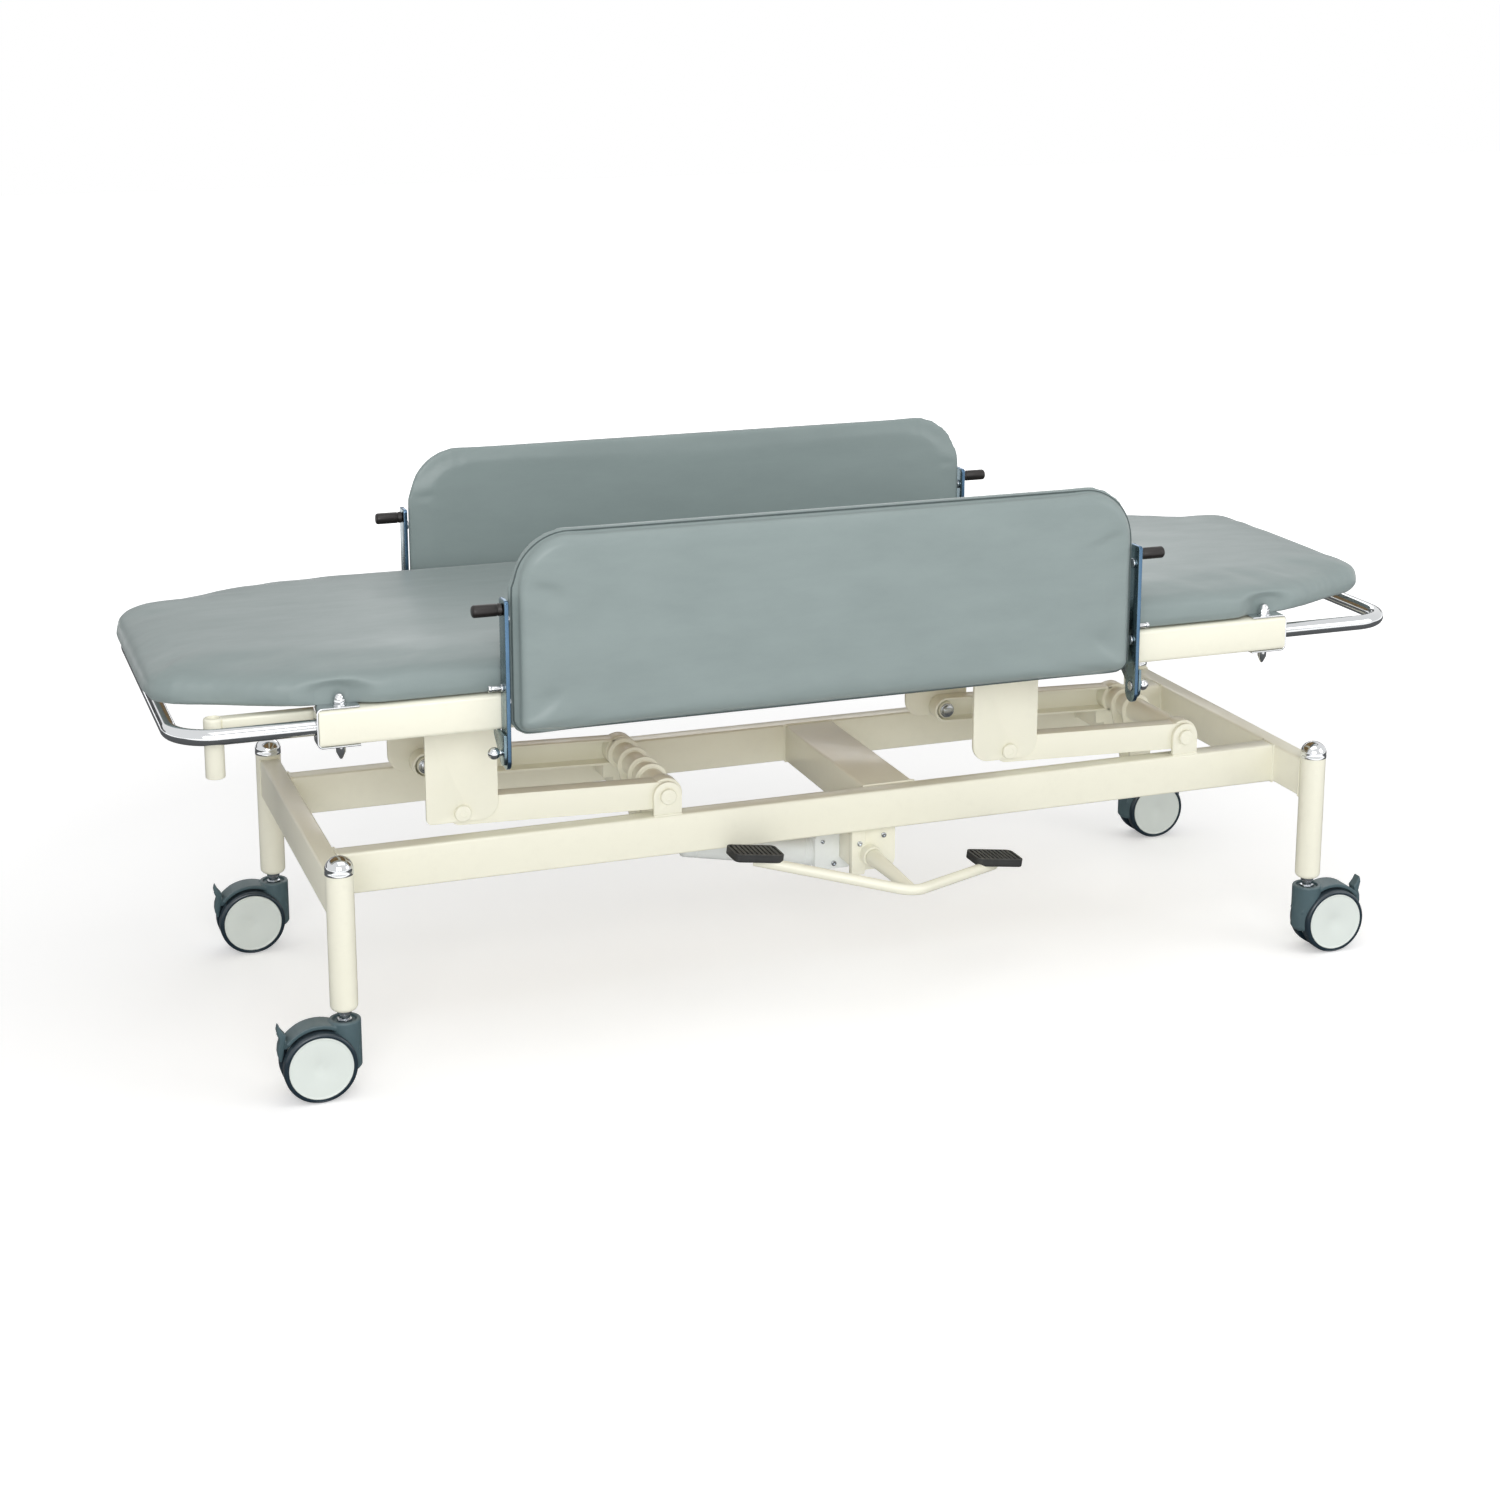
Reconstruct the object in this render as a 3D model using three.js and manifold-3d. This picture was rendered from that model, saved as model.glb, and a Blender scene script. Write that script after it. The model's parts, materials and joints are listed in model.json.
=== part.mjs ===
// Hydraulic stretcher: a bed frame on four casters that a foot pump lifts on parallel arms.
// Millimetres, +Z up, X along the bed, the pump side at -Y, the floor at z = 0.
import * as THREE from 'three';
import { mergeVertices } from 'three/addons/utils/BufferGeometryUtils.js';
import Module from 'manifold-3d';

const wasm = await Module();
wasm.setup();

// Clearances shared by the whole assembly
const seatGap = 0.3;
const runningGap = 0.5;
const overrun = 2;

// Base frame
const base = {
  legSpanX: 1500,
  legSpanY: 566,
  railHeight: 60,
  railWidth: 30,
  railTop: 308,
  railOuterSpan: 388,
  railWall: 2.5,
  railCorner: 4,
  drainRadius: 4,
  crossX: 95.5,
  crossWidth: 81,
};
const leg = { diameter: 38.1, bottom: 120, top: 315, endRound: 8, socketDepth: 40 };
const legCap = { lip: 0.6, skirt: 5, height: 23 };

// Casters
const caster = {
  trail: 38,
  wheelDiameter: 100,
  tread: 12,
  discDiameter: 89,
  discRound: 1.5,
  width: 54,
  core: 19,
  axleRadius: 5,
  stemRadius: 5.5,
  flangeRadius: 9.7,
  flangeHeight: 5,
  collarRadius: 22,
  collarTop: 108,
  cupRadius: 16,
  cupDepth: 14,
  towerBottom: 34,
  hoodRadius: 57.5,
  hoodGap: 1.6,
  hoodWidth: 34,
  coreRadius: 36,
  coreGap: 0.7,
  hoodFrom: 40,
  hoodTo: 165,
  webTo: 200,
};
const brake = {
  pivotOut: 44,
  pivotUp: 33,
  lobe: 6,
  width: 15,
  tipOut: 52.6,
  tipUp: 61.5,
  shoulderOut: 54.6,
  shoulderUp: 53,
  waistOut: 50.8,
  waistUp: 38,
  heelOut: 54.3,
  heelUp: 24,
  toeOut: 51.5,
  toeUp: 8,
  inset: 6.5,
};

// Lift linkage
const lift = {
  lowerX: [-258, 580],
  lowerZ: 336,
  reach: 300,
  rise: 10,
};
const arm = { height: 40, depth: 26, wall: 4, bossRadius: 13, lowerBossRadius: 25 };
const pin = { radius: 8, headRadius: 11.7, headHeight: 5, headRound: 1.5, nutRadius: 9, nutHeight: 5 };
const lug = { halfWidth: 21, thickness: 6 };
const plate = {
  nearInset: 4,
  farReach: 101.5,
  thickness: 6,
  bottom: 333,
  bottomRadius: 26,
  smallRadius: 8,
  left: [-51, -59],
  width: [102, 105],
};
const farStub = { width: 40, height: 40, offset: 15 };
const shaft = { radius: 19, plateRadius: 25, plateThickness: 6 };
const lever = {
  restAngle: 82,
  pushReach: 98,
  pushEnd: 18,
  pushY: [-109, -74],
  tieReach: 135,
  tieEnd: 13,
  tieOffset: -10,
  collarInset: 12,
  rightTieOffsets: [-15, 21],
  pinRadius: 5,
};
const tieBar = { height: 16, thickness: 10, inset: 50 };

// Hydraulic unit
const cylinder = {
  tilt: 11,
  centreY: -91.5,
  radius: 25,
  noseStart: 31,
  noseLength: 14,
  noseRadius: 14,
  boreLength: 205,
  backAllowance: 30,
};
const piston = { rodRadius: 10, rodLength: 190, padWidth: 26, padHeight: 36, padThickness: 6 };
const block = { x: [-6, 56], y: [-125, -62], z: [169, 225], chamfer: 5 };
const mount = {
  thickness: 12,
  flangeX: [33, 54],
  flangeBottom: 174,
  hubRight: 103,
  hubBottom: 180,
  hubCorner: 14,
  ribZ: [186, 236],
  ringRadius: 15.5,
  ringLength: 18,
};

// Foot pedal
const pedal = {
  axisX: 60,
  axisZ: 206,
  tilt: 8,
  shaftRadius: 8,
  shaftEnd: -150,
  discRadius: 13,
  discLength: 7,
  coneRadius: 12,
  coneOut: 142,
  barRadius: 8,
  apexOut: 151,
  endOut: 36,
  leftReach: 204,
  rightReach: 180,
  endRise: 4,
  bendRadius: 40,
  padLength: 76,
  padWidth: 48,
  padThickness: 12,
  padCorner: 9,
  padSink: 4,
  ribCount: 9,
  ribDepth: 1.6,
  ribMargin: 4,
};

// Bed frame
const bed = {
  tubeOuterY: 290,
  tubeWidth: 30,
  tubeHeight: 50,
  tubeBottom: 492,
  tubeX: [-770, 686],
  tubeWall: 3.7,
  tubeCorner: 6,
  endTubeX: [-720, 636],
  crossWidth: 40,
  crossWall: 2.5,
};
const saddle = { thickness: 2.5, length: 55, width: 26, corner: 8, boltInset: 30 };
const saddleBolt = {
  radius: 4,
  nutRadius: 8.5,
  nutShoulder: 1,
  nutHeight: 17,
  washerRadius: 10,
  washerHeight: 1.6,
  tip: 19,
  tipRadius: 6.5,
};
const handle = { radius: 11, endX: [-965, 881], bendRadius: 58, insertion: 110, bendSteps: 6 };
const ivSocket = {
  x: -901,
  y: -245,
  radius: 13,
  bore: 9,
  bottom: 453,
  top: 535,
  armHeight: 30,
  armWidth: 20,
};

// Deck and mattress
const mattress = {
  x: [-980, 885],
  halfWidth: 288,
  bottom: 543.2,
  height: 51,
  crown: 8,
  taperRun: 300,
  drawIn: 2.5,
  bottomInset: 12,
  shoulderInset: 4,
  rimInset: 20,
};
const deck = { inset: 34, thickness: 6 };

// Side guards
const guard = {
  centreX: -51.5,
  halfLength: 464.5,
  hingeY: 306,
  hingeZ: 465,
  padBottom: 22,
  padTop: 302,
  padInner: 13,
  padOuter: -23,
  topCorner: 84,
  bottomCorner: 25,
  faceInset: 22,
  rollInset: 16,
  edgeInset: 5,
  drawIn: 0.6,
  barGap: 3.5,
  barThickness: 6,
  barWidth: 30,
  barTop: 212,
  barBelow: 9,
  spacerRadius: 7,
  spacerZ: [70, 185],
  gripZ: 198,
  gripLength: 41,
  gripRadius: 8.6,
};
const bracket = {
  thickness: 4,
  top: 96,
  below: 3,
  bushRadius: 7,
  plungerRadius: 3,
  knobRadius: 8.6,
  knobOffset: 10.5,
  stopRadius: 3.5,
  stopLength: 17,
  stopZ: 90,
  stopHeadRadius: 4.6,
  stopHeadLength: 5,
};

// Smoothness of round pieces
const fine = { wheel: 16, tube: 16, pin: 12, bolt: 8, nut: 6, bar: 5, link: 4, round: 3, corner: 1 };

// Colours
const paints = {
  cream: new THREE.MeshStandardMaterial({ color: 0xe9e5d2, roughness: 0.42, metalness: 0.1 }),
  chrome: new THREE.MeshStandardMaterial({ color: 0xd8dcde, roughness: 0.12, metalness: 1 }),
  steel: new THREE.MeshStandardMaterial({ color: 0x7f93a2, roughness: 0.3, metalness: 0.9 }),
  vinyl: new THREE.MeshStandardMaterial({ color: 0x919e9d, roughness: 0.5, metalness: 0 }),
  housing: new THREE.MeshStandardMaterial({ color: 0x5a6b70, roughness: 0.5, metalness: 0 }),
  tyre: new THREE.MeshStandardMaterial({ color: 0x2a3a45, roughness: 0.6, metalness: 0 }),
  pump: new THREE.MeshStandardMaterial({ color: 0xe6edee, roughness: 0.4, metalness: 0.1 }),
  rubber: new THREE.MeshStandardMaterial({ color: 0x2e3030, roughness: 0.8, metalness: 0 }),
  grip: new THREE.MeshStandardMaterial({ color: 0x241a18, roughness: 0.45, metalness: 0 }),
  board: new THREE.MeshStandardMaterial({ color: 0x8b7a5e, roughness: 0.8, metalness: 0 }),
};

const radians = THREE.MathUtils.degToRad;
const half = (value) => value / 2;
const middle = (range) => half(range[0] + range[1]);
const span = (range) => range[1] - range[0];

// Solids: closed geometry in, manifold solid out, and back
function closed(geometry) {
  const bare = geometry.clone();
  for (const name of Object.keys(bare.attributes)) {
    if (name !== 'position') bare.deleteAttribute(name);
  }
  bare.clearGroups();
  const merged = mergeVertices(bare);
  const from = merged.index.array;
  const kept = [];
  for (let i = 0; i < from.length; i += 3) {
    const [a, b, c] = [from[i], from[i + 1], from[i + 2]];
    if (a !== b && b !== c && c !== a) kept.push(a, b, c);
  }
  merged.setIndex(signedVolume(merged.attributes.position, kept) < 0 ? kept.reverse() : kept);
  return merged;
}

function signedVolume(position, index) {
  const [a, b, c] = [new THREE.Vector3(), new THREE.Vector3(), new THREE.Vector3()];
  let volume = 0;
  for (let i = 0; i < index.length; i += 3) {
    a.fromBufferAttribute(position, index[i]);
    b.fromBufferAttribute(position, index[i + 1]);
    c.fromBufferAttribute(position, index[i + 2]);
    volume += a.dot(b.cross(c));
  }
  return volume;
}

function solid(geometry) {
  const clean = closed(geometry);
  const vertProperties = new Float32Array(clean.attributes.position.array);
  const triVerts = new Uint32Array(clean.index.array);
  return new wasm.Manifold(new wasm.Mesh({ numProp: 3, vertProperties, triVerts }));
}

function shapeOf(body) {
  const { vertProperties, triVerts } = body.getMesh();
  const geometry = new THREE.BufferGeometry();
  geometry.setAttribute('position', new THREE.BufferAttribute(new Float32Array(vertProperties), 3));
  geometry.setIndex(new THREE.BufferAttribute(new Uint32Array(triVerts), 1));
  geometry.computeVertexNormals();
  return geometry;
}

const join = (...pieces) => shapeOf(pieces.map(solid).reduce((whole, piece) => whole.add(piece)));

function cut(piece, ...tools) {
  return shapeOf(tools.map(solid).reduce((whole, tool) => whole.subtract(tool), solid(piece)));
}

const overlapOf = (a, b) => shapeOf(solid(a).intersect(solid(b)));

// Shapes: blocks, turned pieces, flat plates and bent bars
function box(x, y, z) {
  const geometry = new THREE.BoxGeometry(span(x), span(y), span(z));
  return geometry.translate(middle(x), middle(y), middle(z));
}

// A profile of [radius, height] points turned about an axis through the origin
function turned(axis, profile, segments) {
  const points = profile.map(([radius, height]) => new THREE.Vector2(radius, height));
  const geometry = new THREE.LatheGeometry(points, segments);
  if (axis === 'z') geometry.rotateX(Math.PI / 2);
  if (axis === 'x') geometry.rotateZ(-Math.PI / 2);
  return geometry;
}

function rod(axis, radius, from, to, segments = fine.pin) {
  return turned(axis, [[0, from], [radius, from], [radius, to], [0, to]], segments);
}

// An outline drawn in the plane square to an axis, given its thickness along that axis
function slab(axis, outline, from, to, curveSegments = fine.round) {
  const geometry = new THREE.ExtrudeGeometry(outline, {
    depth: to - from,
    bevelEnabled: false,
    curveSegments,
  });
  if (axis === 'z') return geometry.translate(0, 0, from);
  if (axis === 'y') return geometry.rotateX(Math.PI / 2).translate(0, to, 0);
  const turn = new THREE.Matrix4().makeBasis(
    new THREE.Vector3(0, 1, 0),
    new THREE.Vector3(0, 0, 1),
    new THREE.Vector3(1, 0, 0),
  );
  return geometry.applyMatrix4(turn).translate(from, 0, 0);
}

function roundedRectangle(u, v, radii) {
  const [bottomLeft, bottomRight, topRight, topLeft] = radii;
  const outline = new THREE.Shape();
  outline.moveTo(u[0] + bottomLeft, v[0]);
  outline.lineTo(u[1] - bottomRight, v[0]);
  if (bottomRight) outline.absarc(u[1] - bottomRight, v[0] + bottomRight, bottomRight, -Math.PI / 2, 0);
  outline.lineTo(u[1], v[1] - topRight);
  if (topRight) outline.absarc(u[1] - topRight, v[1] - topRight, topRight, 0, Math.PI / 2);
  outline.lineTo(u[0] + topLeft, v[1]);
  if (topLeft) outline.absarc(u[0] + topLeft, v[1] - topLeft, topLeft, Math.PI / 2, Math.PI);
  outline.lineTo(u[0], v[0] + bottomLeft);
  if (bottomLeft) outline.absarc(u[0] + bottomLeft, v[0] + bottomLeft, bottomLeft, Math.PI, 1.5 * Math.PI);
  return outline;
}

// Two circles and the straight sides that touch both
function linkOutline(from, fromRadius, to, toRadius) {
  const along = Math.atan2(to[1] - from[1], to[0] - from[0]);
  const length = Math.hypot(to[0] - from[0], to[1] - from[1]);
  const lean = Math.acos((fromRadius - toRadius) / length);
  const outline = new THREE.Shape();
  outline.absarc(to[0], to[1], toRadius, along - lean, along + lean);
  outline.absarc(from[0], from[1], fromRadius, along + lean, along - lean + 2 * Math.PI);
  return outline;
}

function polygon(points) {
  return new THREE.Shape(points.map(([u, v]) => new THREE.Vector2(u, v)));
}

// A rectangular tube: its section lies square to the axis
function boxTube(axis, u, v, wall, corner, from, to) {
  const outline = roundedRectangle(u, v, Array(4).fill(corner));
  const inner = Math.max(corner - wall, half(half(wall)));
  const [across, up] = [u, v].map(([low, high]) => [low + wall, high - wall]);
  const hollow = roundedRectangle(across, up, Array(4).fill(inner));
  outline.holes.push(hollow);
  return slab(axis, outline, from, to, fine.corner);
}

// A path of straight runs with round bends, one knot at each end of a run and along each bend
class BentPath extends THREE.Curve {
  constructor(corners, bendRadius, bendSteps) {
    super();
    this.knots = [corners[0]];
    this.headings = [corners[1].clone().sub(corners[0]).normalize()];
    for (let i = 1; i < corners.length - 1; i += 1) {
      this.bend(corners[i - 1], corners[i], corners[i + 1], bendRadius, bendSteps);
    }
    this.knots.push(corners.at(-1));
    this.headings.push(corners.at(-1).clone().sub(corners.at(-2)).normalize());
  }

  bend(before, corner, after, radius, steps) {
    const enter = corner.clone().sub(before).normalize();
    const leave = after.clone().sub(corner).normalize();
    const turn = enter.angleTo(leave);
    const side = leave.clone().addScaledVector(enter, -enter.dot(leave)).normalize();
    const start = corner.clone().addScaledVector(enter, -radius * Math.tan(turn / 2));
    for (let step = 0; step <= steps; step += 1) {
      const angle = (turn * step) / steps;
      const knot = start.clone();
      knot.addScaledVector(enter, radius * Math.sin(angle));
      knot.addScaledVector(side, radius * (1 - Math.cos(angle)));
      const heading = enter.clone().multiplyScalar(Math.cos(angle));
      this.knots.push(knot);
      this.headings.push(heading.addScaledVector(side, Math.sin(angle)));
    }
  }

  get runs() {
    return this.knots.length - 1;
  }

  getPointAt(share) {
    return this.knots[Math.round(share * this.runs)].clone();
  }

  getTangentAt(share) {
    return this.headings[Math.round(share * this.runs)].clone();
  }
}

function bentBar(corners, bendRadius, bendSteps, radius, sides) {
  const path = new BentPath(corners, bendRadius, bendSteps);
  const section = new THREE.Shape();
  section.absarc(0, 0, radius, 0, 2 * Math.PI);
  return new THREE.ExtrudeGeometry(section, {
    steps: path.runs,
    extrudePath: path,
    curveSegments: sides,
  });
}

// A cushion: rings of one outline, drawn towards its spine and set at their own heights
function cushion(outline, spineOf, layers) {
  const rings = layers.map(({ inset, spineShare, height }) => outline.map((edge) => {
    const centre = spineOf(edge);
    const reach = edge.distanceTo(centre);
    const towards = Math.min(1, inset / reach + spineShare * (1 - inset / reach));
    const at = edge.clone().lerp(centre, towards);
    return new THREE.Vector3(at.x, at.y, height);
  }));
  const count = outline.length;
  const index = [];
  for (let layer = 0; layer < rings.length - 1; layer += 1) {
    for (let i = 0; i < count; i += 1) {
      const [low, next] = [layer * count + i, layer * count + ((i + 1) % count)];
      index.push(low, next, next + count, low, next + count, low + count);
    }
  }
  const caps = [rings[0], rings.at(-1)].map((ring) => ring.map((at) => new THREE.Vector2(at.x, at.y)));
  const last = (rings.length - 1) * count;
  for (const [a, b, c] of THREE.ShapeUtils.triangulateShape(caps[0], [])) index.push(c, b, a);
  for (const [a, b, c] of THREE.ShapeUtils.triangulateShape(caps[1], [])) {
    index.push(last + a, last + b, last + c);
  }
  const geometry = new THREE.BufferGeometry().setFromPoints(rings.flat());
  geometry.setIndex(index);
  return geometry;
}

const stretcher = new THREE.Group();
stretcher.name = 'hydraulic_stretcher';

function node(parent, name, geometry, paint) {
  const mesh = new THREE.Mesh(geometry, paints[paint]);
  mesh.name = name;
  parent.add(mesh);
  return mesh;
}

// Planes of the two pairs of arms, each just inside the plates that carry its pins
const upperX = lift.lowerX.map((x) => x - lift.reach);
const upperZ = lift.lowerZ + lift.rise;
const railOuter = half(base.railOuterSpan);
const railInner = railOuter - base.railWidth;
const nearPlate = [-railOuter + plate.nearInset, -railOuter + plate.nearInset + plate.thickness];
const farPlate = [railInner - plate.farReach, railInner - plate.farReach + plate.thickness];
const nearArm = [nearPlate[1] + runningGap, nearPlate[1] + runningGap + arm.depth];
const farArm = [farPlate[0] - runningGap - arm.depth, farPlate[0] - runningGap];

// A pivot pin: a flat head outside the plate, the shank through the plate and the arm's boss.
// The near pins are loose pieces, and the far ones are fixed in their plates.
function pivotPin(x, z, near) {
  const face = near ? nearPlate[0] - seatGap : farPlate[1];
  const way = near ? 1 : -1;
  const inner = near ? nearArm[1] : farArm[0];
  const profile = [
    [0, face - way * pin.headHeight],
    [pin.headRadius - pin.headRound, face - way * pin.headHeight],
    [pin.headRadius, face - way * (pin.headHeight - pin.headRound)],
    [pin.headRadius, face],
    [pin.radius, face],
    [pin.radius, inner + way * seatGap],
    [0, inner + way * seatGap],
  ];
  return turned('y', profile, fine.pin).translate(x, 0, z);
}

// Base frame: two side rails, two end frames of a rail with its capped legs, one cross-member
const legX = half(base.legSpanX);
const legY = half(base.legSpanY);
const legRadius = half(leg.diameter);
const railBottom = base.railTop - base.railHeight;
const railZ = [railBottom, base.railTop];
const endRailInner = legX - half(base.railWidth);

function lugOutline(pivotX, foot) {
  const outline = new THREE.Shape();
  outline.moveTo(pivotX - lug.halfWidth, foot);
  outline.lineTo(pivotX + lug.halfWidth, foot);
  outline.absarc(pivotX, lift.lowerZ, lug.halfWidth, 0, Math.PI);
  return outline;
}

function pinHole(x, z, radius = pin.radius) {
  const hole = rod('y', radius + seatGap, -legY, legY);
  return hole.translate(x, 0, z);
}

function sideRailNear() {
  const reach = endRailInner - seatGap;
  const tube = boxTube('x', [-railOuter, -railInner], railZ, base.railWall, base.railCorner, -reach, reach);
  const foot = base.railTop - half(base.railWall);
  const face = [nearPlate[0], nearPlate[0] + lug.thickness];
  const lugs = lift.lowerX.map((x) => slab('y', lugOutline(x, foot), ...face));
  const holes = lift.lowerX.map((x) => pinHole(x, lift.lowerZ));
  return cut(join(tube, ...lugs), ...holes);
}

function sideRailFar() {
  const pins = lift.lowerX.map((x) => pivotPin(x, lift.lowerZ, false));
  const reach = endRailInner - seatGap;
  const tube = boxTube('x', [railInner, railOuter], railZ, base.railWall, base.railCorner, -reach, reach);
  const stubZ = [base.railTop - farStub.height, base.railTop];
  const face = [farPlate[0], farPlate[0] + lug.thickness];
  const pieces = lift.lowerX.flatMap((x) => {
    const middleX = x + farStub.offset;
    const stubX = [middleX - half(farStub.width), middleX + half(farStub.width)];
    const stub = box(stubX, [face[0], railInner + half(base.railWall)], stubZ);
    return [stub, slab('y', lugOutline(x, middle(stubZ)), ...face)];
  });
  return join(tube, ...pieces, ...pins);
}

function endFrame(x) {
  const across = [x - half(base.railWidth), x + half(base.railWidth)];
  const rail = boxTube('y', across, railZ, base.railWall, base.railCorner, -legY, legY);
  const drain = rod('z', base.drainRadius, railBottom - overrun, middle(railZ), fine.bolt).translate(x, 0, 0);
  const legs = [-legY, legY].map((y) => join(legTube(), legDome()).translate(x, y, 0));
  return cut(join(rail, ...legs), drain);
}

function crossMember() {
  const across = [base.crossX - half(base.crossWidth), base.crossX + half(base.crossWidth)];
  const reach = railInner - seatGap;
  return boxTube('y', across, railZ, base.railWall, base.railCorner, -reach, reach);
}

function quarterArc(centreU, centreV, radiusU, radiusV, from, to, steps = fine.link) {
  return Array.from({ length: steps + 1 }, (_, step) => {
    const angle = radians(from + ((to - from) * step) / steps);
    return [centreU + radiusU * Math.cos(angle), centreV + radiusV * Math.sin(angle)];
  });
}

function legTube() {
  const bore = caster.stemRadius + seatGap;
  const roundCentre = [legRadius - leg.endRound, leg.bottom + leg.endRound];
  const round = quarterArc(...roundCentre, leg.endRound, leg.endRound, -90, 0, fine.corner);
  return turned('z', [
    [0, leg.bottom + leg.socketDepth],
    [bore, leg.bottom + leg.socketDepth],
    [bore, leg.bottom],
    ...round,
    [legRadius, leg.top],
    [0, leg.top],
  ], fine.tube);
}

function legDome() {
  const foot = leg.top - half(legCap.skirt);
  const radius = legRadius + legCap.lip;
  const rise = legCap.height - legCap.skirt;
  const dome = quarterArc(0, leg.top + legCap.skirt, radius, rise, 0, 90, fine.round);
  const crown = [0, leg.top + legCap.height];
  return turned('z', [[0, foot], [radius, foot], ...dome.slice(0, -1), crown], fine.tube);
}

node(stretcher, 'base_side_rail_near', sideRailNear(), 'cream');
node(stretcher, 'base_side_rail_far', sideRailFar(), 'cream');
node(stretcher, 'base_end_frame_left', endFrame(-legX), 'cream');
node(stretcher, 'base_end_frame_right', endFrame(legX), 'cream');
node(stretcher, 'base_cross_member', crossMember(), 'cream');

const corners = [
  { name: 'near_left', x: -legX, y: -legY },
  { name: 'near_right', x: legX, y: -legY },
  { name: 'far_left', x: -legX, y: legY },
  { name: 'far_right', x: legX, y: legY },
];

// Casters: a swivel housing with its stem, a twin wheel with its axle, and a brake pedal.
// Each is drawn with its stem at the origin and the wheel trailing towards +X.
const wheelRadius = half(caster.wheelDiameter);
const wheelReach = wheelRadius / Math.cos(Math.PI / fine.wheel);
const brakePivot = [caster.trail + brake.pivotOut, wheelRadius + brake.pivotUp];

function casterWheel() {
  const inner = half(caster.core);
  const outer = half(caster.width);
  const disc = half(caster.discDiameter);
  const shoulder = outer - caster.discRound;
  const treadOuter = inner + caster.tread;
  const profile = [
    [caster.axleRadius, inner],
    [wheelReach, inner],
    [wheelReach, treadOuter],
    [disc, shoulder],
    [disc - caster.discRound, outer],
    [0, outer],
  ];
  const mirrored = profile.map(([radius, at]) => [radius, -at]).reverse();
  const wheel = turned('y', [...mirrored, ...profile], fine.wheel);
  return wheel.rotateY(Math.PI / fine.wheel);
}

function hoodBand() {
  const outline = new THREE.Shape();
  const inner = wheelReach + caster.hoodGap;
  outline.absarc(0, 0, caster.hoodRadius, radians(caster.hoodFrom), radians(caster.hoodTo));
  outline.absarc(0, 0, inner, radians(caster.hoodTo), radians(caster.hoodFrom), true);
  return slab('y', outline, -half(caster.hoodWidth), half(caster.hoodWidth));
}

function coreWeb() {
  const outline = new THREE.Shape();
  const inner = wheelReach + caster.hoodGap + half(caster.hoodRadius - wheelReach - caster.hoodGap);
  outline.absarc(0, 0, inner, radians(caster.hoodFrom), radians(caster.webTo));
  outline.absarc(0, 0, caster.coreRadius, radians(caster.webTo), radians(caster.hoodFrom) + 2 * Math.PI);
  const reach = half(caster.core) - caster.coreGap;
  return slab('y', outline, -reach, reach);
}

function casterHousing() {
  const tower = rod('z', caster.collarRadius, caster.towerBottom, caster.collarTop);
  const wheelAt = [caster.trail, 0, wheelRadius];
  const hood = hoodBand().translate(...wheelAt);
  const web = coreWeb().translate(...wheelAt);
  const body = join(tower, hood, web);
  const sideGap = half(caster.core) - caster.coreGap;
  const clear = wheelReach + caster.hoodGap;
  const wheelRoom = [
    rod('y', clear, sideGap, caster.width, fine.wheel),
    rod('y', clear, -caster.width, -sideGap, fine.wheel),
  ].map((room) => room.translate(...wheelAt));
  const bore = rod('y', caster.axleRadius + seatGap, -caster.width, caster.width).translate(...wheelAt);
  const cup = rod('z', caster.cupRadius, caster.collarTop - caster.cupDepth, caster.collarTop + overrun);
  const lobeRoom = rod('y', brake.lobe + runningGap, -caster.width, caster.width, fine.bolt);
  lobeRoom.translate(brakePivot[0], 0, brakePivot[1]);
  const shell = cut(body, ...wheelRoom, bore, cup, lobeRoom);
  const stemFoot = caster.collarTop - caster.cupDepth - overrun;
  const flangeTop = leg.bottom - seatGap;
  const stem = turned('z', [
    [0, stemFoot],
    [caster.stemRadius, stemFoot],
    [caster.stemRadius, flangeTop - caster.flangeHeight],
    [caster.flangeRadius, flangeTop - caster.flangeHeight],
    [caster.flangeRadius, flangeTop],
    [caster.stemRadius, flangeTop],
    [caster.stemRadius, leg.bottom + leg.socketDepth - runningGap],
    [0, leg.bottom + leg.socketDepth - runningGap],
  ], fine.bolt);
  return join(shell, stem);
}

function brakePedal() {
  const out = (value) => caster.trail + value;
  const up = (value) => wheelRadius + value;
  const blade = slab('y', polygon([
    [out(brake.shoulderOut - brake.inset - brake.inset), up(brake.waistUp + brake.inset)],
    [out(brake.waistOut - brake.inset), up(brake.pivotUp - brake.inset)],
    [out(brake.toeOut - half(brake.inset)), up(brake.toeUp)],
    [out(brake.toeOut), up(brake.toeUp)],
    [out(brake.heelOut), up(brake.heelUp)],
    [out(brake.waistOut), up(brake.waistUp)],
    [out(brake.shoulderOut), up(brake.shoulderUp)],
    [out(brake.tipOut), up(brake.tipUp)],
    [out(brake.tipOut - half(brake.inset)), up(brake.shoulderUp)],
  ]), -half(brake.width), half(brake.width));
  const lobe = rod('y', brake.lobe, -half(brake.width), half(brake.width), fine.bolt);
  return join(blade, lobe.translate(brakePivot[0], 0, brakePivot[1]));
}

for (const { name, x, y } of corners) {
  const turn = new THREE.Group();
  turn.position.set(x, y, 0);
  turn.rotation.z = x < 0 ? Math.PI : 0;
  stretcher.add(turn);
  node(turn, `caster_housing_${name}`, casterHousing(), 'housing');
  const wheel = node(turn, `caster_wheel_${name}`, casterWheel(), 'tyre');
  wheel.position.set(caster.trail, 0, wheelRadius);
  node(turn, `caster_brake_${name}`, brakePedal(), 'housing');
}

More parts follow.
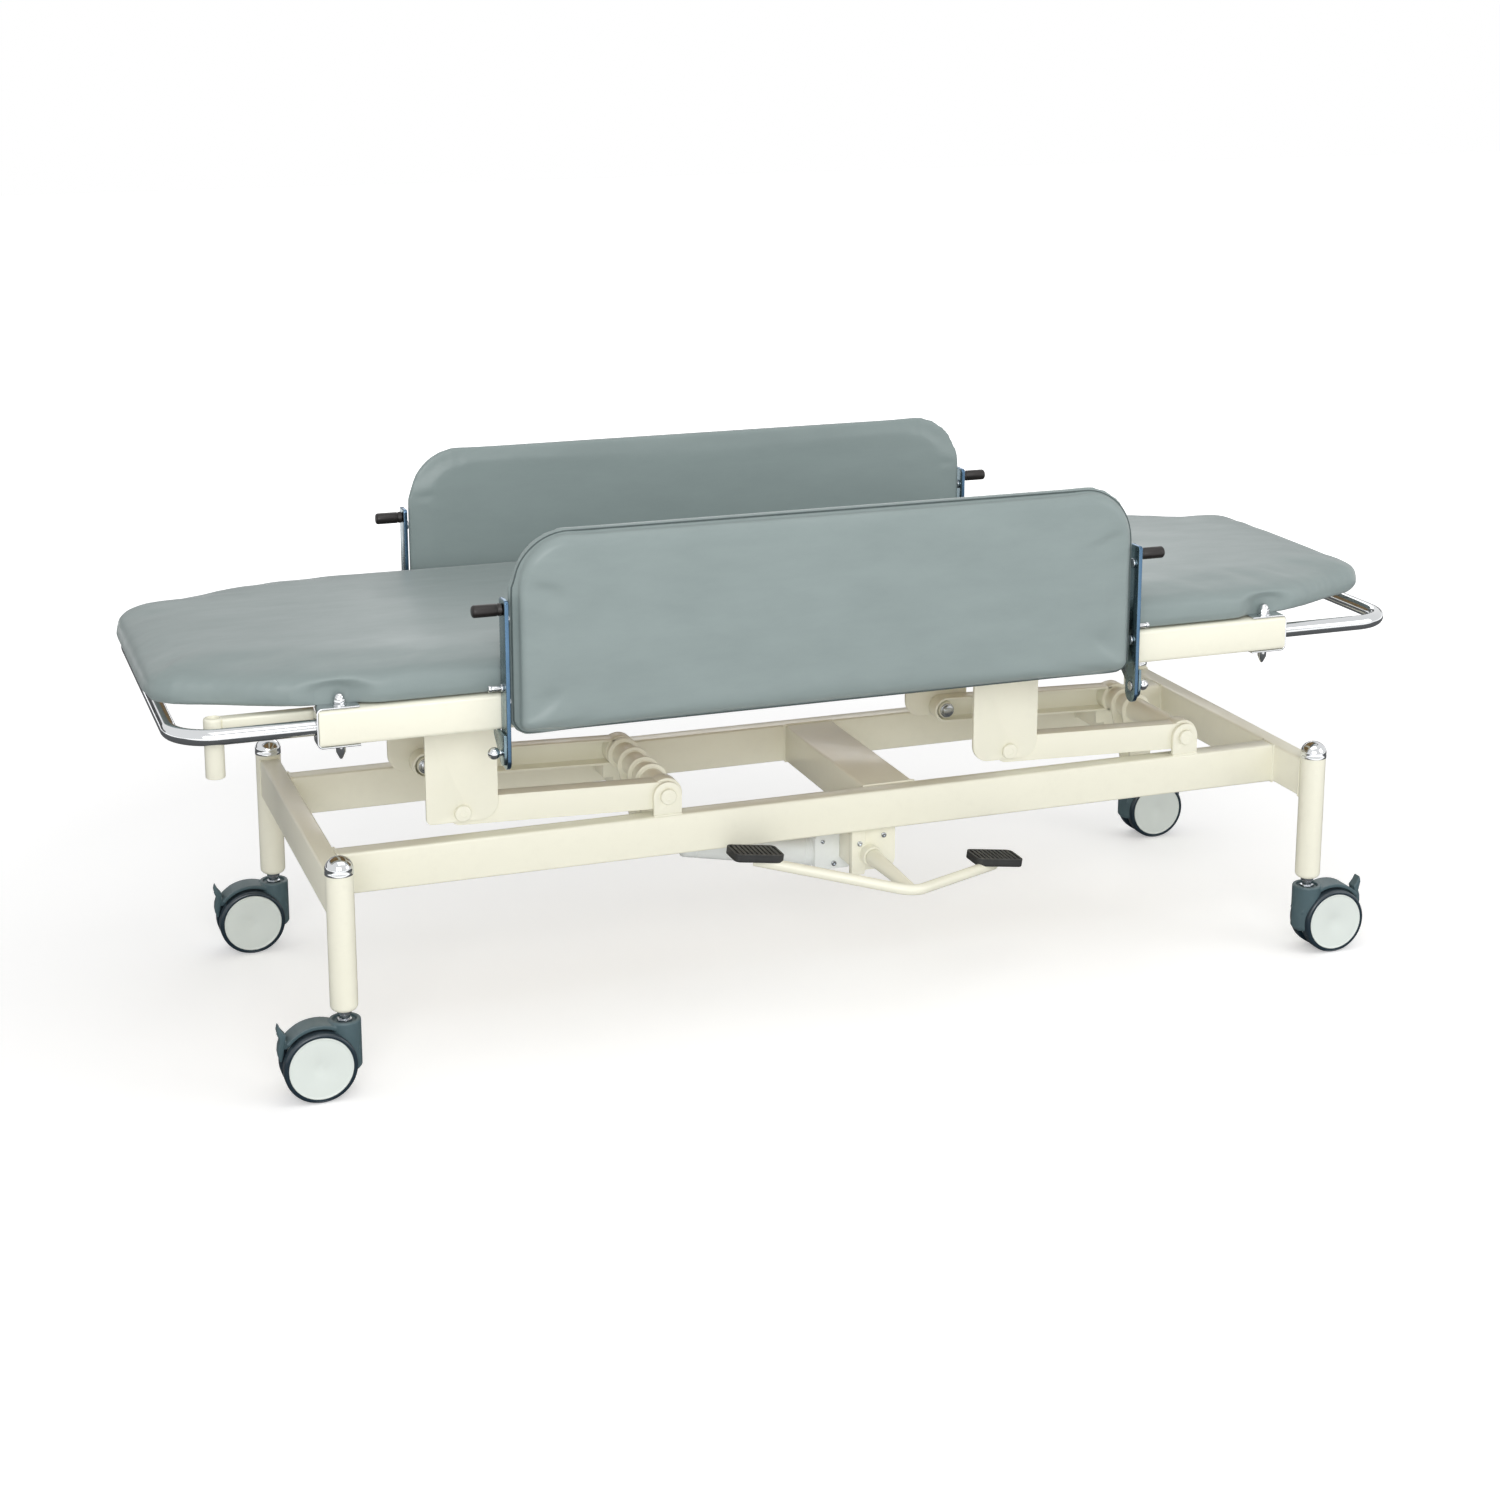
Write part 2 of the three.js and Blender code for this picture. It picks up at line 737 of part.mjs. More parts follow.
// Lift arms: pressed channels between a lower pivot on the base and an upper pivot on the bed
function liftArm(side, near) {
  const [from, to] = near ? nearArm : farArm;
  const ends = [[lift.lowerX[side], lift.lowerZ], [upperX[side], upperZ]];
  const radius = half(arm.height);
  const outer = slab('y', linkOutline(ends[0], radius, ends[1], radius), from, to);
  const inner = radius - arm.wall;
  const room = near ? [from + arm.wall, to + overrun] : [from - overrun, to - arm.wall];
  const pocket = slab('y', linkOutline(ends[0], inner, ends[1], inner), ...room);
  const bossRadii = [arm.lowerBossRadius, arm.bossRadius];
  const bosses = ends.map(([x, z], i) => rod('y', bossRadii[i], from, to, fine.tube).translate(x, 0, z));
  const holes = ends.map(([x, z]) => pinHole(x, z));
  return cut(join(cut(outer, pocket), ...bosses), ...holes);
}

function leverAt(side, reach) {
  const angle = radians(lever.restAngle);
  return [lift.lowerX[side] + reach * Math.cos(angle), lift.lowerZ - reach * Math.sin(angle)];
}

function leverPlate(side, reach, endRadius, y) {
  const pivot = [lift.lowerX[side], lift.lowerZ];
  const outline = linkOutline(pivot, shaft.plateRadius, leverAt(side, reach), endRadius);
  return slab('y', outline, y - half(shaft.plateThickness), y + half(shaft.plateThickness));
}

function crossPin(at, radius, from, to) {
  return rod('y', radius, from, to, fine.bolt).translate(at[0], 0, at[1]);
}

function torqueTube(side) {
  const tube = rod('y', shaft.radius, nearArm[1] + seatGap, farArm[0] - seatGap, fine.tube);
  return tube.translate(lift.lowerX[side], 0, lift.lowerZ);
}

const plateReach = half(shaft.plateThickness);
const tieCentre = farArm[0] - tieBar.inset;
const tieFace = [tieCentre - half(tieBar.thickness), tieCentre + half(tieBar.thickness)];
const collarCentre = farArm[0] - lever.collarInset;

function leftShaft() {
  const pushPlates = lever.pushY.map((y) => leverPlate(0, lever.pushReach, lever.pushEnd, y));
  const tieY = tieCentre + lever.tieOffset;
  const tiePlate = leverPlate(0, lever.tieReach, lever.tieEnd, tieY);
  const collar = crossPin([lift.lowerX[0], lift.lowerZ], shaft.plateRadius,
    collarCentre - plateReach, collarCentre + plateReach);
  const pushPin = crossPin(leverAt(0, lever.pushReach), pin.radius,
    lever.pushY[0] - plateReach, lever.pushY[1] + plateReach);
  const tieAt = leverAt(0, lever.tieReach);
  const tiePin = crossPin(tieAt, lever.pinRadius, tieY - plateReach, tieFace[1] + pin.nutHeight);
  const spacer = crossPin(tieAt, pin.nutRadius, tieY, tieFace[0] - seatGap);
  const nut = crossPin(tieAt, pin.nutRadius, tieFace[1] + seatGap, tieFace[1] + pin.nutHeight);
  const whole = join(torqueTube(0), ...pushPlates, tiePlate, collar, pushPin, tiePin, spacer, nut);
  return cut(whole, pinHole(lift.lowerX[0], lift.lowerZ));
}

function rightShaft() {
  const plateY = lever.rightTieOffsets.map((offset) => tieCentre + offset);
  const plates = plateY.map((y) => leverPlate(1, lever.tieReach, lever.tieEnd, y));
  const tieAt = leverAt(1, lever.tieReach);
  const tiePin = crossPin(tieAt, lever.pinRadius, ...plateY);
  const spacers = [
    crossPin(tieAt, pin.nutRadius, plateY[0], tieFace[0] - seatGap),
    crossPin(tieAt, pin.nutRadius, tieFace[1] + seatGap, plateY[1]),
  ];
  const whole = join(torqueTube(1), ...plates, tiePin, ...spacers);
  return cut(whole, pinHole(lift.lowerX[1], lift.lowerZ));
}

function tieRod() {
  const ends = [leverAt(0, lever.tieReach), leverAt(1, lever.tieReach)];
  const outline = linkOutline(ends[0], half(tieBar.height), ends[1], half(tieBar.height));
  const holes = ends.map(([x, z]) => pinHole(x, z, lever.pinRadius));
  return cut(slab('y', outline, ...tieFace), ...holes);
}

['left', 'right'].forEach((side, index) => {
  node(stretcher, `${side}_arm_near`, liftArm(index, true), 'cream');
  node(stretcher, `${side}_arm_far`, liftArm(index, false), 'cream');
});
node(stretcher, 'left_lift_shaft', leftShaft(), 'cream');
node(stretcher, 'right_lift_shaft', rightShaft(), 'cream');
node(stretcher, 'tie_bar', tieRod(), 'cream');

['left', 'right'].forEach((side, index) => {
  node(stretcher, `lower_pin_${side}`, pivotPin(lift.lowerX[index], lift.lowerZ, true), 'cream');
  node(stretcher, `upper_pin_${side}`, pivotPin(upperX[index], upperZ, true), 'cream');
});

// Hydraulic unit: an inclined cylinder whose rod pushes the cross pin of the left lift shaft
const pushAt = leverAt(0, lever.pushReach);
const cylinderLine = new THREE.Matrix4().makeRotationY(radians(cylinder.tilt));
cylinderLine.setPosition(pushAt[0], cylinder.centreY, pushAt[1]);
const padFace = pin.radius + seatGap;
const padBack = padFace + piston.padThickness;

function cylinderBarrel() {
  const nose = cylinder.noseStart;
  const bore = piston.rodRadius + seatGap;
  const slope = Math.cos(radians(cylinder.tilt));
  const length = (block.x[0] - pushAt[0]) / slope + cylinder.backAllowance;
  const barrel = turned('x', [
    [bore, nose],
    [cylinder.noseRadius, nose],
    [cylinder.radius, nose + cylinder.noseLength],
    [cylinder.radius, length],
    [0, length],
    [0, nose + cylinder.boreLength],
    [bore, nose + cylinder.boreLength],
    [bore, nose],
  ], fine.tube);
  const beyond = box(
    [block.x[0] - seatGap, block.x[1]],
    [cylinder.centreY - cylinder.radius - overrun, cylinder.centreY + cylinder.radius + overrun],
    [0, railBottom],
  );
  return cut(barrel.applyMatrix4(cylinderLine), beyond);
}

function pistonRod() {
  const rodPiece = rod('x', piston.rodRadius, padFace, padBack + piston.rodLength, fine.tube);
  const pad = box(
    [padFace, padBack],
    [-half(piston.padWidth), half(piston.padWidth)],
    [-half(piston.padHeight), half(piston.padHeight)],
  );
  return join(rodPiece, pad).applyMatrix4(cylinderLine);
}

function chamferedOutline(u, v, chamfer) {
  return polygon([
    [u[0] + chamfer, v[0]],
    [u[1] - chamfer, v[0]],
    [u[1], v[0] + chamfer],
    [u[1], v[1] - chamfer],
    [u[1] - chamfer, v[1]],
    [u[0] + chamfer, v[1]],
    [u[0], v[1] - chamfer],
    [u[0], v[0] + chamfer],
  ]);
}

const mountFace = [-railInner - mount.thickness, -railInner];

function pumpMount() {
  const top = railBottom - seatGap;
  const flange = box(mount.flangeX, mountFace, [mount.flangeBottom, top]);
  const hub = slab('y', roundedRectangle(
    [mount.flangeX[1] - overrun, mount.hubRight],
    [mount.hubBottom, top],
    [0, mount.hubCorner, 0, 0],
  ), ...mountFace);
  const rib = box(mount.flangeX, [mountFace[1] - overrun, block.y[0] - seatGap], mount.ribZ);
  const ring = rod('y', mount.ringRadius, mountFace[0] - mount.ringLength, mountFace[0] + overrun, fine.tube);
  ring.translate(pedal.axisX, 0, pedal.axisZ);
  return cut(join(flange, hub, rib, ring), pinHole(pedal.axisX, pedal.axisZ, pedal.shaftRadius));
}

node(stretcher, 'pump_cylinder', cylinderBarrel(), 'pump');
node(stretcher, 'piston_rod', pistonRod(), 'chrome');
const blockOutline = chamferedOutline(block.x, block.z, block.chamfer);
node(stretcher, 'pump_block', slab('y', blockOutline, ...block.y), 'pump');
node(stretcher, 'pump_mount', pumpMount(), 'cream');

// Foot pedal: a V-shaped bar on the pump shaft with a ribbed pad at each end.
// It is drawn level about its shaft, and the group carries the tilt.
const pedalGroup = new THREE.Group();
pedalGroup.position.set(pedal.axisX, 0, pedal.axisZ);
pedalGroup.rotation.y = radians(pedal.tilt);
stretcher.add(pedalGroup);
const ringFace = mountFace[0] - mount.ringLength;

const pedalEnds = [
  new THREE.Vector3(-pedal.leftReach, -railOuter - pedal.endOut, pedal.endRise),
  new THREE.Vector3(pedal.rightReach, -railOuter - pedal.endOut, pedal.endRise),
];
const pedalApex = new THREE.Vector3(0, -railOuter - pedal.apexOut, 0);

function pedalBar() {
  const path = [pedalEnds[0], pedalApex, pedalEnds[1]];
  const bar = bentBar(path, pedal.bendRadius, fine.link, pedal.barRadius, fine.round);
  const discFace = ringFace - runningGap;
  const coneEnd = -railOuter - pedal.coneOut;
  const hub = turned('y', [
    [0, coneEnd - pedal.barRadius],
    [pedal.barRadius, coneEnd],
    [pedal.coneRadius, discFace - pedal.discLength - pedal.discLength],
    [pedal.discRadius, discFace - pedal.discLength],
    [pedal.discRadius, discFace],
    [pedal.shaftRadius, discFace],
    [pedal.shaftRadius, pedal.shaftEnd],
    [0, pedal.shaftEnd],
  ], fine.tube);
  return join(bar, hub);
}

// A groove's start and width, as shares of the pitch of the pad's ribs
const grooveStartShare = 0.3;
const grooveWidthShare = 0.4;

function pedalPad(end) {
  const along = end.clone().sub(pedalApex).normalize();
  const foot = end.z + pedal.barRadius - pedal.padSink;
  const top = foot + pedal.padThickness;
  const x = [end.x - half(pedal.padLength), end.x + half(pedal.padLength)];
  const y = [end.y - half(pedal.padWidth), end.y + half(pedal.padWidth)];
  const body = slab('z', roundedRectangle(x, y, Array(4).fill(pedal.padCorner)), foot, top);
  const pitch = (pedal.padLength - 2 * pedal.padCorner) / pedal.ribCount;
  const grooves = Array.from({ length: pedal.ribCount }, (_, i) => {
    const from = x[0] + pedal.padCorner + pitch * (i + grooveStartShare);
    const across = [y[0] + pedal.ribMargin, y[1] - pedal.ribMargin];
    return box([from, from + grooveWidthShare * pitch], across, [top - pedal.ribDepth, top + overrun]);
  });
  const seat = bentBar([pedalApex, end.clone().addScaledVector(along, pedal.padLength)], 0, 0,
    pedal.barRadius + seatGap, fine.round);
  return cut(body, ...grooves, seat);
}

node(pedalGroup, 'pedal_bar', pedalBar(), 'cream');
node(pedalGroup, 'pedal_pad_left', pedalPad(pedalEnds[0]), 'rubber');
node(pedalGroup, 'pedal_pad_right', pedalPad(pedalEnds[1]), 'rubber');

// Bed frame: two side tubes, the cross tubes between them, and plates that hang to the pivots
const bedTop = bed.tubeBottom + bed.tubeHeight;
const bedZ = [bed.tubeBottom, bedTop];
const tubeInner = bed.tubeOuterY - bed.tubeWidth;
const tubeY = bed.tubeOuterY - half(bed.tubeWidth);
const tubeMiddle = bed.tubeBottom + half(bed.tubeHeight);
const boltX = [bed.tubeX[0] + saddle.boltInset, bed.tubeX[1] - saddle.boltInset];

function boltHoles(y) {
  return boltX.map((x) => (
    rod('z', saddleBolt.radius + seatGap, 0, mattress.bottom + mattress.height, fine.bolt).translate(x, y, 0)
  ));
}

function sideTube(way) {
  const section = [way * tubeY - half(bed.tubeWidth), way * tubeY + half(bed.tubeWidth)];
  const tube = boxTube('x', section, bedZ, bed.tubeWall, bed.tubeCorner, ...bed.tubeX);
  const endRound = saddle.corner - saddle.thickness;
  const profile = roundedRectangle(bed.tubeX, bedZ, Array(4).fill(endRound));
  return cut(overlapOf(tube, slab('y', profile, ...section)), ...boltHoles(way * tubeY));
}

function crossTube(x) {
  const reach = tubeInner - seatGap;
  const across = [x - half(bed.crossWidth), x + half(bed.crossWidth)];
  return boxTube('y', across, bedZ, bed.crossWall, base.railCorner, -reach, reach);
}

function hangingPlate(side, near) {
  const from = upperX[side] + plate.left[side];
  const sharp = near && side === 0 ? plate.smallRadius : plate.bottomRadius;
  const outline = roundedRectangle(
    [from, from + plate.width[side]],
    [plate.bottom, bed.tubeBottom + half(bed.crossWall)],
    [sharp, plate.bottomRadius, 0, 0],
  );
  return slab('y', outline, ...(near ? nearPlate : farPlate));
}

// A cross tube with the near and the far plate that hang from it
function hanger(side) {
  const tube = crossTube(upperX[side] + plate.left[side] + half(plate.width[side]));
  const near = cut(hangingPlate(side, true), pinHole(upperX[side], upperZ));
  return join(tube, near, hangingPlate(side, false), pivotPin(upperX[side], upperZ, false));
}

['left', 'right'].forEach((side, index) => {
  node(stretcher, `frame_end_tube_${side}`, crossTube(bed.endTubeX[index]), 'cream');
  node(stretcher, `hanger_${side}`, hanger(index), 'cream');
});

// Push handles slide into the ends of the side tubes, held by a saddle and a bolt at each leg
function pushHandle(end) {
  const root = end === 0 ? bed.tubeX[0] + handle.insertion : bed.tubeX[1] - handle.insertion;
  const corner = [root, handle.endX[end], handle.endX[end], root];
  const path = corner.map((x, i) => new THREE.Vector3(x, i < 2 ? -tubeY : tubeY, tubeMiddle));
  const bar = bentBar(path, handle.bendRadius, handle.bendSteps, handle.radius, fine.bar);
  return cut(bar, ...boltHoles(-tubeY), ...boltHoles(tubeY));
}

// The saddle is a strap round the tube's end, and its bolt passes through the tube and the handle
function handleClamp(end, way) {
  const outward = end === 0 ? -1 : 1;
  const mouth = bed.tubeX[end];
  const outer = mouth + outward * (saddle.thickness + seatGap);
  const root = mouth - outward * saddle.length;
  const x = [Math.min(outer, root), Math.max(outer, root)];
  const reach = saddle.thickness + seatGap;
  const radii = outward < 0 ? [saddle.corner, 0, 0, saddle.corner] : [0, saddle.corner, saddle.corner, 0];
  const sheet = roundedRectangle(x, [bedZ[0] - reach, bedZ[1] + reach], radii);
  const inner = outward < 0 ? [mouth - seatGap, x[1] + overrun] : [x[0] - overrun, mouth + seatGap];
  const slot = roundedRectangle(inner, [bedZ[0] - seatGap, bedZ[1] + seatGap],
    radii.map((radius) => Math.max(radius - reach, 0)));
  const y = [way * tubeY - half(saddle.width), way * tubeY + half(saddle.width)];
  const band = cut(slab('y', sheet, ...y), slab('y', slot, y[0] - overrun, y[1] + overrun));
  const mouthHole = rod('x', handle.radius + 2 * runningGap,
    mouth - half(saddle.boltInset), mouth + saddle.length);
  const clamp = join(band, capBolt().translate(boltX[end], way * tubeY, 0));
  return cut(clamp, mouthHole.translate(0, way * tubeY, tubeMiddle));
}

function capBolt() {
  const seat = bedTop + saddle.thickness + half(seatGap);
  const washerTop = seat + saddleBolt.washerHeight;
  const foot = bedZ[0] - saddle.thickness - half(seatGap);
  const dome = quarterArc(0, seat + half(saddleBolt.nutHeight), saddleBolt.nutRadius - saddleBolt.nutShoulder,
    half(saddleBolt.nutHeight), 0, 90, fine.round);
  return turned('z', [
    [0, foot - saddleBolt.tip],
    [half(saddleBolt.radius), foot - saddleBolt.tip],
    [saddleBolt.tipRadius, foot - half(saddleBolt.tip)],
    [saddleBolt.tipRadius, foot],
    [saddleBolt.radius, foot],
    [saddleBolt.radius, seat],
    [saddleBolt.washerRadius, seat],
    [saddleBolt.washerRadius, washerTop],
    [saddleBolt.nutRadius, washerTop],
    ...dome.slice(0, -1),
    [0, seat + saddleBolt.nutHeight],
  ], fine.bolt);
}

node(stretcher, 'push_handle_left', pushHandle(0), 'chrome');
node(stretcher, 'push_handle_right', pushHandle(1), 'chrome');
for (const [end, endName] of [[0, 'left'], [1, 'right']]) {
  node(stretcher, `handle_clamp_near_${endName}`, handleClamp(end, -1), 'chrome');
  node(stretcher, `handle_clamp_far_${endName}`, handleClamp(end, 1), 'chrome');
}

// Socket for a drip pole, on an arm from the end cross tube
function ivPoleSocket() {
  const reach = bed.endTubeX[0] - half(bed.crossWidth) - seatGap;
  const stalk = box(
    [ivSocket.x, reach],
    [ivSocket.y - half(ivSocket.armWidth), ivSocket.y + half(ivSocket.armWidth)],
    [ivSocket.top - ivSocket.armHeight, ivSocket.top],
  );
  const tube = rod('z', ivSocket.radius, ivSocket.bottom, ivSocket.top, fine.tube);
  const bore = rod('z', ivSocket.bore, ivSocket.bottom - overrun, ivSocket.top + overrun, fine.tube);
  tube.translate(ivSocket.x, ivSocket.y, 0);
  return cut(join(stalk, tube), bore.translate(ivSocket.x, ivSocket.y, 0));
}

node(stretcher, 'iv_pole_socket', ivPoleSocket(), 'cream');

// Mattress outline: flat narrow ends that widen to the full bed, as [run from the end, half width]
const taperRunShares = [0, 0.012, 0.03, 0.1, 0.28, 0.38, 0.63, 1];
const taperWidthShares = [0.521, 0.6, 0.66, 0.715, 0.775, 0.85, 0.951, 1];

// The mattress's section from its underside up, and the rise of its crown towards the spine
const sectionHeightShares = [0, 0.12, 0.4, 0.7, 0.86, 1];
const crownSpineShares = [0.3, 0.7];
const crownRiseShares = [0.6, 1];

function mattressOutline(inset) {
  const ends = [mattress.x[0] + inset, mattress.x[1] - inset];
  const width = mattress.halfWidth - inset;
  const taper = taperRunShares.map((share, i) => [share * mattress.taperRun, width * taperWidthShares[i]]);
  const side = [
    ...taper.map(([run, y]) => [ends[0] + run, y]),
    ...taper.map(([run, y]) => [ends[1] - run, y]).reverse(),
  ];
  const back = side.map(([x, y]) => [x, -y]).reverse();
  return [...side, ...back].map(([x, y]) => new THREE.Vector2(x, y)).reverse();
}

function mattressSolid() {
  const outline = mattressOutline(0);
  const spineEnds = [mattress.x[0] + mattress.taperRun, mattress.x[1] - mattress.taperRun];
  const spineOf = (edge) => new THREE.Vector2(THREE.MathUtils.clamp(edge.x, ...spineEnds), 0);
  const { bottom, height, crown, bottomInset, drawIn, shoulderInset, rimInset } = mattress;
  const insets = [bottomInset, drawIn, drawIn, 0, shoulderInset, rimInset];
  const sides = sectionHeightShares.map((share, i) => (
    { inset: insets[i], spineShare: 0, height: bottom + share * height }
  ));
  const top = crownRiseShares.map((share, i) => (
    { inset: rimInset, spineShare: crownSpineShares[i], height: bottom + height + share * crown }
  ));
  const body = cushion(outline, spineOf, [...sides, ...top]);
  const deckRoom = slab('z', polygon(mattressOutline(deck.inset - seatGap).map((at) => [at.x, at.y])),
    bottom - overrun, bedTop + seatGap + deck.thickness + seatGap);
  const nutRooms = boltX.flatMap((x) => [-1, 1].map((way) => {
    const room = roundedRectangle(
      [x - saddle.length, x + saddle.length],
      [tubeInner - overrun, mattress.halfWidth + overrun],
      [0, 0, 0, 0],
    );
    const strap = slab('z', room, bottom - overrun, bedTop + saddle.thickness + overrun, fine.corner);
    const nutY = [tubeY - saddleBolt.washerRadius - overrun, mattress.halfWidth + overrun];
    const nutX = [x - saddleBolt.washerRadius - overrun, x + saddleBolt.washerRadius + overrun];
    const nutTop = bedTop + saddle.thickness + saddleBolt.nutHeight + overrun;
    const nutRoom = roundedRectangle(nutX, nutY, [saddle.corner, saddle.corner, 0, 0]);
    const nut = slab('z', nutRoom, bottom - overrun, nutTop, fine.corner);
    const both = join(strap, nut);
    return way < 0 ? both.applyMatrix4(new THREE.Matrix4().makeScale(1, -1, 1)) : both;
  }));
  return cut(body, deckRoom, ...nutRooms);
}

function deckBoard() {
  const outline = polygon(mattressOutline(deck.inset).map((at) => [at.x, at.y]));
  return slab('z', outline, bedTop + seatGap, bedTop + seatGap + deck.thickness);
}

node(stretcher, 'mattress_board', deckBoard(), 'board');
node(stretcher, 'mattress', mattressSolid(), 'vinyl');

// Side guards: a padded panel between two flat bars that turn on hollow hinge bushes.
// Each is drawn for the near side with its hinge line on the X axis, and the far one is turned about.
const barInner = guard.halfLength + guard.barGap;
const barOuter = barInner + guard.barThickness;
const bracketInner = barOuter + seatGap;
const bracketOuter = bracketInner + bracket.thickness;
const bushEnd = bracketInner + half(bracket.thickness);

function barOutline(top, below) {
  const radius = half(guard.barWidth);
  const outline = new THREE.Shape();
  outline.moveTo(radius, top);
  outline.lineTo(-radius, top);
  outline.absarc(0, -below, radius, Math.PI, 2 * Math.PI);
  return outline;
}

// Half of a guard pad's section, from its face to its middle: the share of the pad's depth at each ring
const padDepthShares = [0, 0.04, 0.12, 0.26, 0.5];
const padFaceSpineShare = 0.5;

function guardPad() {
  const x = [-guard.halfLength, guard.halfLength];
  const z = [guard.padBottom, guard.padTop];
  const { topCorner, bottomCorner } = guard;
  const shape = roundedRectangle(x, z, [bottomCorner, bottomCorner, topCorner, topCorner]);
  const outline = shape.getPoints(fine.round);
  if (outline[0].distanceTo(outline.at(-1)) < seatGap) outline.pop();
  const middleZ = middle(z);
  const reach = guard.halfLength - half(span(z));
  const spineOf = (edge) => new THREE.Vector2(THREE.MathUtils.clamp(edge.x, -reach, reach), middleZ);
  const faces = [-guard.padInner, -guard.padOuter];
  const insets = [guard.faceInset, guard.rollInset, guard.edgeInset, 0, guard.drawIn];
  const back = padDepthShares.map((share, i) => (
    { inset: insets[i], spineShare: i === 0 ? padFaceSpineShare : 0, height: faces[0] + share * span(faces) }
  ));
  const front = back.slice(0, -1).reverse().map((ring) => (
    { ...ring, height: 2 * middle(faces) - ring.height }
  ));
  return cushion(outline, spineOf, [...back, ...front]).rotateX(Math.PI / 2);
}

function guardBar() {
  const bar = slab('x', barOutline(guard.barTop, guard.barBelow), barInner, barOuter);
  const hinge = rod('x', bracket.bushRadius + seatGap, barInner - overrun, barOuter + overrun, fine.pin);
  const spacers = guard.spacerZ.map((z) => (
    rod('x', guard.spacerRadius, guard.halfLength + seatGap, barInner + overrun, fine.bolt)
      .translate(0, 0, z)
  ));
  const grip = rod('x', guard.gripRadius, barOuter - overrun, barOuter + guard.gripLength);
  return join(cut(bar, hinge), ...spacers, grip.translate(0, 0, guard.gripZ));
}

// The bracket's strip is welded to the side tube by its inner edge
function guardBracket() {
  const weld = guard.hingeY - bed.tubeOuterY + half(bed.tubeWall);
  const strip = join(
    slab('x', barOutline(bracket.top, bracket.below), bracketInner, bracketOuter),
    box([bracketInner, bracketOuter], [0, weld], bedZ.map((z) => z - guard.hingeZ)),
  );
  const bush = rod('x', bracket.bushRadius, barInner - seatGap, bushEnd, fine.pin);
  const stop = turned('x', [
    [0, bracketOuter - overrun],
    [bracket.stopRadius, bracketOuter - overrun],
    [bracket.stopRadius, bracketOuter + bracket.stopLength - bracket.stopHeadLength],
    [bracket.stopHeadRadius, bracketOuter + bracket.stopLength - bracket.stopHeadLength],
    [bracket.stopHeadRadius, bracketOuter + bracket.stopLength],
    [0, bracketOuter + bracket.stopLength],
  ], fine.nut);
  const bore = rod('x', bracket.plungerRadius + seatGap,
    barInner - overrun, bracketOuter + overrun, fine.bolt);
  return cut(join(strip, bush, stop.translate(0, 0, bracket.stopZ)), bore);
}

function lockPlunger() {
  const knob = new THREE.SphereGeometry(bracket.knobRadius, fine.pin, fine.nut);
  knob.translate(bracketOuter + bracket.knobOffset, 0, 0);
  const stem = rod('x', bracket.plungerRadius, barInner, bracketOuter + bracket.knobOffset, fine.bolt);
  return join(knob, stem);
}

function atEnd(piece, end) {
  return closed(piece.applyMatrix4(new THREE.Matrix4().makeScale(end, 1, 1)));
}

for (const [name, way] of [['near', -1], ['far', 1]]) {
  const place = new THREE.Group();
  place.position.set(guard.centreX, way * guard.hingeY, guard.hingeZ);
  place.rotation.z = way > 0 ? Math.PI : 0;
  stretcher.add(place);
  place.updateMatrix();
  node(place, `guard_pad_${name}`, guardPad(), 'vinyl');
  for (const end of [-1, 1]) {
    const side = end * way > 0 ? 'left' : 'right';
    node(place, `guard_bar_${name}_${side}`, atEnd(guardBar(), end), 'steel');
    node(place, `guard_plunger_${name}_${side}`, atEnd(lockPlunger(), end), 'chrome');
  }
  const brackets = [-1, 1].map((end) => atEnd(guardBracket(), end).applyMatrix4(place.matrix));
  node(stretcher, `frame_tube_${name}`, join(sideTube(way), ...brackets), 'cream');
}

// The origin stands on the floor under the middle of the whole stretcher
const extent = new THREE.Box3().setFromObject(stretcher);
const centre = extent.getCenter(new THREE.Vector3());
stretcher.position.set(-centre.x, -centre.y, 0);
stretcher.updateMatrixWorld(true);

export default stretcher;
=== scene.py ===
# %% [markdown]
# A hydraulic stretcher: a mattress on a steel bed frame, lifted by a foot pump on two pairs of arms.
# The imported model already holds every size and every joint, so this script never measures anything
# again: it reads where each node is, and makes a finer piece in the same place. A piece is drawn in
# metres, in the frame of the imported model, and then rides on the body that carries it.

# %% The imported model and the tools
import json
import math

import bmesh
import bpy
from mathutils import Matrix, Vector, noise


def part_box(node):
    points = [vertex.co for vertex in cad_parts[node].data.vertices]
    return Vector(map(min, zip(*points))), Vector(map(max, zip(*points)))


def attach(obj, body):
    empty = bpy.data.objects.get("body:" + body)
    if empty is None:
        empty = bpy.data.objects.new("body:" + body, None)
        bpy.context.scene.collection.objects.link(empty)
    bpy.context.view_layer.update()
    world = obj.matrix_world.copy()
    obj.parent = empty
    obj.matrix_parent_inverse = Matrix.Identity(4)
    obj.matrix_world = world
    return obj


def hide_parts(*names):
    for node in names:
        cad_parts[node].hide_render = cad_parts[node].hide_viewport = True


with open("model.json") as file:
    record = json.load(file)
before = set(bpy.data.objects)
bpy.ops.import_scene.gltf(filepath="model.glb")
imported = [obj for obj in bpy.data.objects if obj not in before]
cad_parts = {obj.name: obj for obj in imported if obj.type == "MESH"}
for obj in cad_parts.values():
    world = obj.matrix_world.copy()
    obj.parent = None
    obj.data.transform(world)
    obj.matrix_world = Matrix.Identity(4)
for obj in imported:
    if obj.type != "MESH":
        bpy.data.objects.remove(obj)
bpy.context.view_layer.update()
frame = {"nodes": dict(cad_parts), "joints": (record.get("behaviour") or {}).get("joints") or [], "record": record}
joints = {joint["name"]: joint for joint in frame["joints"]}
mm = 0.001
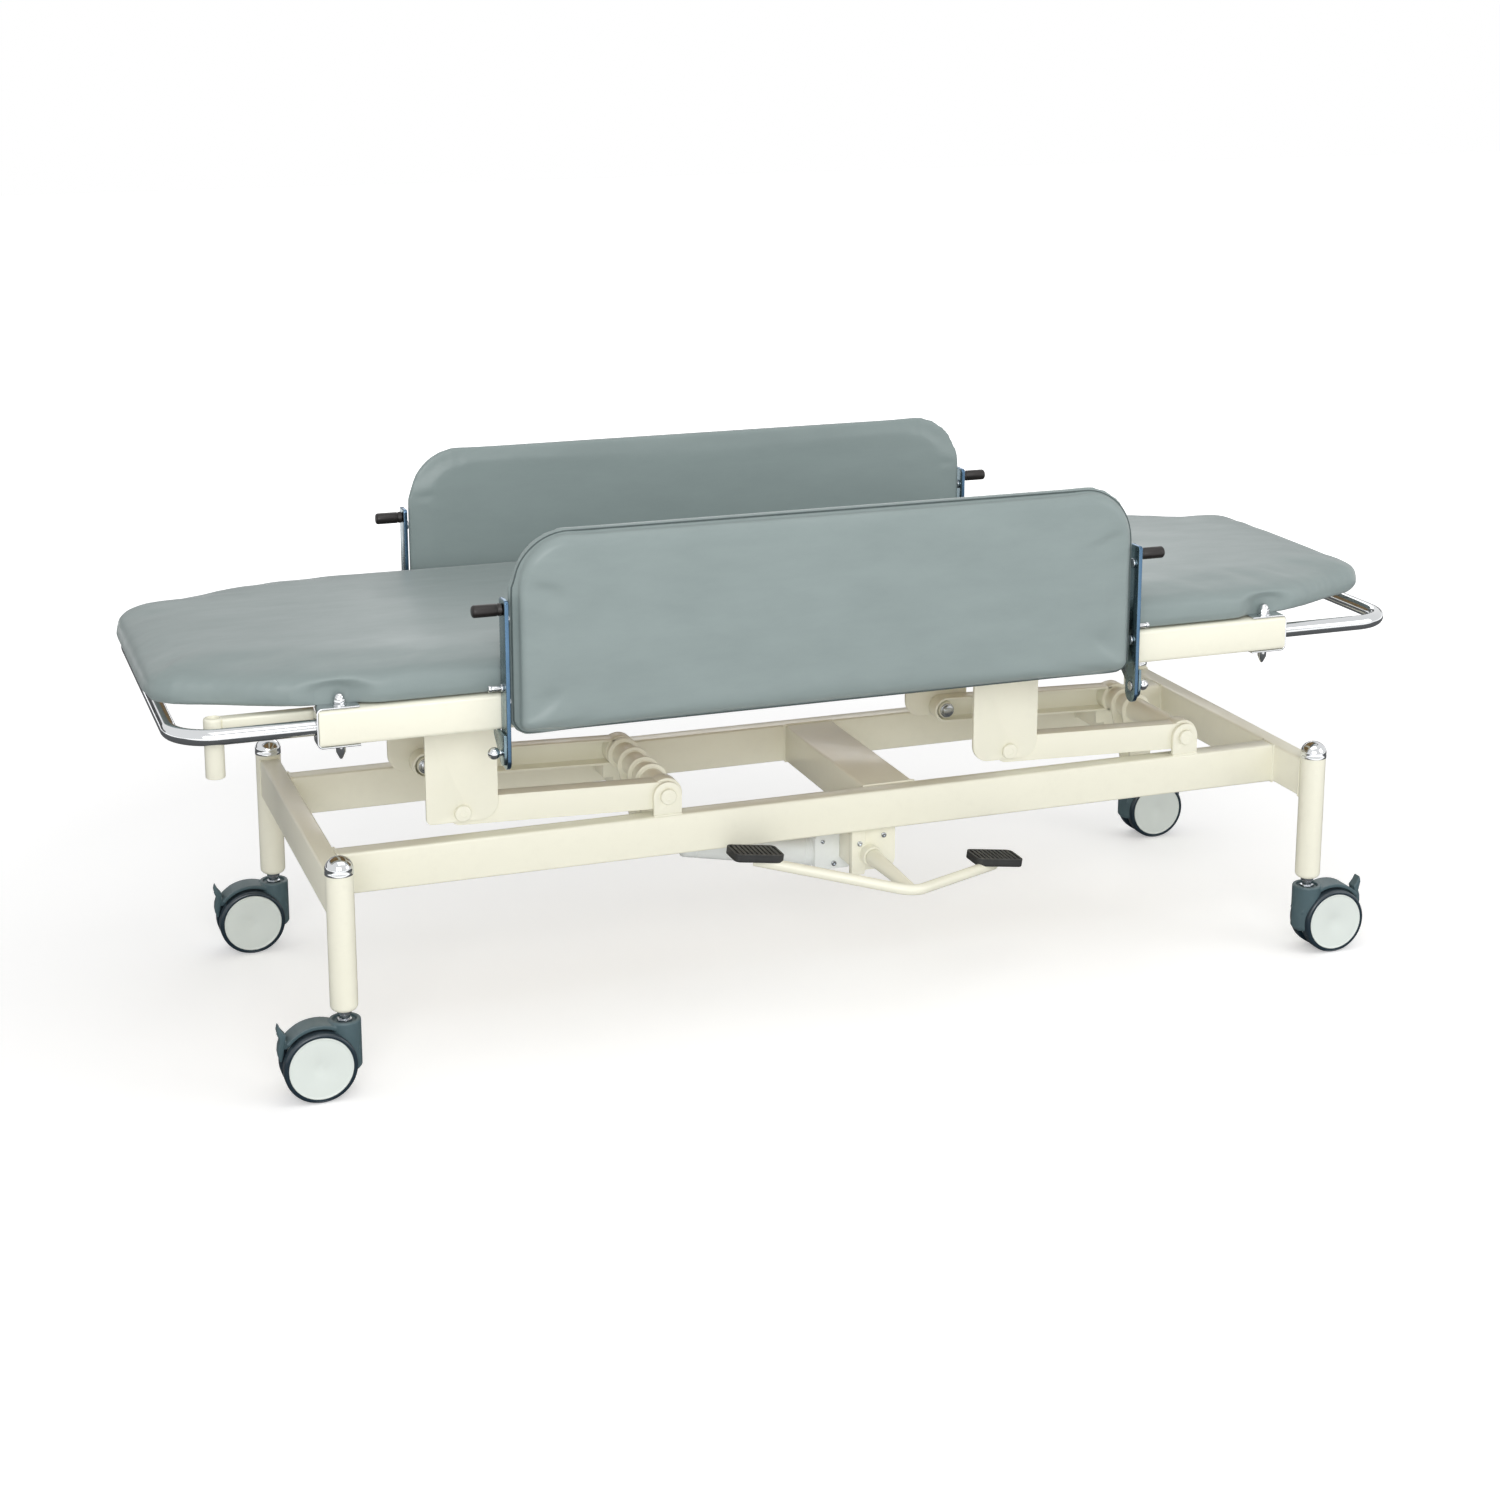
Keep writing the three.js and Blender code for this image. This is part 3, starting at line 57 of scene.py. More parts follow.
scene = bpy.context.scene


def pivot(name):
    """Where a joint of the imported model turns."""
    return Vector(joints[name]["pos_m"])


# %% [markdown]
# The camera stands where the photographer stood: in front of the near long side, a little to the
# left, and above the bed. Its place and its lens come from a fit of the model's corners to the
# photograph. A small upward shift keeps the legs close to upright, as a product photographer does.

# %% Camera
CAMERA_PLACE = Vector((-1.2865, -3.4756, 1.497))
CAMERA_HEADING = math.radians(-19.98)
CAMERA_PITCH = math.radians(12.78)
CAMERA_SHIFT = -0.14
FOCAL_LENGTH = 60.99

lens = bpy.data.cameras.new("camera")
lens.lens = FOCAL_LENGTH
lens.shift_y = CAMERA_SHIFT
camera = bpy.data.objects.new("camera", lens)
camera.location = CAMERA_PLACE
camera.rotation_euler = (math.pi / 2 - CAMERA_PITCH, 0, CAMERA_HEADING)
scene.collection.objects.link(camera)
scene.camera = camera
scene.view_settings.view_transform = "Standard"
print("camera", [round(value, 3) for value in camera.location])

# %% [markdown]
# A white studio: the sky is a plain dome, a large soft lamp stands in front of the near side, and
# weaker ones light the right end, the top and the back. Only the rays that show the background see it
# at full white, so the object itself stays at its own colours.

# %% World and lamps
DOME_LIGHT = 0.56
KEY_LIGHT = 118
FILL_LIGHT = 13
TOP_LIGHT = 14
BACK_LIGHT = 14


def background_rays(tree):
    """A mask that is 1 for the rays that see the background itself, in mirrors and glass too."""
    paths = tree.nodes.new("ShaderNodeLightPath")
    either = tree.nodes.new("ShaderNodeMath")
    either.operation = "MAXIMUM"
    tree.links.new(paths.outputs["Is Camera Ray"], either.inputs[0])
    tree.links.new(paths.outputs["Is Glossy Ray"], either.inputs[1])
    all_three = tree.nodes.new("ShaderNodeMath")
    all_three.operation = "MAXIMUM"
    tree.links.new(either.outputs[0], all_three.inputs[0])
    tree.links.new(paths.outputs["Is Transmission Ray"], all_three.inputs[1])
    return all_three.outputs[0]


world = bpy.data.worlds.new("studio")
scene.world = world
world.use_nodes = True
sky = world.node_tree
dome = sky.nodes["Background"]
strength = sky.nodes.new("ShaderNodeMapRange")
sky.links.new(background_rays(sky), strength.inputs["Value"])
strength.inputs["To Min"].default_value = DOME_LIGHT
strength.inputs["To Max"].default_value = 1
sky.links.new(strength.outputs["Result"], dome.inputs["Strength"])
dome.inputs["Color"].default_value = (1, 1, 1, 1)


def softbox(name, place, target, size, watts):
    lamp = bpy.data.lights.new(name, "AREA")
    lamp.shape = "RECTANGLE"
    lamp.size, lamp.size_y = size
    lamp.energy = watts
    holder = bpy.data.objects.new(name, lamp)
    holder.location = place
    holder.rotation_euler = (Vector(target) - Vector(place)).to_track_quat("-Z", "Y").to_euler()
    scene.collection.objects.link(holder)
    return holder


softbox("key_lamp", (-1.6, -4.9, 2.4), (0, 0, 0.4), (3.4, 2.4), KEY_LIGHT)
softbox("fill_lamp", (2.6, -1.9, 1.5), (0, 0, 0.4), (1.4, 1.4), FILL_LIGHT)
softbox("top_lamp", (0.1, -1.1, 3.0), (0, 0.2, 0.5), (2.6, 1.4), TOP_LIGHT)
softbox("back_lamp", (1.2, 3.2, 2.1), (0, 0, 0.4), (2.4, 1.4), BACK_LIGHT)
print("lamps", [lamp.name for lamp in bpy.data.lights])

# %% [markdown]
# Every shape below comes from a handful of mesh makers: a flat outline given thickness, a profile
# turned round an axis, a round bar along a path, and ready-made edges. Real metal has no knife edge,
# so nearly every piece gets a small bevel, and the bevel is what catches the light along an edge.


# %% Outlines
def arc(centre, radius, start, end, steps=8):
    """The points of a round stretch, with its angles in degrees."""
    turns = [math.radians(start + (end - start) * step / steps) for step in range(steps + 1)]
    return [(centre[0] + radius * math.cos(turn), centre[1] + radius * math.sin(turn)) for turn in turns]


def rounded(u, v, radii, steps=6):
    """A rectangle's outline with a radius at each corner, from the lower left one round."""
    corners = [(u[0], v[0], 1, 1), (u[1], v[0], -1, 1), (u[1], v[1], -1, -1), (u[0], v[1], 1, -1)]
    outline = []
    for turn, ((cu, cv, in_u, in_v), radius) in enumerate(zip(corners, radii)):
        start = 180 + 90 * turn
        if radius > 0:
            centre = (cu + in_u * radius, cv + in_v * radius)
            outline += arc(centre, radius, start, start + 90, steps)
        else:
            outline.append((cu, cv))
    return outline


def link(a, a_radius, b, b_radius, steps=14):
    """Two circles and the straight sides that touch both, as an arm or a lever plate has."""
    run = Vector(b) - Vector(a)
    along = math.degrees(math.atan2(run.y, run.x))
    lean = math.degrees(math.acos((a_radius - b_radius) / run.length))
    head = arc(b, b_radius, along - lean, along + lean, steps)
    return head + arc(a, a_radius, along + lean, along - lean + 360, steps)


def oriented(axis, u, v, w):
    """A point from its two flat places and its place along the axis."""
    return {"x": (w, u, v), "y": (u, w, v), "z": (u, v, w)}[axis]

# %% [markdown]
# Most of the stretcher is tube, plate and turned parts. Each could be a stock primitive with
# modifiers, but a bmesh built from an outline keeps the real sizes in plain sight, so that is the way
# here: extrude for plates, lathe for turned parts, sweep for bent bars.

# %% Mesh makers
def new_object(name, mesh_maker):
    mesh = bpy.data.meshes.new(name)
    bmesh.ops.recalc_face_normals(mesh_maker, faces=mesh_maker.faces)
    mesh_maker.to_mesh(mesh)
    mesh_maker.free()
    made = bpy.data.objects.new(name, mesh)
    scene.collection.objects.link(made)
    return made


def extrude(name, outline, axis, depth, holes=()):
    """A flat outline given its thickness along an axis. Each hole is an outline too."""
    shape = bmesh.new()
    for loop in [outline, *holes]:
        corners = [shape.verts.new(oriented(axis, u, v, depth[0])) for u, v in loop]
        for one, other in zip(corners, corners[1:] + corners[:1]):
            shape.edges.new((one, other))
    bmesh.ops.remove_doubles(shape, verts=shape.verts, dist=0.001 * mm)
    if holes:
        bmesh.ops.triangle_fill(shape, use_beauty=True, edges=shape.edges)
    else:
        bmesh.ops.contextual_create(shape, geom=shape.edges)
    grown = bmesh.ops.extrude_face_region(shape, geom=list(shape.faces))
    moved = [part for part in grown["geom"] if isinstance(part, bmesh.types.BMVert)]
    bmesh.ops.translate(shape, verts=moved, vec=oriented(axis, 0, 0, depth[1] - depth[0]))
    return new_object(name, shape)


def lathe(name, profile, axis, centre, steps=40):
    """A profile of (radius, place along the axis) turned about an axis through the centre."""
    shape = bmesh.new()
    rings = []
    for radius, along in profile:
        count = steps if radius > 0 else 1
        turns = [2 * math.pi * step / steps for step in range(count)]
        spots = [oriented(axis, radius * math.cos(turn), radius * math.sin(turn), along) for turn in turns]
        rings.append([shape.verts.new(Vector(spot) + Vector(centre)) for spot in spots])
    for low, high in zip(rings, rings[1:]):
        for step in range(steps):
            after = (step + 1) % steps
            if len(low) == 1 and len(high) == 1:
                continue
            if len(low) == 1:
                shape.faces.new((low[0], high[step], high[after]))
            elif len(high) == 1:
                shape.faces.new((low[step], low[after], high[0]))
            else:
                shape.faces.new((low[step], low[after], high[after], high[step]))
    bmesh.ops.remove_doubles(shape, verts=shape.verts, dist=0.001 * mm)
    return new_object(name, shape)

# %% [markdown]
# A bent bar is a ring of points carried along a path. A curve object with a bevel would look the
# same, but a mesh made directly can be cut, joined and measured like all the others.

# %% Bars along a path
def sweep(name, path, radius, sides=24):
    """A round bar along a path of points, closed at both ends."""
    shape = bmesh.new()
    headings = []
    for before, after in zip([path[0], *path[:-1]], [*path[1:], path[-1]]):
        headings.append((after - before).normalized())
    side = headings[0].orthogonal().normalized()
    rings = []
    for spot, heading in zip(path, headings):
        side = (side - heading * side.dot(heading)).normalized()
        up = heading.cross(side)
        turns = [2 * math.pi * step / sides for step in range(sides)]
        ring = [spot + (side * math.cos(turn) + up * math.sin(turn)) * radius for turn in turns]
        rings.append([shape.verts.new(point) for point in ring])
    for low, high in zip(rings, rings[1:]):
        for step in range(sides):
            after = (step + 1) % sides
            shape.faces.new((low[step], low[after], high[after], high[step]))
    shape.faces.new(rings[0])
    shape.faces.new(rings[-1])
    return new_object(name, shape)


def bent(corners, radius, steps=12):
    """A path of straight runs with a round bend at each inner corner."""
    path = [corners[0]]
    for before, corner, after in zip(corners, corners[1:], corners[2:]):
        enter = (corner - before).normalized()
        leave = (after - corner).normalized()
        turn = enter.angle(leave)
        across = (leave - enter * enter.dot(leave)).normalized()
        start = corner - enter * radius * math.tan(turn / 2)
        for step in range(steps + 1):
            angle = turn * step / steps
            path.append(start + enter * radius * math.sin(angle) + across * radius * (1 - math.cos(angle)))
    return [*path, corners[-1]]

# %% [markdown]
# No real edge is knife sharp, and a rounded one catches the light. A bevel modifier rounds the sharp
# edges here, a boolean cuts the holes, and both are made part of the mesh at once.

# %% Edges and joining
def settled(piece):
    """The piece with its modifiers made part of its mesh."""
    graph = bpy.context.evaluated_depsgraph_get()
    mesh = bpy.data.meshes.new_from_object(piece.evaluated_get(graph))
    piece.modifiers.clear()
    piece.data = mesh
    return piece


def eased(piece, width, segments=2, angle=30):
    """The piece with its sharp edges rounded off."""
    bevel = piece.modifiers.new("edges", "BEVEL")
    bevel.width = width
    bevel.segments = segments
    bevel.limit_method = "ANGLE"
    bevel.angle_limit = math.radians(angle)
    return smooth(settled(piece))


def carved(piece, *tools):
    """The piece with other pieces cut away from it."""
    for tool in tools:
        cutter = piece.modifiers.new(tool.name, "BOOLEAN")
        cutter.operation = "DIFFERENCE"
        cutter.solver = "EXACT"
        cutter.object = tool
    settled(piece)
    for tool in tools:
        bpy.data.objects.remove(tool)
    return piece


def smooth(piece, angle=38):
    piece.data.shade_smooth()
    piece.data.set_sharp_from_angle(angle=math.radians(angle))
    return piece

# %% [markdown]
# Pieces that move as one are joined and given to the body that carries them.

# %% Joining and riding
def joined(name, pieces):
    """Several pieces as one object, each with its own finish."""
    first = pieces[0]
    with bpy.context.temp_override(active_object=first, object=first,
                                   selected_objects=pieces, selected_editable_objects=pieces):
        bpy.ops.object.join()
    first.name = name
    first.data.name = name
    return first


def painted(piece, material):
    piece.data.materials.clear()
    piece.data.materials.append(material)
    return piece


def moved(piece, matrix):
    """The piece's mesh put in another place, its object staying at the origin."""
    piece.data.transform(matrix)
    if matrix.determinant() < 0:
        piece.data.flip_normals()
    return piece


def copied(piece, name, matrix):
    twin = bpy.data.objects.new(name, piece.data.copy())
    scene.collection.objects.link(twin)
    return moved(twin, matrix)


made = []


carrier = {node: body for body, nodes in frame["record"]["behaviour"]["bodies"].items() for node in nodes}


def fitted(piece, slot, *nodes):
    """Puts a finished piece on the body of the plain nodes that it stands for, in their place."""
    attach(piece, carrier[nodes[0]])
    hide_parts(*nodes)
    made.append(piece)
    return piece


# %% [markdown]
# Finishes. The same few effects show on paint, plastic, rubber, chrome and vinyl alike: the colour
# drifts a little, the surface has a fine grain, edges wear, and dust settles on what faces up. Each
# effect is a node group with named inputs, built once here and placed in each material with its own
# values.


# %% Node helpers
def place(tree, kind, links=(), **values):
    """A new node, with its properties and unlinked sockets set, and its inputs wired."""
    node = tree.nodes.new(kind)
    for label, value in values.items():
        if hasattr(node, label):
            setattr(node, label, value)
    for label, source in dict(links).items():
        if isinstance(source, bpy.types.NodeSocket):
            tree.links.new(source, node.inputs[label])
        else:
            node.inputs[label].default_value = source
    return node


def effect(name, inputs, outputs):
    """An empty node group with its sockets, and the two nodes that its inside starts and ends with."""
    tree = bpy.data.node_groups.new(name, "ShaderNodeTree")
    for label, value in inputs.items():
        kind = "NodeSocketColor" if isinstance(value, tuple) else "NodeSocketFloat"
        tree.interface.new_socket(label, in_out="INPUT", socket_type=kind).default_value = value
    for label, kind in outputs.items():
        tree.interface.new_socket(label, in_out="OUTPUT", socket_type=kind)
    return tree, tree.nodes.new("NodeGroupInput").outputs, tree.nodes.new("NodeGroupOutput").inputs


def linear(red, green, blue):
    """A colour read in a picture as the linear colour that a shader takes."""
    shares = [value / 255 for value in (red, green, blue)]
    curve = [share / 12.92 if share <= 0.04045 else ((share + 0.055) / 1.055) ** 2.4 for share in shares]
    return (*curve, 1.0)

# %% [markdown]
# No sprayed or rolled surface has one exact colour. A slow noise lightens and darkens it a little.
# It is a group, because nearly every finish uses it with another spread.

# %% Colour drift
drift, given, result = effect("colour_drift", {"Color": (0.8, 0.8, 0.8, 1), "Spread": 0.1, "Scale": 6.0},
                              {"Color": "NodeSocketColor", "Value": "NodeSocketFloat"})
spot = place(drift, "ShaderNodeTexCoord")
clouds = place(drift, "ShaderNodeTexNoise", {"Vector": spot.outputs["Object"], "Scale": given["Scale"],
                                             "Detail": 5.0, "Roughness": 0.6})
darkest = place(drift, "ShaderNodeMath", {0: 1.0, 1: given["Spread"]}, operation="SUBTRACT")
lightest = place(drift, "ShaderNodeMath", {0: 1.0, 1: given["Spread"]}, operation="ADD")
shade = place(drift, "ShaderNodeMapRange", {"Value": clouds.outputs["Fac"], "From Min": 0.3,
                                            "From Max": 0.7,
                                            "To Min": darkest.outputs[0], "To Max": lightest.outputs[0]})
tint = place(drift, "ShaderNodeVectorMath", {0: given["Color"], 1: shade.outputs["Result"]},
             operation="MULTIPLY")
drift.links.new(tint.outputs["Vector"], result["Color"])
drift.links.new(clouds.outputs["Fac"], result["Value"])

# %% [markdown]
# Powder coat has a fine orange peel, plastic a fine erosion grain and steel faint brushing. Two
# layers of noise give one height for all of them, set by scale and coarseness.

# %% Fine grain
grain, given, result = effect("fine_grain", {"Scale": 900.0, "Coarse": 0.5},
                              {"Height": "NodeSocketFloat", "Value": "NodeSocketFloat"})
spot = place(grain, "ShaderNodeTexCoord")
fine = place(grain, "ShaderNodeTexNoise", {"Vector": spot.outputs["Object"], "Scale": given["Scale"],
                                           "Detail": 2.0, "Roughness": 0.5})
wide = place(grain, "ShaderNodeMath", {0: given["Scale"], 1: 0.02}, operation="MULTIPLY")
waves = place(grain, "ShaderNodeTexNoise", {"Vector": spot.outputs["Object"], "Scale": wide.outputs[0],
                                            "Detail": 3.0, "Roughness": 0.5})
both = place(grain, "ShaderNodeMix", {"Factor": given["Coarse"], "A": fine.outputs["Fac"],
                                      "B": waves.outputs["Fac"]})
grain.links.new(both.outputs["Result"], result["Height"])
grain.links.new(waves.outputs["Fac"], result["Value"])

# %% [markdown]
# Corners rub bright first. Painting a mask by hand would be slow for so many parts, so the mesh's pointiness marks
# the edges, and a noise breaks the line up.

# %% Edge wear
wear, given, result = effect("edge_wear", {"Amount": 0.5, "Scale": 60.0}, {"Mask": "NodeSocketFloat"})
spot = place(wear, "ShaderNodeTexCoord")
shape_of_edge = place(wear, "ShaderNodeNewGeometry")
edge = place(wear, "ShaderNodeMapRange", {"Value": shape_of_edge.outputs["Pointiness"], "From Min": 0.52,
                                          "From Max": 0.62, "To Min": 0.0, "To Max": 1.0})
patches = place(wear, "ShaderNodeTexNoise", {"Vector": spot.outputs["Object"], "Scale": given["Scale"],
                                             "Detail": 6.0, "Roughness": 0.7})
broken = place(wear, "ShaderNodeMapRange", {"Value": patches.outputs["Fac"], "From Min": 0.5,
                                            "From Max": 0.66, "To Min": 0.0, "To Max": 1.0})
torn = place(wear, "ShaderNodeMath", {0: edge.outputs["Result"], 1: broken.outputs["Result"]},
             operation="MULTIPLY")
amount = place(wear, "ShaderNodeMath", {0: torn.outputs[0], 1: given["Amount"]}, operation="MULTIPLY",
               use_clamp=True)
wear.links.new(amount.outputs[0], result["Mask"])

# %% [markdown]
# Dust lies where a surface faces up. The mask takes the upward part of the normal and scatters it
# with noise, and each finish picks its own amount.

# %% Settled dust
dust, given, result = effect("settled_dust", {"Amount": 0.2, "Scale": 14.0}, {"Mask": "NodeSocketFloat"})
spot = place(dust, "ShaderNodeTexCoord")
facing = place(dust, "ShaderNodeNewGeometry")
parts = place(dust, "ShaderNodeSeparateXYZ", {"Vector": facing.outputs["Normal"]})
upward = place(dust, "ShaderNodeMapRange", {"Value": parts.outputs["Z"], "From Min": 0.3, "From Max": 1.0,
                                            "To Min": 0.0, "To Max": 1.0})
drifts = place(dust, "ShaderNodeTexNoise", {"Vector": spot.outputs["Object"], "Scale": given["Scale"],
                                            "Detail": 8.0, "Roughness": 0.75})
settled_part = place(dust, "ShaderNodeMath", {0: upward.outputs["Result"], 1: drifts.outputs["Fac"]},
                     operation="MULTIPLY")
amount = place(dust, "ShaderNodeMath", {0: settled_part.outputs[0], 1: given["Amount"]},
               operation="MULTIPLY", use_clamp=True)
dust.links.new(amount.outputs[0], result["Mask"])
print("effects", [tree.name for tree in (drift, grain, wear, dust)])

# %% [markdown]
# One function mixes those effects into a finish, because paint, plastic, rubber and plated steel
# differ in their values and not in how they are made up. The Principled shader stays in the material
# itself, with the numbers that are the same all over set on its own sockets.

# %% Hard finishes
WORN_BARE = linear(196, 190, 176)
DUST_GREY = linear(205, 203, 196)


def finish(name, colour, roughness, metallic=0.0, spread=0.03, patch=5.0, grain_scale=900.0,
           coarse=0.5, depth=0.02 * mm, wear_amount=0.3, worn=WORN_BARE, dust_amount=0.12, gloss=0.0):
    material = bpy.data.materials.new(name)
    material.use_nodes = True
    tree = material.node_tree
    shader = tree.nodes["Principled BSDF"]
    shader.inputs["Metallic"].default_value = metallic
    shader.inputs["Coat Weight"].default_value = gloss
    shader.inputs["Coat Roughness"].default_value = 0.12
    colours = place(tree, "ShaderNodeGroup", node_tree=drift)
    colours.inputs["Color"].default_value = colour
    colours.inputs["Spread"].default_value = spread
    colours.inputs["Scale"].default_value = patch
    rubbed = place(tree, "ShaderNodeGroup", node_tree=wear)
    rubbed.inputs["Amount"].default_value = wear_amount
    laid = place(tree, "ShaderNodeGroup", node_tree=dust)
    laid.inputs["Amount"].default_value = dust_amount
    skin = place(tree, "ShaderNodeGroup", node_tree=grain)
    skin.inputs["Scale"].default_value = grain_scale
    skin.inputs["Coarse"].default_value = coarse
    bare = mixed(tree, rubbed.outputs["Mask"], colours.outputs["Color"], worn)
    tree.links.new(mixed(tree, laid.outputs["Mask"], bare, DUST_GREY), shader.inputs["Base Color"])
    dull = place(tree, "ShaderNodeMapRange", {"Value": skin.outputs["Value"], "From Min": 0.35,
                                              "From Max": 0.65, "To Min": roughness * 0.85,
                                              "To Max": roughness * 1.15})
    dusty = place(tree, "ShaderNodeMath", {0: laid.outputs["Mask"], 1: dull.outputs["Result"]},
                  operation="ADD", use_clamp=True)
    tree.links.new(dusty.outputs[0], shader.inputs["Roughness"])
    bump = place(tree, "ShaderNodeBump", {"Height": skin.outputs["Height"], "Strength": 1.0,
                                          "Distance": depth})
    tree.links.new(bump.outputs["Normal"], shader.inputs["Normal"])
    return material


def mixed(tree, mask, under, over):
    """One colour over another, where the mask says."""
    node = tree.nodes.new("ShaderNodeMix")
    node.data_type = "RGBA"
    tree.links.new(mask, node.inputs["Factor"])
    for label, source in (("A", under), ("B", over)):
        socket = [entry for entry in node.inputs if entry.name == label and entry.type == "RGBA"][0]
        if isinstance(source, bpy.types.NodeSocket):
            tree.links.new(source, socket)
        else:
            socket.default_value = source
    return [entry for entry in node.outputs if entry.type == "RGBA"][0]

# %% [markdown]
# One line for each finish that the photograph shows: its colour, its gloss, and how strong drift,
# grain, wear and dust are on it.

# %% Paints, metals and plastics
cream = finish("cream_powder_coat", linear(242, 240, 222), 0.36, spread=0.012, grain_scale=1400.0,
               coarse=0.25, depth=0.03 * mm, wear_amount=0.12, dust_amount=0.0, gloss=0.25)
pump_paint = finish("off_white_paint", linear(240, 244, 242), 0.34, grain_scale=700.0, depth=0.05 * mm,
                    gloss=0.3)
chrome = finish("chrome_plate", linear(214, 216, 218), 0.07, metallic=1.0, spread=0.02, wear_amount=0.1,
                dust_amount=0.03, depth=0.004 * mm)
plated = finish("blue_plated_steel", linear(118, 138, 146), 0.26, metallic=1.0, spread=0.06, patch=30.0,
                grain_scale=2600.0, depth=0.008 * mm, wear_amount=0.35, worn=linear(168, 182, 194),
                dust_amount=0.04)
# A bluer, darker copy of the plated steel for the guard bars' rounded edges: a painted reflection, not a different
# metal.
painted_edge_reflection = finish("painted_reflection_edge_steel", linear(84, 112, 138), 0.22, metallic=1.0, spread=0.08, patch=30.0,
                    grain_scale=2600.0, depth=0.008 * mm, wear_amount=0.4, worn=linear(168, 190, 208),
                    dust_amount=0.02)
bright_steel = finish("bright_steel", linear(196, 200, 205), 0.22, metallic=1.0, wear_amount=0.2,
                      dust_amount=0.05, depth=0.008 * mm)
plastic = finish("slate_plastic", linear(76, 97, 103), 0.4, spread=0.06, patch=25.0, grain_scale=2200.0,
                 coarse=0.2, depth=0.05 * mm, wear_amount=0.25, worn=linear(128, 142, 146))
tread = finish("navy_tread", linear(26, 44, 55), 0.34, spread=0.08, patch=30.0, grain_scale=1500.0,
               depth=0.03 * mm, wear_amount=0.2, worn=linear(62, 78, 88), dust_amount=0.06, gloss=0.3)
pale_plastic = finish("pale_disc_plastic", linear(222, 229, 224), 0.38, spread=0.02, grain_scale=1600.0,
                      depth=0.02 * mm, wear_amount=0.1)
black_rubber = finish("black_rubber", linear(44, 45, 45), 0.62, spread=0.12, patch=40.0,
                      grain_scale=1800.0, depth=0.08 * mm, worn=linear(112, 112, 108), dust_amount=0.14)
grip_plastic = finish("dark_grip", linear(20, 13, 11), 0.46, spread=0.1, patch=50.0, grain_scale=1500.0,
                      depth=0.03 * mm, worn=linear(50, 40, 36), dust_amount=0.0, gloss=0.05)
# The seam's thread is real, but its dark colour is painted shade: it stands for the shadow in the seam's groove.
seam_thread_painted_shade = finish("seam_thread_painted_shade", linear(78, 90, 90), 0.6, grain_scale=2400.0, wear_amount=0.0,
                     dust_amount=0.0)
ply = finish("plywood_board", linear(170, 140, 98), 0.7, spread=0.18, patch=9.0, grain_scale=300.0,
             coarse=0.6, depth=0.15 * mm, worn=linear(198, 172, 132))

# %% [markdown]
# The covers are soft vinyl leather over foam. Close up it has a pebbled grain of about a millimetre;
# from a step away it shows as faint clouds that stretch along the cloth, and as shallow creases
# where the cover was pulled over an edge. Grain and creases are both height, so they share a bump.

# %% Vinyl leather
VINYL_COLOUR = linear(139, 152, 151)
VINYL_DARK = linear(134, 147, 146)
PEBBLE = 1300.0
PEBBLE_DEPTH = 0.07 * mm
CREASE_DEPTH = 0.35 * mm

vinyl = bpy.data.materials.new("vinyl_leather")
vinyl.use_nodes = True
tree = vinyl.node_tree
cover = tree.nodes["Principled BSDF"]
cover.inputs["Sheen Weight"].default_value = 0.12
cover.inputs["Sheen Roughness"].default_value = 0.4
cover.inputs["Specular IOR Level"].default_value = 0.42
cover.inputs["Coat Weight"].default_value = 0.1
cover.inputs["Coat Roughness"].default_value = 0.22
spot = place(tree, "ShaderNodeTexCoord")
pulled = place(tree, "ShaderNodeMapping", {"Vector": spot.outputs["Object"], "Scale": (0.35, 1.0, 1.0)})
streaks = place(tree, "ShaderNodeTexNoise", {"Vector": pulled.outputs["Vector"], "Scale": 22.0,
                                             "Detail": 7.0, "Roughness": 0.62})
stretch = place(tree, "ShaderNodeMapRange", {"Value": streaks.outputs["Fac"], "From Min": 0.36,
                                             "From Max": 0.64, "To Min": 0.0, "To Max": 1.0})
clouded = mixed(tree, stretch.outputs["Result"], VINYL_DARK, VINYL_COLOUR)
laid = place(tree, "ShaderNodeGroup", node_tree=dust)
laid.inputs["Amount"].default_value = 0.03
tree.links.new(mixed(tree, laid.outputs["Mask"], clouded, DUST_GREY), cover.inputs["Base Color"])
gloss_map = place(tree, "ShaderNodeMapRange", {"Value": streaks.outputs["Fac"], "From Min": 0.3,
                                               "From Max": 0.7, "To Min": 0.5, "To Max": 0.38})
tree.links.new(gloss_map.outputs["Result"], cover.inputs["Roughness"])
pebbles = place(tree, "ShaderNodeTexVoronoi", {"Vector": spot.outputs["Object"], "Scale": PEBBLE},
                feature="SMOOTH_F1")
creases = place(tree, "ShaderNodeTexNoise", {"Vector": pulled.outputs["Vector"], "Scale": 9.0,
                                             "Detail": 4.0, "Roughness": 0.55, "Distortion": 0.6})
soft_bump = place(tree, "ShaderNodeBump", {"Height": creases.outputs["Fac"], "Strength": 0.5,
                                           "Distance": CREASE_DEPTH})
pebble_bump = place(tree, "ShaderNodeBump", {"Height": pebbles.outputs["Distance"], "Strength": 0.6,
                                             "Distance": PEBBLE_DEPTH,
                                             "Normal": soft_bump.outputs["Normal"]})
tree.links.new(pebble_bump.outputs["Normal"], cover.inputs["Normal"])
print("finishes", len(bpy.data.materials))
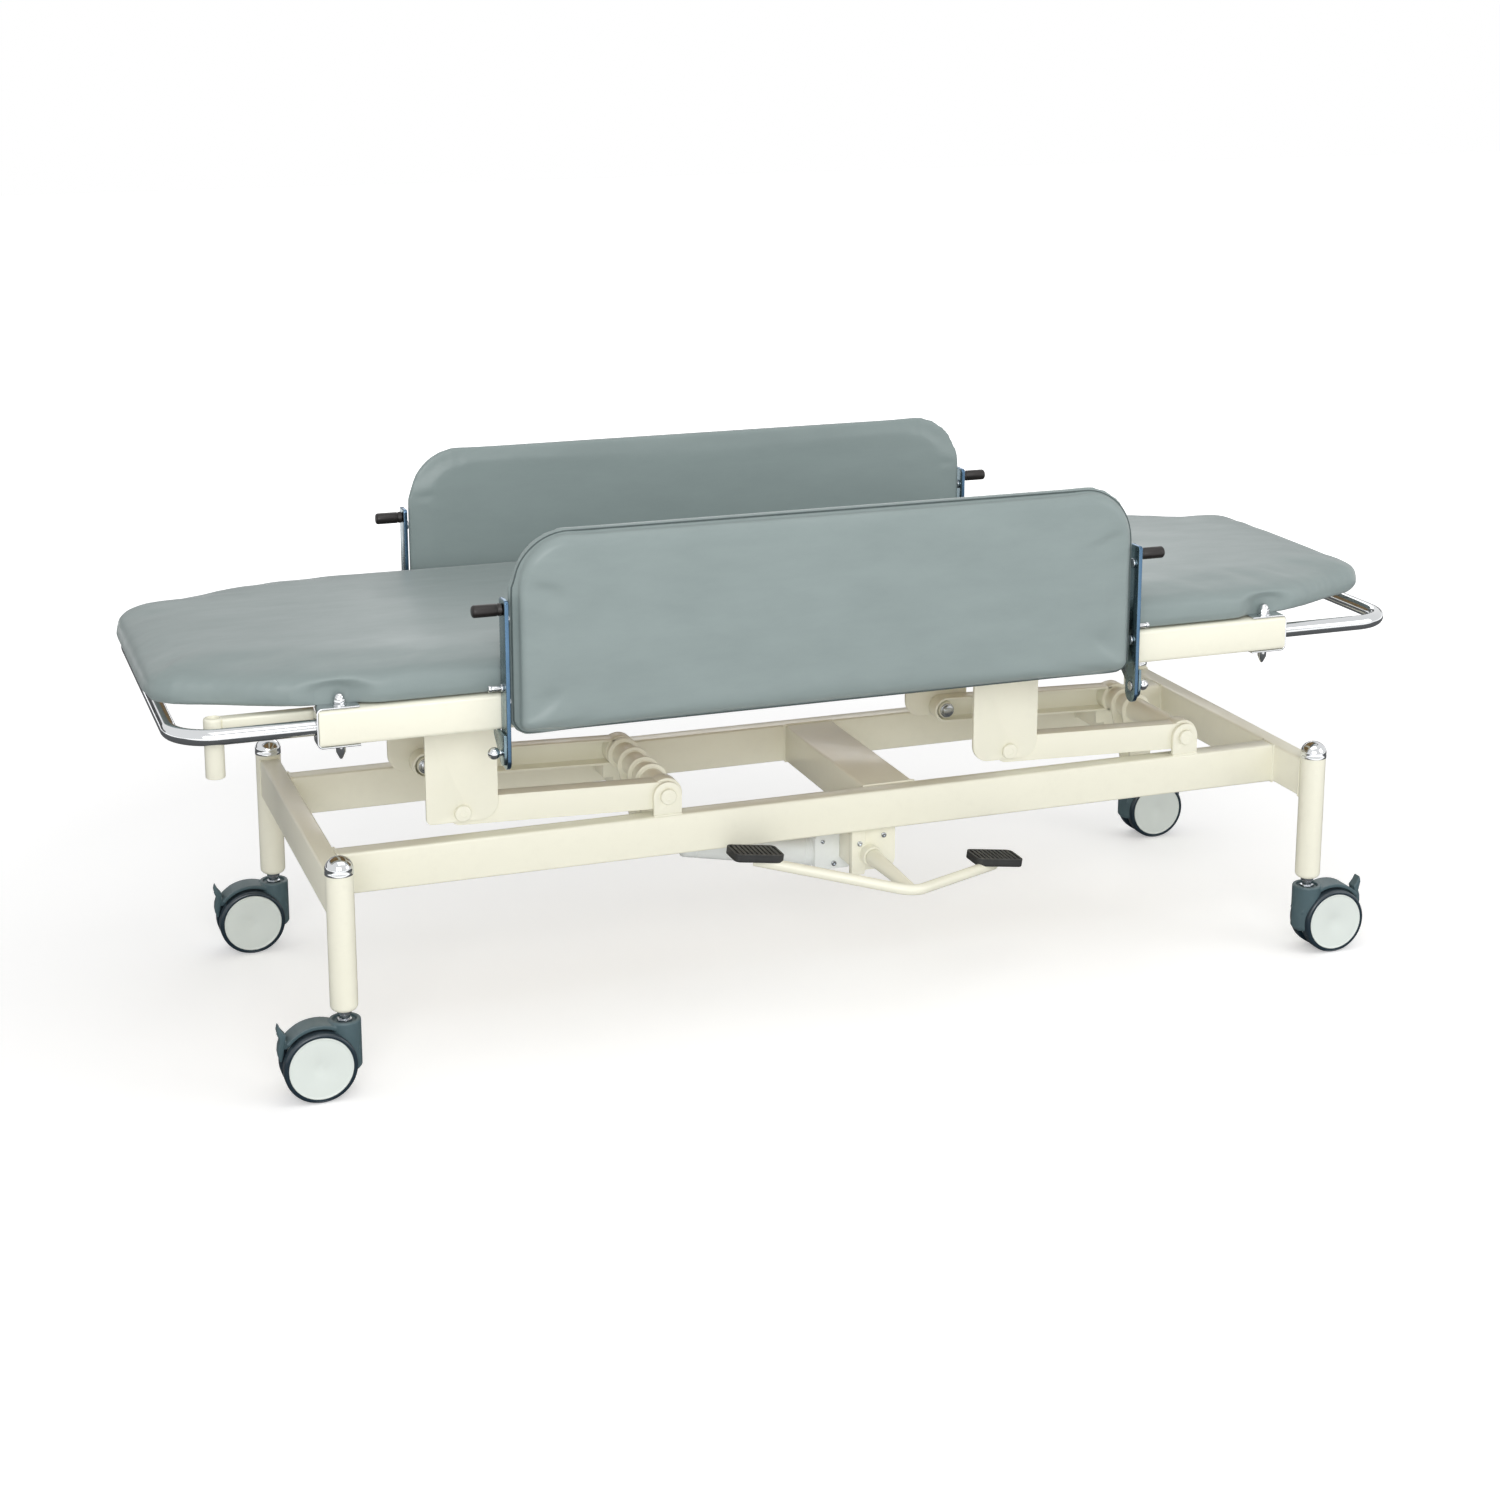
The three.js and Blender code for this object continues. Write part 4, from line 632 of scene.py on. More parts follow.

# %% [markdown]
# The floor is plain and pale, and it glows faintly for the rays that show the background: a little where the
# stretcher stands, so that its shadow stays, and fully far away, where it meets the white sky. It is not part of
# the stretcher.

# %% Floor
FLOOR_REACH = 14.0
GLOW_NEAR = 0.34
GLOW_FAR = 1.0
GLOW_START = 1.3
GLOW_END = 4.5
floor_shape = bmesh.new()
corners = [(-1, -1), (1, -1), (1, 1), (-1, 1)]
floor_shape.faces.new([floor_shape.verts.new((u * FLOOR_REACH, v * FLOOR_REACH, 0)) for u, v in corners])
floor = new_object("floor", floor_shape)
pale = bpy.data.materials.new("pale_floor")
pale.use_nodes = True
ground = pale.node_tree
matt = ground.nodes["Principled BSDF"]
matt.inputs["Base Color"].default_value = (0.86, 0.86, 0.86, 1)
matt.inputs["Roughness"].default_value = 0.9
matt.inputs["Specular IOR Level"].default_value = 0.1
matt.inputs["Emission Color"].default_value = (1, 1, 1, 1)
spot = place(ground, "ShaderNodeTexCoord")
away = place(ground, "ShaderNodeVectorMath", {0: spot.outputs["Object"]}, operation="LENGTH")
growing = place(ground, "ShaderNodeMapRange", {"Value": away.outputs["Value"], "From Min": GLOW_START,
                                               "From Max": GLOW_END, "To Min": GLOW_NEAR,
                                               "To Max": GLOW_FAR})
glow = place(ground, "ShaderNodeMath", {0: background_rays(ground), 1: growing.outputs["Result"]},
             operation="MULTIPLY")
ground.links.new(glow.outputs[0], matt.inputs["Emission Strength"])
painted(floor, pale)
print("floor", FLOOR_REACH)

# %% [markdown]
# Chrome shows whatever stands round it, and in an all-white studio it would look like grey paint. Two
# dark cards, one flat below the stretcher and one far behind it, give the tubes and domes their dark
# bands. Only mirror-like rays see them, so they throw no shadow and take no light away.

# %% Dark cards
CARD_GREY = (0.13, 0.135, 0.14, 1)
card_paint = bpy.data.materials.new("card_paint")
card_paint.use_nodes = True
card_paint.node_tree.nodes["Principled BSDF"].inputs["Base Color"].default_value = CARD_GREY
card_paint.node_tree.nodes["Principled BSDF"].inputs["Roughness"].default_value = 1.0


def dark_card(name, corners):
    shape = bmesh.new()
    shape.faces.new([shape.verts.new(corner) for corner in corners])
    card = painted(new_object(name, shape), card_paint)
    card.visible_camera = False
    card.visible_diffuse = False
    card.visible_transmission = False
    card.visible_shadow = False
    return card


dark_card("ground_card", [(-4, -1.3, 0.004), (4, -1.3, 0.004), (4, 3.2, 0.004), (-4, 3.2, 0.004)])
dark_card("back_card", [(-9, 6, 0.1), (9, 6, 0.1), (9, 6, 1.7), (-9, 6, 1.7)])
print("cards", 2)

# %% [markdown]
# Makers for the things that this frame repeats: rectangular tubes, welded seams, screws and pins.
# They take plain sizes in metres. A weld is a slim bead of paint-covered metal along the join, which
# is what makes two tubes read as one frame.

# %% Frame parts
def span_of(node):
    """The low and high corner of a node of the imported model."""
    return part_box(node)


def bar_prism(name, axis, u, v, depth, corner, ease=0.4 * mm):
    """A rectangular tube drawn from outside: rounded edges, closed ends."""
    return eased(extrude(name, rounded(u, v, [corner] * 4, 4), axis, depth), ease, 2)

# %% [markdown]
# Where two tubes meet, the real frame has a bead of weld under the paint. A thin swept bar along
# the seam is enough, half sunk in the corner.

# %% Weld beads
WELD_RADIUS = 2.0 * mm
WELD_STEP = 3.5 * mm


def weld(name, corners, closed=True, radius=WELD_RADIUS):
    """A weld bead along a run of straight edges: a thin rope that swells a little at each step."""
    loop = [Vector(corner) for corner in corners]
    if closed:
        loop.append(loop[0])
    path = []
    for start, end in zip(loop, loop[1:]):
        steps = max(2, int((end - start).length / WELD_STEP))
        path += [start.lerp(end, step / steps) for step in range(steps)]
    path.append(loop[-1])
    bead = sweep(name, path, radius, 8)
    for corner in bead.data.vertices:
        corner.co += noise.noise_vector(corner.co * 400) * radius * 0.22
    return smooth(bead, 80)


def ring_weld(name, axis, centre, radius, bead=WELD_RADIUS, steps=40):
    """A weld bead round a shaft."""
    turns = [2 * math.pi * step / steps for step in range(steps)]
    spots = [oriented(axis, radius * math.cos(turn), radius * math.sin(turn), 0) for turn in turns]
    return weld(name, [Vector(spot) + Vector(centre) for spot in spots], True, bead)


def rectangle(axis, u, v, at):
    """The four corners of a rectangle that faces along an axis."""
    return [oriented(axis, *spot, at) for spot in ((u[0], v[0]), (u[1], v[0]), (u[1], v[1]), (u[0], v[1]))]

# %% [markdown]
# Pins, bolts and nuts are turned or six-sided, so each is a lathe or an extruded outline with a
# small bevel.

# %% Rods and fasteners
def rod(name, axis, centre, radius, reach, round_off=1.0 * mm, steps=32):
    """A round bar between two places along its axis, with its edges rounded."""
    low, high = sorted(reach)
    profile = [(0, low)] + arc((radius - round_off, low + round_off), round_off, -90, 0, 3)
    profile += arc((radius - round_off, high - round_off), round_off, 0, 90, 3) + [(0, high)]
    flat = Vector(centre)
    flat["xyz".index(axis)] = 0
    return smooth(lathe(name, profile, axis, flat, steps), 50)


def cap_screw(name, axis, face, radius, height, way, finish_used, socket=0.5):
    """A round screw head with a six-sided key hole, standing on a face."""
    round_off = min(radius, height) * 0.3
    top = height
    profile = [(0, 0), (radius, 0)] + arc((radius - round_off, top - round_off), round_off, 0, 90, 3)
    profile += [(radius * socket, top), (radius * socket * 0.96, top * 0.45), (0, top * 0.45)]
    turned = [(r, way * along) for r, along in profile]
    head = lathe(name, turned, axis, face, 24)
    return painted(smooth(head, 35), finish_used)


def hex_nut(name, axis, face, radius, height, way, finish_used):
    """A six-sided nut or bolt head with its corners turned off, standing on a face."""
    outline = [(radius * math.cos(turn), radius * math.sin(turn))
               for turn in [math.radians(60 * step + 30) for step in range(6)]]
    nut = extrude(name, outline, axis, (0, way * height))
    nut = moved(nut, Matrix.Translation(face))
    return painted(eased(nut, 0.6 * mm, 2), finish_used)


def pivot_head(name, x, face, z, way=-1):
    """The turned head of a pivot pin, with a faint ring and a small grease nipple dimple."""
    radius, height = PIN_HEAD_RADIUS, PIN_HEAD_HEIGHT
    profile = [(0, 0), (radius, 0), (radius, height * 0.62)]
    profile += arc((radius - 1.9 * mm, height - 1.9 * mm), 1.9 * mm, 0, 90, 4)
    profile += [(radius * 0.42, height), (radius * 0.38, height - 0.5 * mm), (0, height - 0.5 * mm)]
    turned = [(r, way * along) for r, along in profile]
    return smooth(lathe(name, turned, "y", (x, face, z), 40), 40)


PIN_HEAD_RADIUS = 11.7 * mm
PIN_HEAD_HEIGHT = 5.0 * mm
PIN_RADIUS = 8.0 * mm
PIN_CLEARANCE = 0.3 * mm
print("frame makers ready")

# %% [markdown]
# The base is a ladder of rectangular tube: two long side rails, an end rail with a leg at each end,
# and one wide cross-member. Their seams are welded all round. Lugs stand up from the near rail and
# carry the lower pivots, and two short brackets do the same behind.

# %% Base frame
RAIL_CORNER = 4.0 * mm
LUG_HALF = 21 * mm
LUG_THICKNESS = 6 * mm
CAP_LIP = 0.6 * mm
LEG_ROUND = 8 * mm
lower_pivots = [pivot("lift"), pivot("right_lift")]
rail_low = span_of("base_side_rail_near")[0]
rail_top = rail_low.z + 60 * mm


def lug_outline(x, z, foot):
    """A plate with a round head about a pivot."""
    head = arc((x, z), LUG_HALF, 0, 180, 20)
    return [(x - LUG_HALF, foot), (x + LUG_HALF, foot), *head]


def side_rail(side, node, y, lug_faces):
    low, high = span_of(node)
    bottom = low.z
    rail = bar_prism(f"{side}_rail_tube", "x", y, (bottom, rail_top), (low.x, high.x), RAIL_CORNER)
    pieces = [rail]
    for number, at in enumerate(lower_pivots):
        name = f"{side}_lug_{number}"
        foot = rail_top if side == "near" else rail_top - 20 * mm
        lug = extrude(name, lug_outline(at.x, at.z, foot), "y", lug_faces)
        if side == "near":
            hole = rod(f"{name}_hole", "y", (at.x, 0, at.z), PIN_RADIUS + PIN_CLEARANCE,
                       (lug_faces[0] - 2 * mm, lug_faces[1] + 2 * mm), 0.2 * mm)
            lug = carved(lug, hole)
        pieces.append(eased(lug, 0.7 * mm, 2))
        if side == "near":
            for face in lug_faces:
                run = [(at.x - LUG_HALF, face, rail_top), (at.x + LUG_HALF, face, rail_top)]
                pieces.append(weld(f"{name}_weld_{face:.3f}", run, False, 1.8 * mm))
    return pieces

# %% [markdown]
# The near rail carries lugs with round pin heads. The far one carries short stubs behind its lugs.
# They start a hair behind the lug's face, as two faces in one plane would flicker.

# %% Side rails and cross-member
far_high = span_of("base_side_rail_far")[1]
near_lug_low = span_of("lower_pin_left")[0].y + PIN_HEAD_HEIGHT + 0.3 * mm
near_lug = (near_lug_low, near_lug_low + LUG_THICKNESS)
rail_outer = (near_lug_low - 4 * mm, near_lug_low + 26 * mm)
near_pieces = side_rail("near", "base_side_rail_near", rail_outer, near_lug)
near_rail = painted(joined("near_side_rail", near_pieces), cream)
fitted(near_rail, "cream_paint", "base_side_rail_near")

far_outer = (far_high.y - 30 * mm, far_high.y)
far_lug = (far_high.y - 131.5 * mm, far_high.y - 125.5 * mm)
far_pieces = side_rail("far", "base_side_rail_far", far_outer, far_lug)
STUB_WIDTH = 40 * mm
STUB_OFFSET = 15 * mm
STUB_DROP = 40 * mm
STUB_SET_BACK = 0.6 * mm
for number, at in enumerate(lower_pivots):
    reach = (at.x + STUB_OFFSET - STUB_WIDTH / 2, at.x + STUB_OFFSET + STUB_WIDTH / 2)
    stub = bar_prism(f"far_stub_{number}", "y", reach, (rail_top - STUB_DROP, rail_top),
                     (far_lug[0] + STUB_SET_BACK, far_outer[0] + 0.5 * mm), 2.5 * mm)
    far_pieces.append(stub)
    seam = rectangle("y", reach, (rail_top - STUB_DROP, rail_top), far_outer[0])
    far_pieces.append(weld(f"far_stub_weld_{number}", seam))
    head_face = far_lug[1]
    far_pieces.append(pivot_head(f"far_pin_head_{number}", at.x, head_face, at.z, 1))
    far_pieces.append(rod(f"far_pin_{number}", "y", (at.x, 0, at.z), PIN_RADIUS,
                          (far_lug[0] - 26.5 * mm, far_lug[1])))
far_pieces = [painted(piece, cream) for piece in far_pieces]
far_rail = joined("far_side_rail", far_pieces)
fitted(far_rail, "cream_paint", "base_side_rail_far")

cross_low, cross_high = span_of("base_cross_member")
member = bar_prism("cross_tube", "y", (cross_low.x, cross_high.x), (cross_low.z, cross_high.z),
                   (cross_low.y, cross_high.y), RAIL_CORNER)
seams = [weld(f"cross_seam_{y:.3f}", rectangle("y", (cross_low.x, cross_high.x),
                                               (cross_low.z, cross_high.z), y))
         for y in (cross_low.y, cross_high.y)]
member = painted(joined("cross_member", [member, *seams]), cream)
fitted(member, "cream_paint", "base_cross_member")
print("side rails and cross-member")

# %% [markdown]
# Each end is a rail between two round legs with a chrome dome pressed on top. The legs are lathes,
# so the rolled lower edge and the dome's skirt come from their profiles.

# %% End frames
LEG_RADIUS = 19.05 * mm
LEG_TOP = 315 * mm
DOME_RISE = 23 * mm
DOME_SKIRT = 5 * mm


def leg(name, x, y, bottom):
    """A round leg, its lower edge rolled in towards the caster's socket."""
    low = bottom
    profile = [(0, low + 0.5 * mm), (LEG_RADIUS - LEG_ROUND, low)]
    profile += arc((LEG_RADIUS - LEG_ROUND, low + LEG_ROUND), LEG_ROUND, -90, 0, 8)
    profile += [(LEG_RADIUS, LEG_TOP), (0, LEG_TOP)]
    return smooth(lathe(name, profile, "z", (x, y, 0), 56), 50)


def leg_dome(name, x, y):
    """The pressed chrome cap on a leg: a short skirt under a low dome."""
    radius = LEG_RADIUS + CAP_LIP
    rise = DOME_RISE - DOME_SKIRT
    curve = [(radius * math.cos(math.radians(turn)), LEG_TOP + DOME_SKIRT
              + rise * math.sin(math.radians(turn)))
             for turn in range(0, 90, 6)]
    profile = [(LEG_RADIUS - 0.5 * mm, LEG_TOP - 2 * mm), (radius, LEG_TOP - 1.4 * mm),
               (radius, LEG_TOP + 2 * mm)]
    profile += [(radius - 0.35 * mm, LEG_TOP + 2.8 * mm), *curve[1:], (0, LEG_TOP + DOME_RISE)]
    return painted(smooth(lathe(name, profile, "z", (x, y, 0), 56), 50), chrome)


for side in ("left", "right"):
    low, high = span_of(f"base_end_frame_{side}")
    middle = (low.x + high.x) / 2
    legs_y = (low.y + LEG_RADIUS + CAP_LIP, high.y - LEG_RADIUS - CAP_LIP)
    across = (middle - 15 * mm, middle + 15 * mm)
    rail_z = (rail_top - 60 * mm, rail_top)
    pieces = [bar_prism(f"{side}_end_rail", "y", across, rail_z, legs_y, RAIL_CORNER)]
    for number, y in enumerate(legs_y):
        pieces.append(leg(f"{side}_leg_{number}", middle, y, low.z))
        inward = 1 if number == 0 else -1
        seam = rectangle("y", across, rail_z, y + inward * LEG_RADIUS * 0.72)
        pieces.append(weld(f"{side}_leg_seam_{number}", seam, True, 1.8 * mm))
    for y in (rail_outer, far_outer):
        inner_face = across[1] if side == "left" else across[0]
        seam = rectangle("x", y, rail_z, inner_face)
        pieces.append(weld(f"{side}_rail_seam_{y[0]:.3f}", seam, True, 1.8 * mm))
    for piece in pieces:
        painted(piece, cream)
    pieces += [leg_dome(f"{side}_dome_{number}", middle, y) for number, y in enumerate(legs_y)]
    frame_piece = joined(f"{side}_end_frame", pieces)
    fitted(frame_piece, "cream_paint", f"base_end_frame_{side}")
print("end frames with", 4, "capped legs")
# %% [markdown]
# Each caster is a twin wheel under a moulded hood, with a brake pedal behind and a steel stem that
# goes up into the leg. One caster is modelled with its stem at the origin, and the four corners get
# copies of its meshes. The hood is three plain solids fused on a fine grid and then smoothed, which
# gives it the soft inner corners of a moulding.

# %% Caster wheel
TRAIL = 38 * mm
WHEEL_RADIUS = 50 * mm
WHEEL_CENTRE = Vector((TRAIL, 0, WHEEL_RADIUS))
TYRE_PROFILE = [(43.0, 10.2), (48.6, 9.6), (49.6, 10.0), (50.0, 11.2), (50.0, 21.6), (49.8, 23.6),
                (49.1, 25.1),
                (47.6, 26.2), (45.6, 26.6), (44.2, 26.2), (43.0, 20.0), (43.0, 10.2)]
DISC_PROFILE = [(0, 10.4), (43.4, 10.4), (43.7, 24.6), (43.8, 26.2), (43.4, 26.8), (42.7, 27.0),
                (42.0, 26.8),
                (41.4, 26.35), (39.8, 26.2), (11.0, 26.2), (9.6, 25.6), (0, 25.6)]


def wheel_pieces(name):
    pieces = []
    for way in (-1, 1):
        tyre = lathe(f"{name}_tyre_{way}", [(r * mm, way * y * mm) for r, y in TYRE_PROFILE], "y",
                     WHEEL_CENTRE, 72)
        pieces.append(painted(smooth(tyre, 60), tread))
        disc = lathe(f"{name}_disc_{way}", [(r * mm, way * y * mm) for r, y in DISC_PROFILE], "y",
                     WHEEL_CENTRE, 72)
        pieces.append(painted(smooth(disc, 35), pale_plastic))
    axle = rod(f"{name}_axle", "y", WHEEL_CENTRE, 5 * mm, (-11 * mm, 11 * mm))
    pieces.append(painted(axle, bright_steel))
    return joined(name, pieces)

# %% [markdown]
# The moulded hood wraps the wheels and rises into a round collar, with a cup for the steel stem.

# %% Caster hood
COLLAR_RADIUS = 22 * mm
COLLAR_TOP = 108 * mm
CUP_RADIUS = 16 * mm
CUP_DEPTH = 14 * mm
HOOD_INNER = 52.4 * mm
HOOD_OUTER = 57.5 * mm
HOOD_HALF_WIDTH = 17 * mm
CORE_HALF_WIDTH = 8.6 * mm
GRID = 0.8 * mm


def annulus(inner, outer, start, end, steps=36):
    """A curved band's outline about the wheel's centre."""
    centre = (WHEEL_CENTRE.x, WHEEL_CENTRE.z)
    return arc(centre, outer, start, end, steps) + arc(centre, inner, end, start, steps)


def fused(name, pieces, size, smoothing):
    """Overlapping closed solids as one skin, with soft inner corners."""
    whole = joined(name, pieces)
    whole.data.remesh_voxel_size = size
    remesh = whole.modifiers.new("grid", "REMESH")
    remesh.mode = "VOXEL"
    remesh.voxel_size = size
    relax = whole.modifiers.new("relax", "SMOOTH")
    relax.factor = 0.5
    relax.iterations = smoothing
    return smooth(settled(whole), 70)

# %% [markdown]
# Three plain solids are fused on a fine grid and smoothed, which a boolean with bevels can't do
# where their curved sides run into each other.

# %% Hood and stem
def hood(name):
    collar = lathe(f"{name}_collar", [
        (0, 36 * mm), (COLLAR_RADIUS - 4 * mm, 36 * mm), (COLLAR_RADIUS, 41 * mm),
        (COLLAR_RADIUS, COLLAR_TOP - 2.4 * mm), (COLLAR_RADIUS - 0.7 * mm, COLLAR_TOP - 0.7 * mm),
        (COLLAR_RADIUS - 2.4 * mm, COLLAR_TOP), (CUP_RADIUS + 1 * mm, COLLAR_TOP),
        (CUP_RADIUS, COLLAR_TOP - 1 * mm), (CUP_RADIUS - 0.6 * mm, COLLAR_TOP - CUP_DEPTH),
        (0, COLLAR_TOP - CUP_DEPTH)], "z", (0, 0, 0), 56)
    band = extrude(f"{name}_band", annulus(HOOD_INNER, HOOD_OUTER, 40, 163), "y",
                   (-HOOD_HALF_WIDTH, HOOD_HALF_WIDTH))
    web = extrude(f"{name}_web", annulus(36 * mm, HOOD_INNER + 2 * mm, 42, 196), "y",
                  (-CORE_HALF_WIDTH, CORE_HALF_WIDTH))
    core = lathe(f"{name}_core", [(0, -CORE_HALF_WIDTH), (40 * mm, -CORE_HALF_WIDTH),
                                  (40 * mm, CORE_HALF_WIDTH), (0, CORE_HALF_WIDTH)], "y", WHEEL_CENTRE, 48)
    lip = extrude(f"{name}_lip", annulus(HOOD_OUTER - 1.2 * mm, HOOD_OUTER + 0.3 * mm, 60, 120, 20), "y",
                  (-HOOD_HALF_WIDTH, HOOD_HALF_WIDTH))
    body = fused(f"{name}_body", [collar, band, web, core, lip], GRID, 6)
    return painted(body, plastic)


STEM_RADIUS = 7.4 * mm
FLANGE_RADIUS = 9.7 * mm
STEM_TOP = 159.5 * mm
CUP_FLOOR = 103.4 * mm


def stem(name):
    flange_top = 119.7 * mm
    shank = lathe(f"{name}_shank", [
        (0, CUP_FLOOR - 1 * mm), (STEM_RADIUS, CUP_FLOOR - 1 * mm), (STEM_RADIUS, 114.9 * mm),
        (FLANGE_RADIUS - 0.6 * mm, 114.7 * mm),
        (FLANGE_RADIUS, 115.3 * mm), (FLANGE_RADIUS, flange_top - 0.6 * mm),
        (FLANGE_RADIUS - 0.6 * mm, flange_top),
        (STEM_RADIUS, flange_top), (STEM_RADIUS, STEM_TOP - 1 * mm), (STEM_RADIUS - 1 * mm, STEM_TOP),
        (0, STEM_TOP)], "z", (0, 0, 0), 36)
    painted(smooth(shank, 40), bright_steel)
    nut = hex_nut(f"{name}_nut", "z", (0, 0, CUP_FLOOR), 11 * mm, 4.5 * mm, 1, bright_steel)
    floor_of_cup = lathe(f"{name}_cup", [(0, CUP_FLOOR), (CUP_RADIUS - 1.4 * mm, CUP_FLOOR),
                                         (CUP_RADIUS - 0.2 * mm, CUP_FLOOR + 0.8 * mm),
                                         (CUP_RADIUS, CUP_FLOOR + 1.4 * mm),
                                         (CUP_RADIUS + 0.4 * mm, CUP_FLOOR - 3 * mm),
                                         (0, CUP_FLOOR - 3 * mm)],
                         "z", (0, 0, 0), 40)
    painted(smooth(floor_of_cup, 40), plastic)
    return [shank, nut, floor_of_cup]

# %% [markdown]
# The brake pedal is a thin curved blade, so its side view is drawn once and extruded. Three small
# bars across it are the grip ribs.

# %% Brake pedal
PEDAL_POINTS = [(80.6, 95.5), (83.2, 84.0), (84.6, 72.0), (86.9, 60.0), (89.3, 58.4), (91.4, 64.0),
                (92.5, 72.0),
                (91.6, 81.0), (89.2, 88.4), (90.6, 95.0), (92.6, 102.0), (91.9, 108.0), (90.4, 111.6),
                (88.8, 108.4), (86.4, 103.0)]
PEDAL_HALF_WIDTH = 7.5 * mm


def brake_pedal(name):
    blade = extrude(f"{name}_blade", [(x * mm, z * mm) for x, z in PEDAL_POINTS], "y",
                    (-PEDAL_HALF_WIDTH, PEDAL_HALF_WIDTH))
    blade = eased(blade, 1.3 * mm, 3)
    lobe = rod(f"{name}_lobe", "y", (82 * mm, 0, 83 * mm), 6 * mm, (-PEDAL_HALF_WIDTH, PEDAL_HALF_WIDTH))
    for corner in blade.data.vertices:
        height = (corner.co.z - 86 * mm) / (26 * mm)
        corner.co.y *= 1.12 - 0.22 * height * height
    ribs = []
    for step in range(3):
        z = (96 + 4.2 * step) * mm
        rib = rod(f"{name}_rib_{step}", "y", ((91.0 + 0.5 * step) * mm, 0, z), 0.9 * mm,
                  (-5.6 * mm, 5.6 * mm), 0.4 * mm, 12)
        ribs.append(rib)
    return painted(joined(name, [blade, lobe, *ribs]), plastic)

# %% [markdown]
# The four corners get copies of one master. The left pair is turned half round, as in the photograph,
# and each copy rides on its own swivel, wheel and brake.

# %% Four casters
master_wheel = wheel_pieces("wheel_master")
master_hood = joined("hood_master", [hood("hood"), *stem("stem")])
master_brake = brake_pedal("brake_master")
CORNERS = ("near_left", "near_right", "far_left", "far_right")
for corner in CORNERS:
    at = pivot(f"swivel_{corner}")
    facing = math.pi if corner.endswith("left") else 0
    seat = Matrix.Translation((at.x, at.y, 0)) @ Matrix.Rotation(facing, 4, "Z")
    wheel = copied(master_wheel, f"wheel_{corner}", seat)
    fitted(wheel, "caster_tyre", f"caster_wheel_{corner}")
    cover = copied(master_hood, f"hood_{corner}", seat)
    fitted(cover, "caster_plastic", f"caster_housing_{corner}")
    pedal_piece = copied(master_brake, f"brake_{corner}", seat)
    fitted(pedal_piece, "caster_plastic", f"caster_brake_{corner}")
for master in (master_wheel, master_hood, master_brake):
    bpy.data.objects.remove(master)
print("casters", len(CORNERS))
# %% [markdown]
# The bed rides on two pairs of pressed arms. Each arm is a channel: a flat web with a rim all round
# and a boss at each pivot, its open side towards the middle of the bed. A torque tube joins each
# pair, and lever plates welded to it take the push of the pump and the pull of the tie bar.

# %% Lift arms
ARM_RADIUS = 20 * mm
ARM_WALL = 4 * mm
BOSS_RADII = (24.4 * mm, 13 * mm)
BOSS_SET_BACK = 2 * mm
REACH_BACK = 300 * mm
RISE = 10 * mm


def flat(at):
    """A pivot seen square to the arms."""
    return (at.x, at.z)


def lift_arm(name, lower, reach, web_first):
    upper = (lower.x - REACH_BACK, lower.z + RISE)
    ends = [flat(lower), upper]
    outer = extrude(f"{name}_outer", link(ends[0], ARM_RADIUS, ends[1], ARM_RADIUS, 24), "y", reach)
    wall = ARM_WALL if web_first else -ARM_WALL
    room = (reach[0] + wall, reach[1] + wall)
    inner = ARM_RADIUS - ARM_WALL
    pocket = extrude(f"{name}_pocket", link(ends[0], inner, ends[1], inner, 24), "y", room)
    channel = eased(carved(outer, pocket), 1.0 * mm, 3)
    bosses = []
    for number, ((x, z), boss) in enumerate(zip(ends, BOSS_RADII)):
        low, high = (reach[0] + BOSS_SET_BACK, reach[1]) if web_first else (reach[0],
                                                                            reach[1] - BOSS_SET_BACK)
        hole = PIN_RADIUS + PIN_CLEARANCE
        sleeve = [(hole, low), (boss - 1.2 * mm, low), (boss - 0.3 * mm, low + 0.3 * mm),
                  (boss, low + 1.2 * mm),
                  (boss, high - 1.2 * mm), (boss - 0.3 * mm, high - 0.3 * mm), (boss - 1.2 * mm, high),
                  (hole, high), (hole, low)]
        bosses.append(smooth(lathe(f"{name}_boss_{number}", sleeve, "y", (x, 0, z), 48), 40))
    face = reach[0] + ARM_WALL if web_first else reach[1] - ARM_WALL
    bosses.append(ring_weld(f"{name}_boss_weld", "y", (ends[1][0], face, ends[1][1]), BOSS_RADII[1],
                            1.2 * mm))
    return painted(joined(name, [channel, *bosses]), cream)


near_reach = (span_of("left_arm_near")[0].y, span_of("left_arm_near")[1].y)
far_reach = (span_of("left_arm_far")[0].y, span_of("left_arm_far")[1].y)
for side, lower in zip(("left", "right"), lower_pivots):
    near_arm = lift_arm(f"{side}_near_arm", lower, near_reach, True)
    fitted(near_arm, "cream_paint", f"{side}_arm_near")
    far_arm = lift_arm(f"{side}_far_arm", lower, far_reach, False)
    fitted(far_arm, "cream_paint", f"{side}_arm_far")
    for end, x, z in (("lower", lower.x, lower.z), ("upper", lower.x - REACH_BACK, lower.z + RISE)):
        low, high = span_of(f"{end}_pin_{side}")
        face = low.y + PIN_HEAD_HEIGHT
        head = pivot_head(f"{side}_{end}_pin_head", x, face, z)
        shank = rod(f"{side}_{end}_pin_shank", "y", (x, 0, z), PIN_RADIUS, (face - 1 * mm, high.y))
        pin = painted(joined(f"{side}_{end}_pivot_pin", [head, shank]), cream)
        fitted(pin, "cream_paint", f"{end}_pin_{side}")
print("arms and pins")

# %% [markdown]
# A thick tube joins the two arms of each pair, so that both rise together. Lever plates are welded
# on it: one pair for the pump's rod, others for the tie bar behind the near rail.

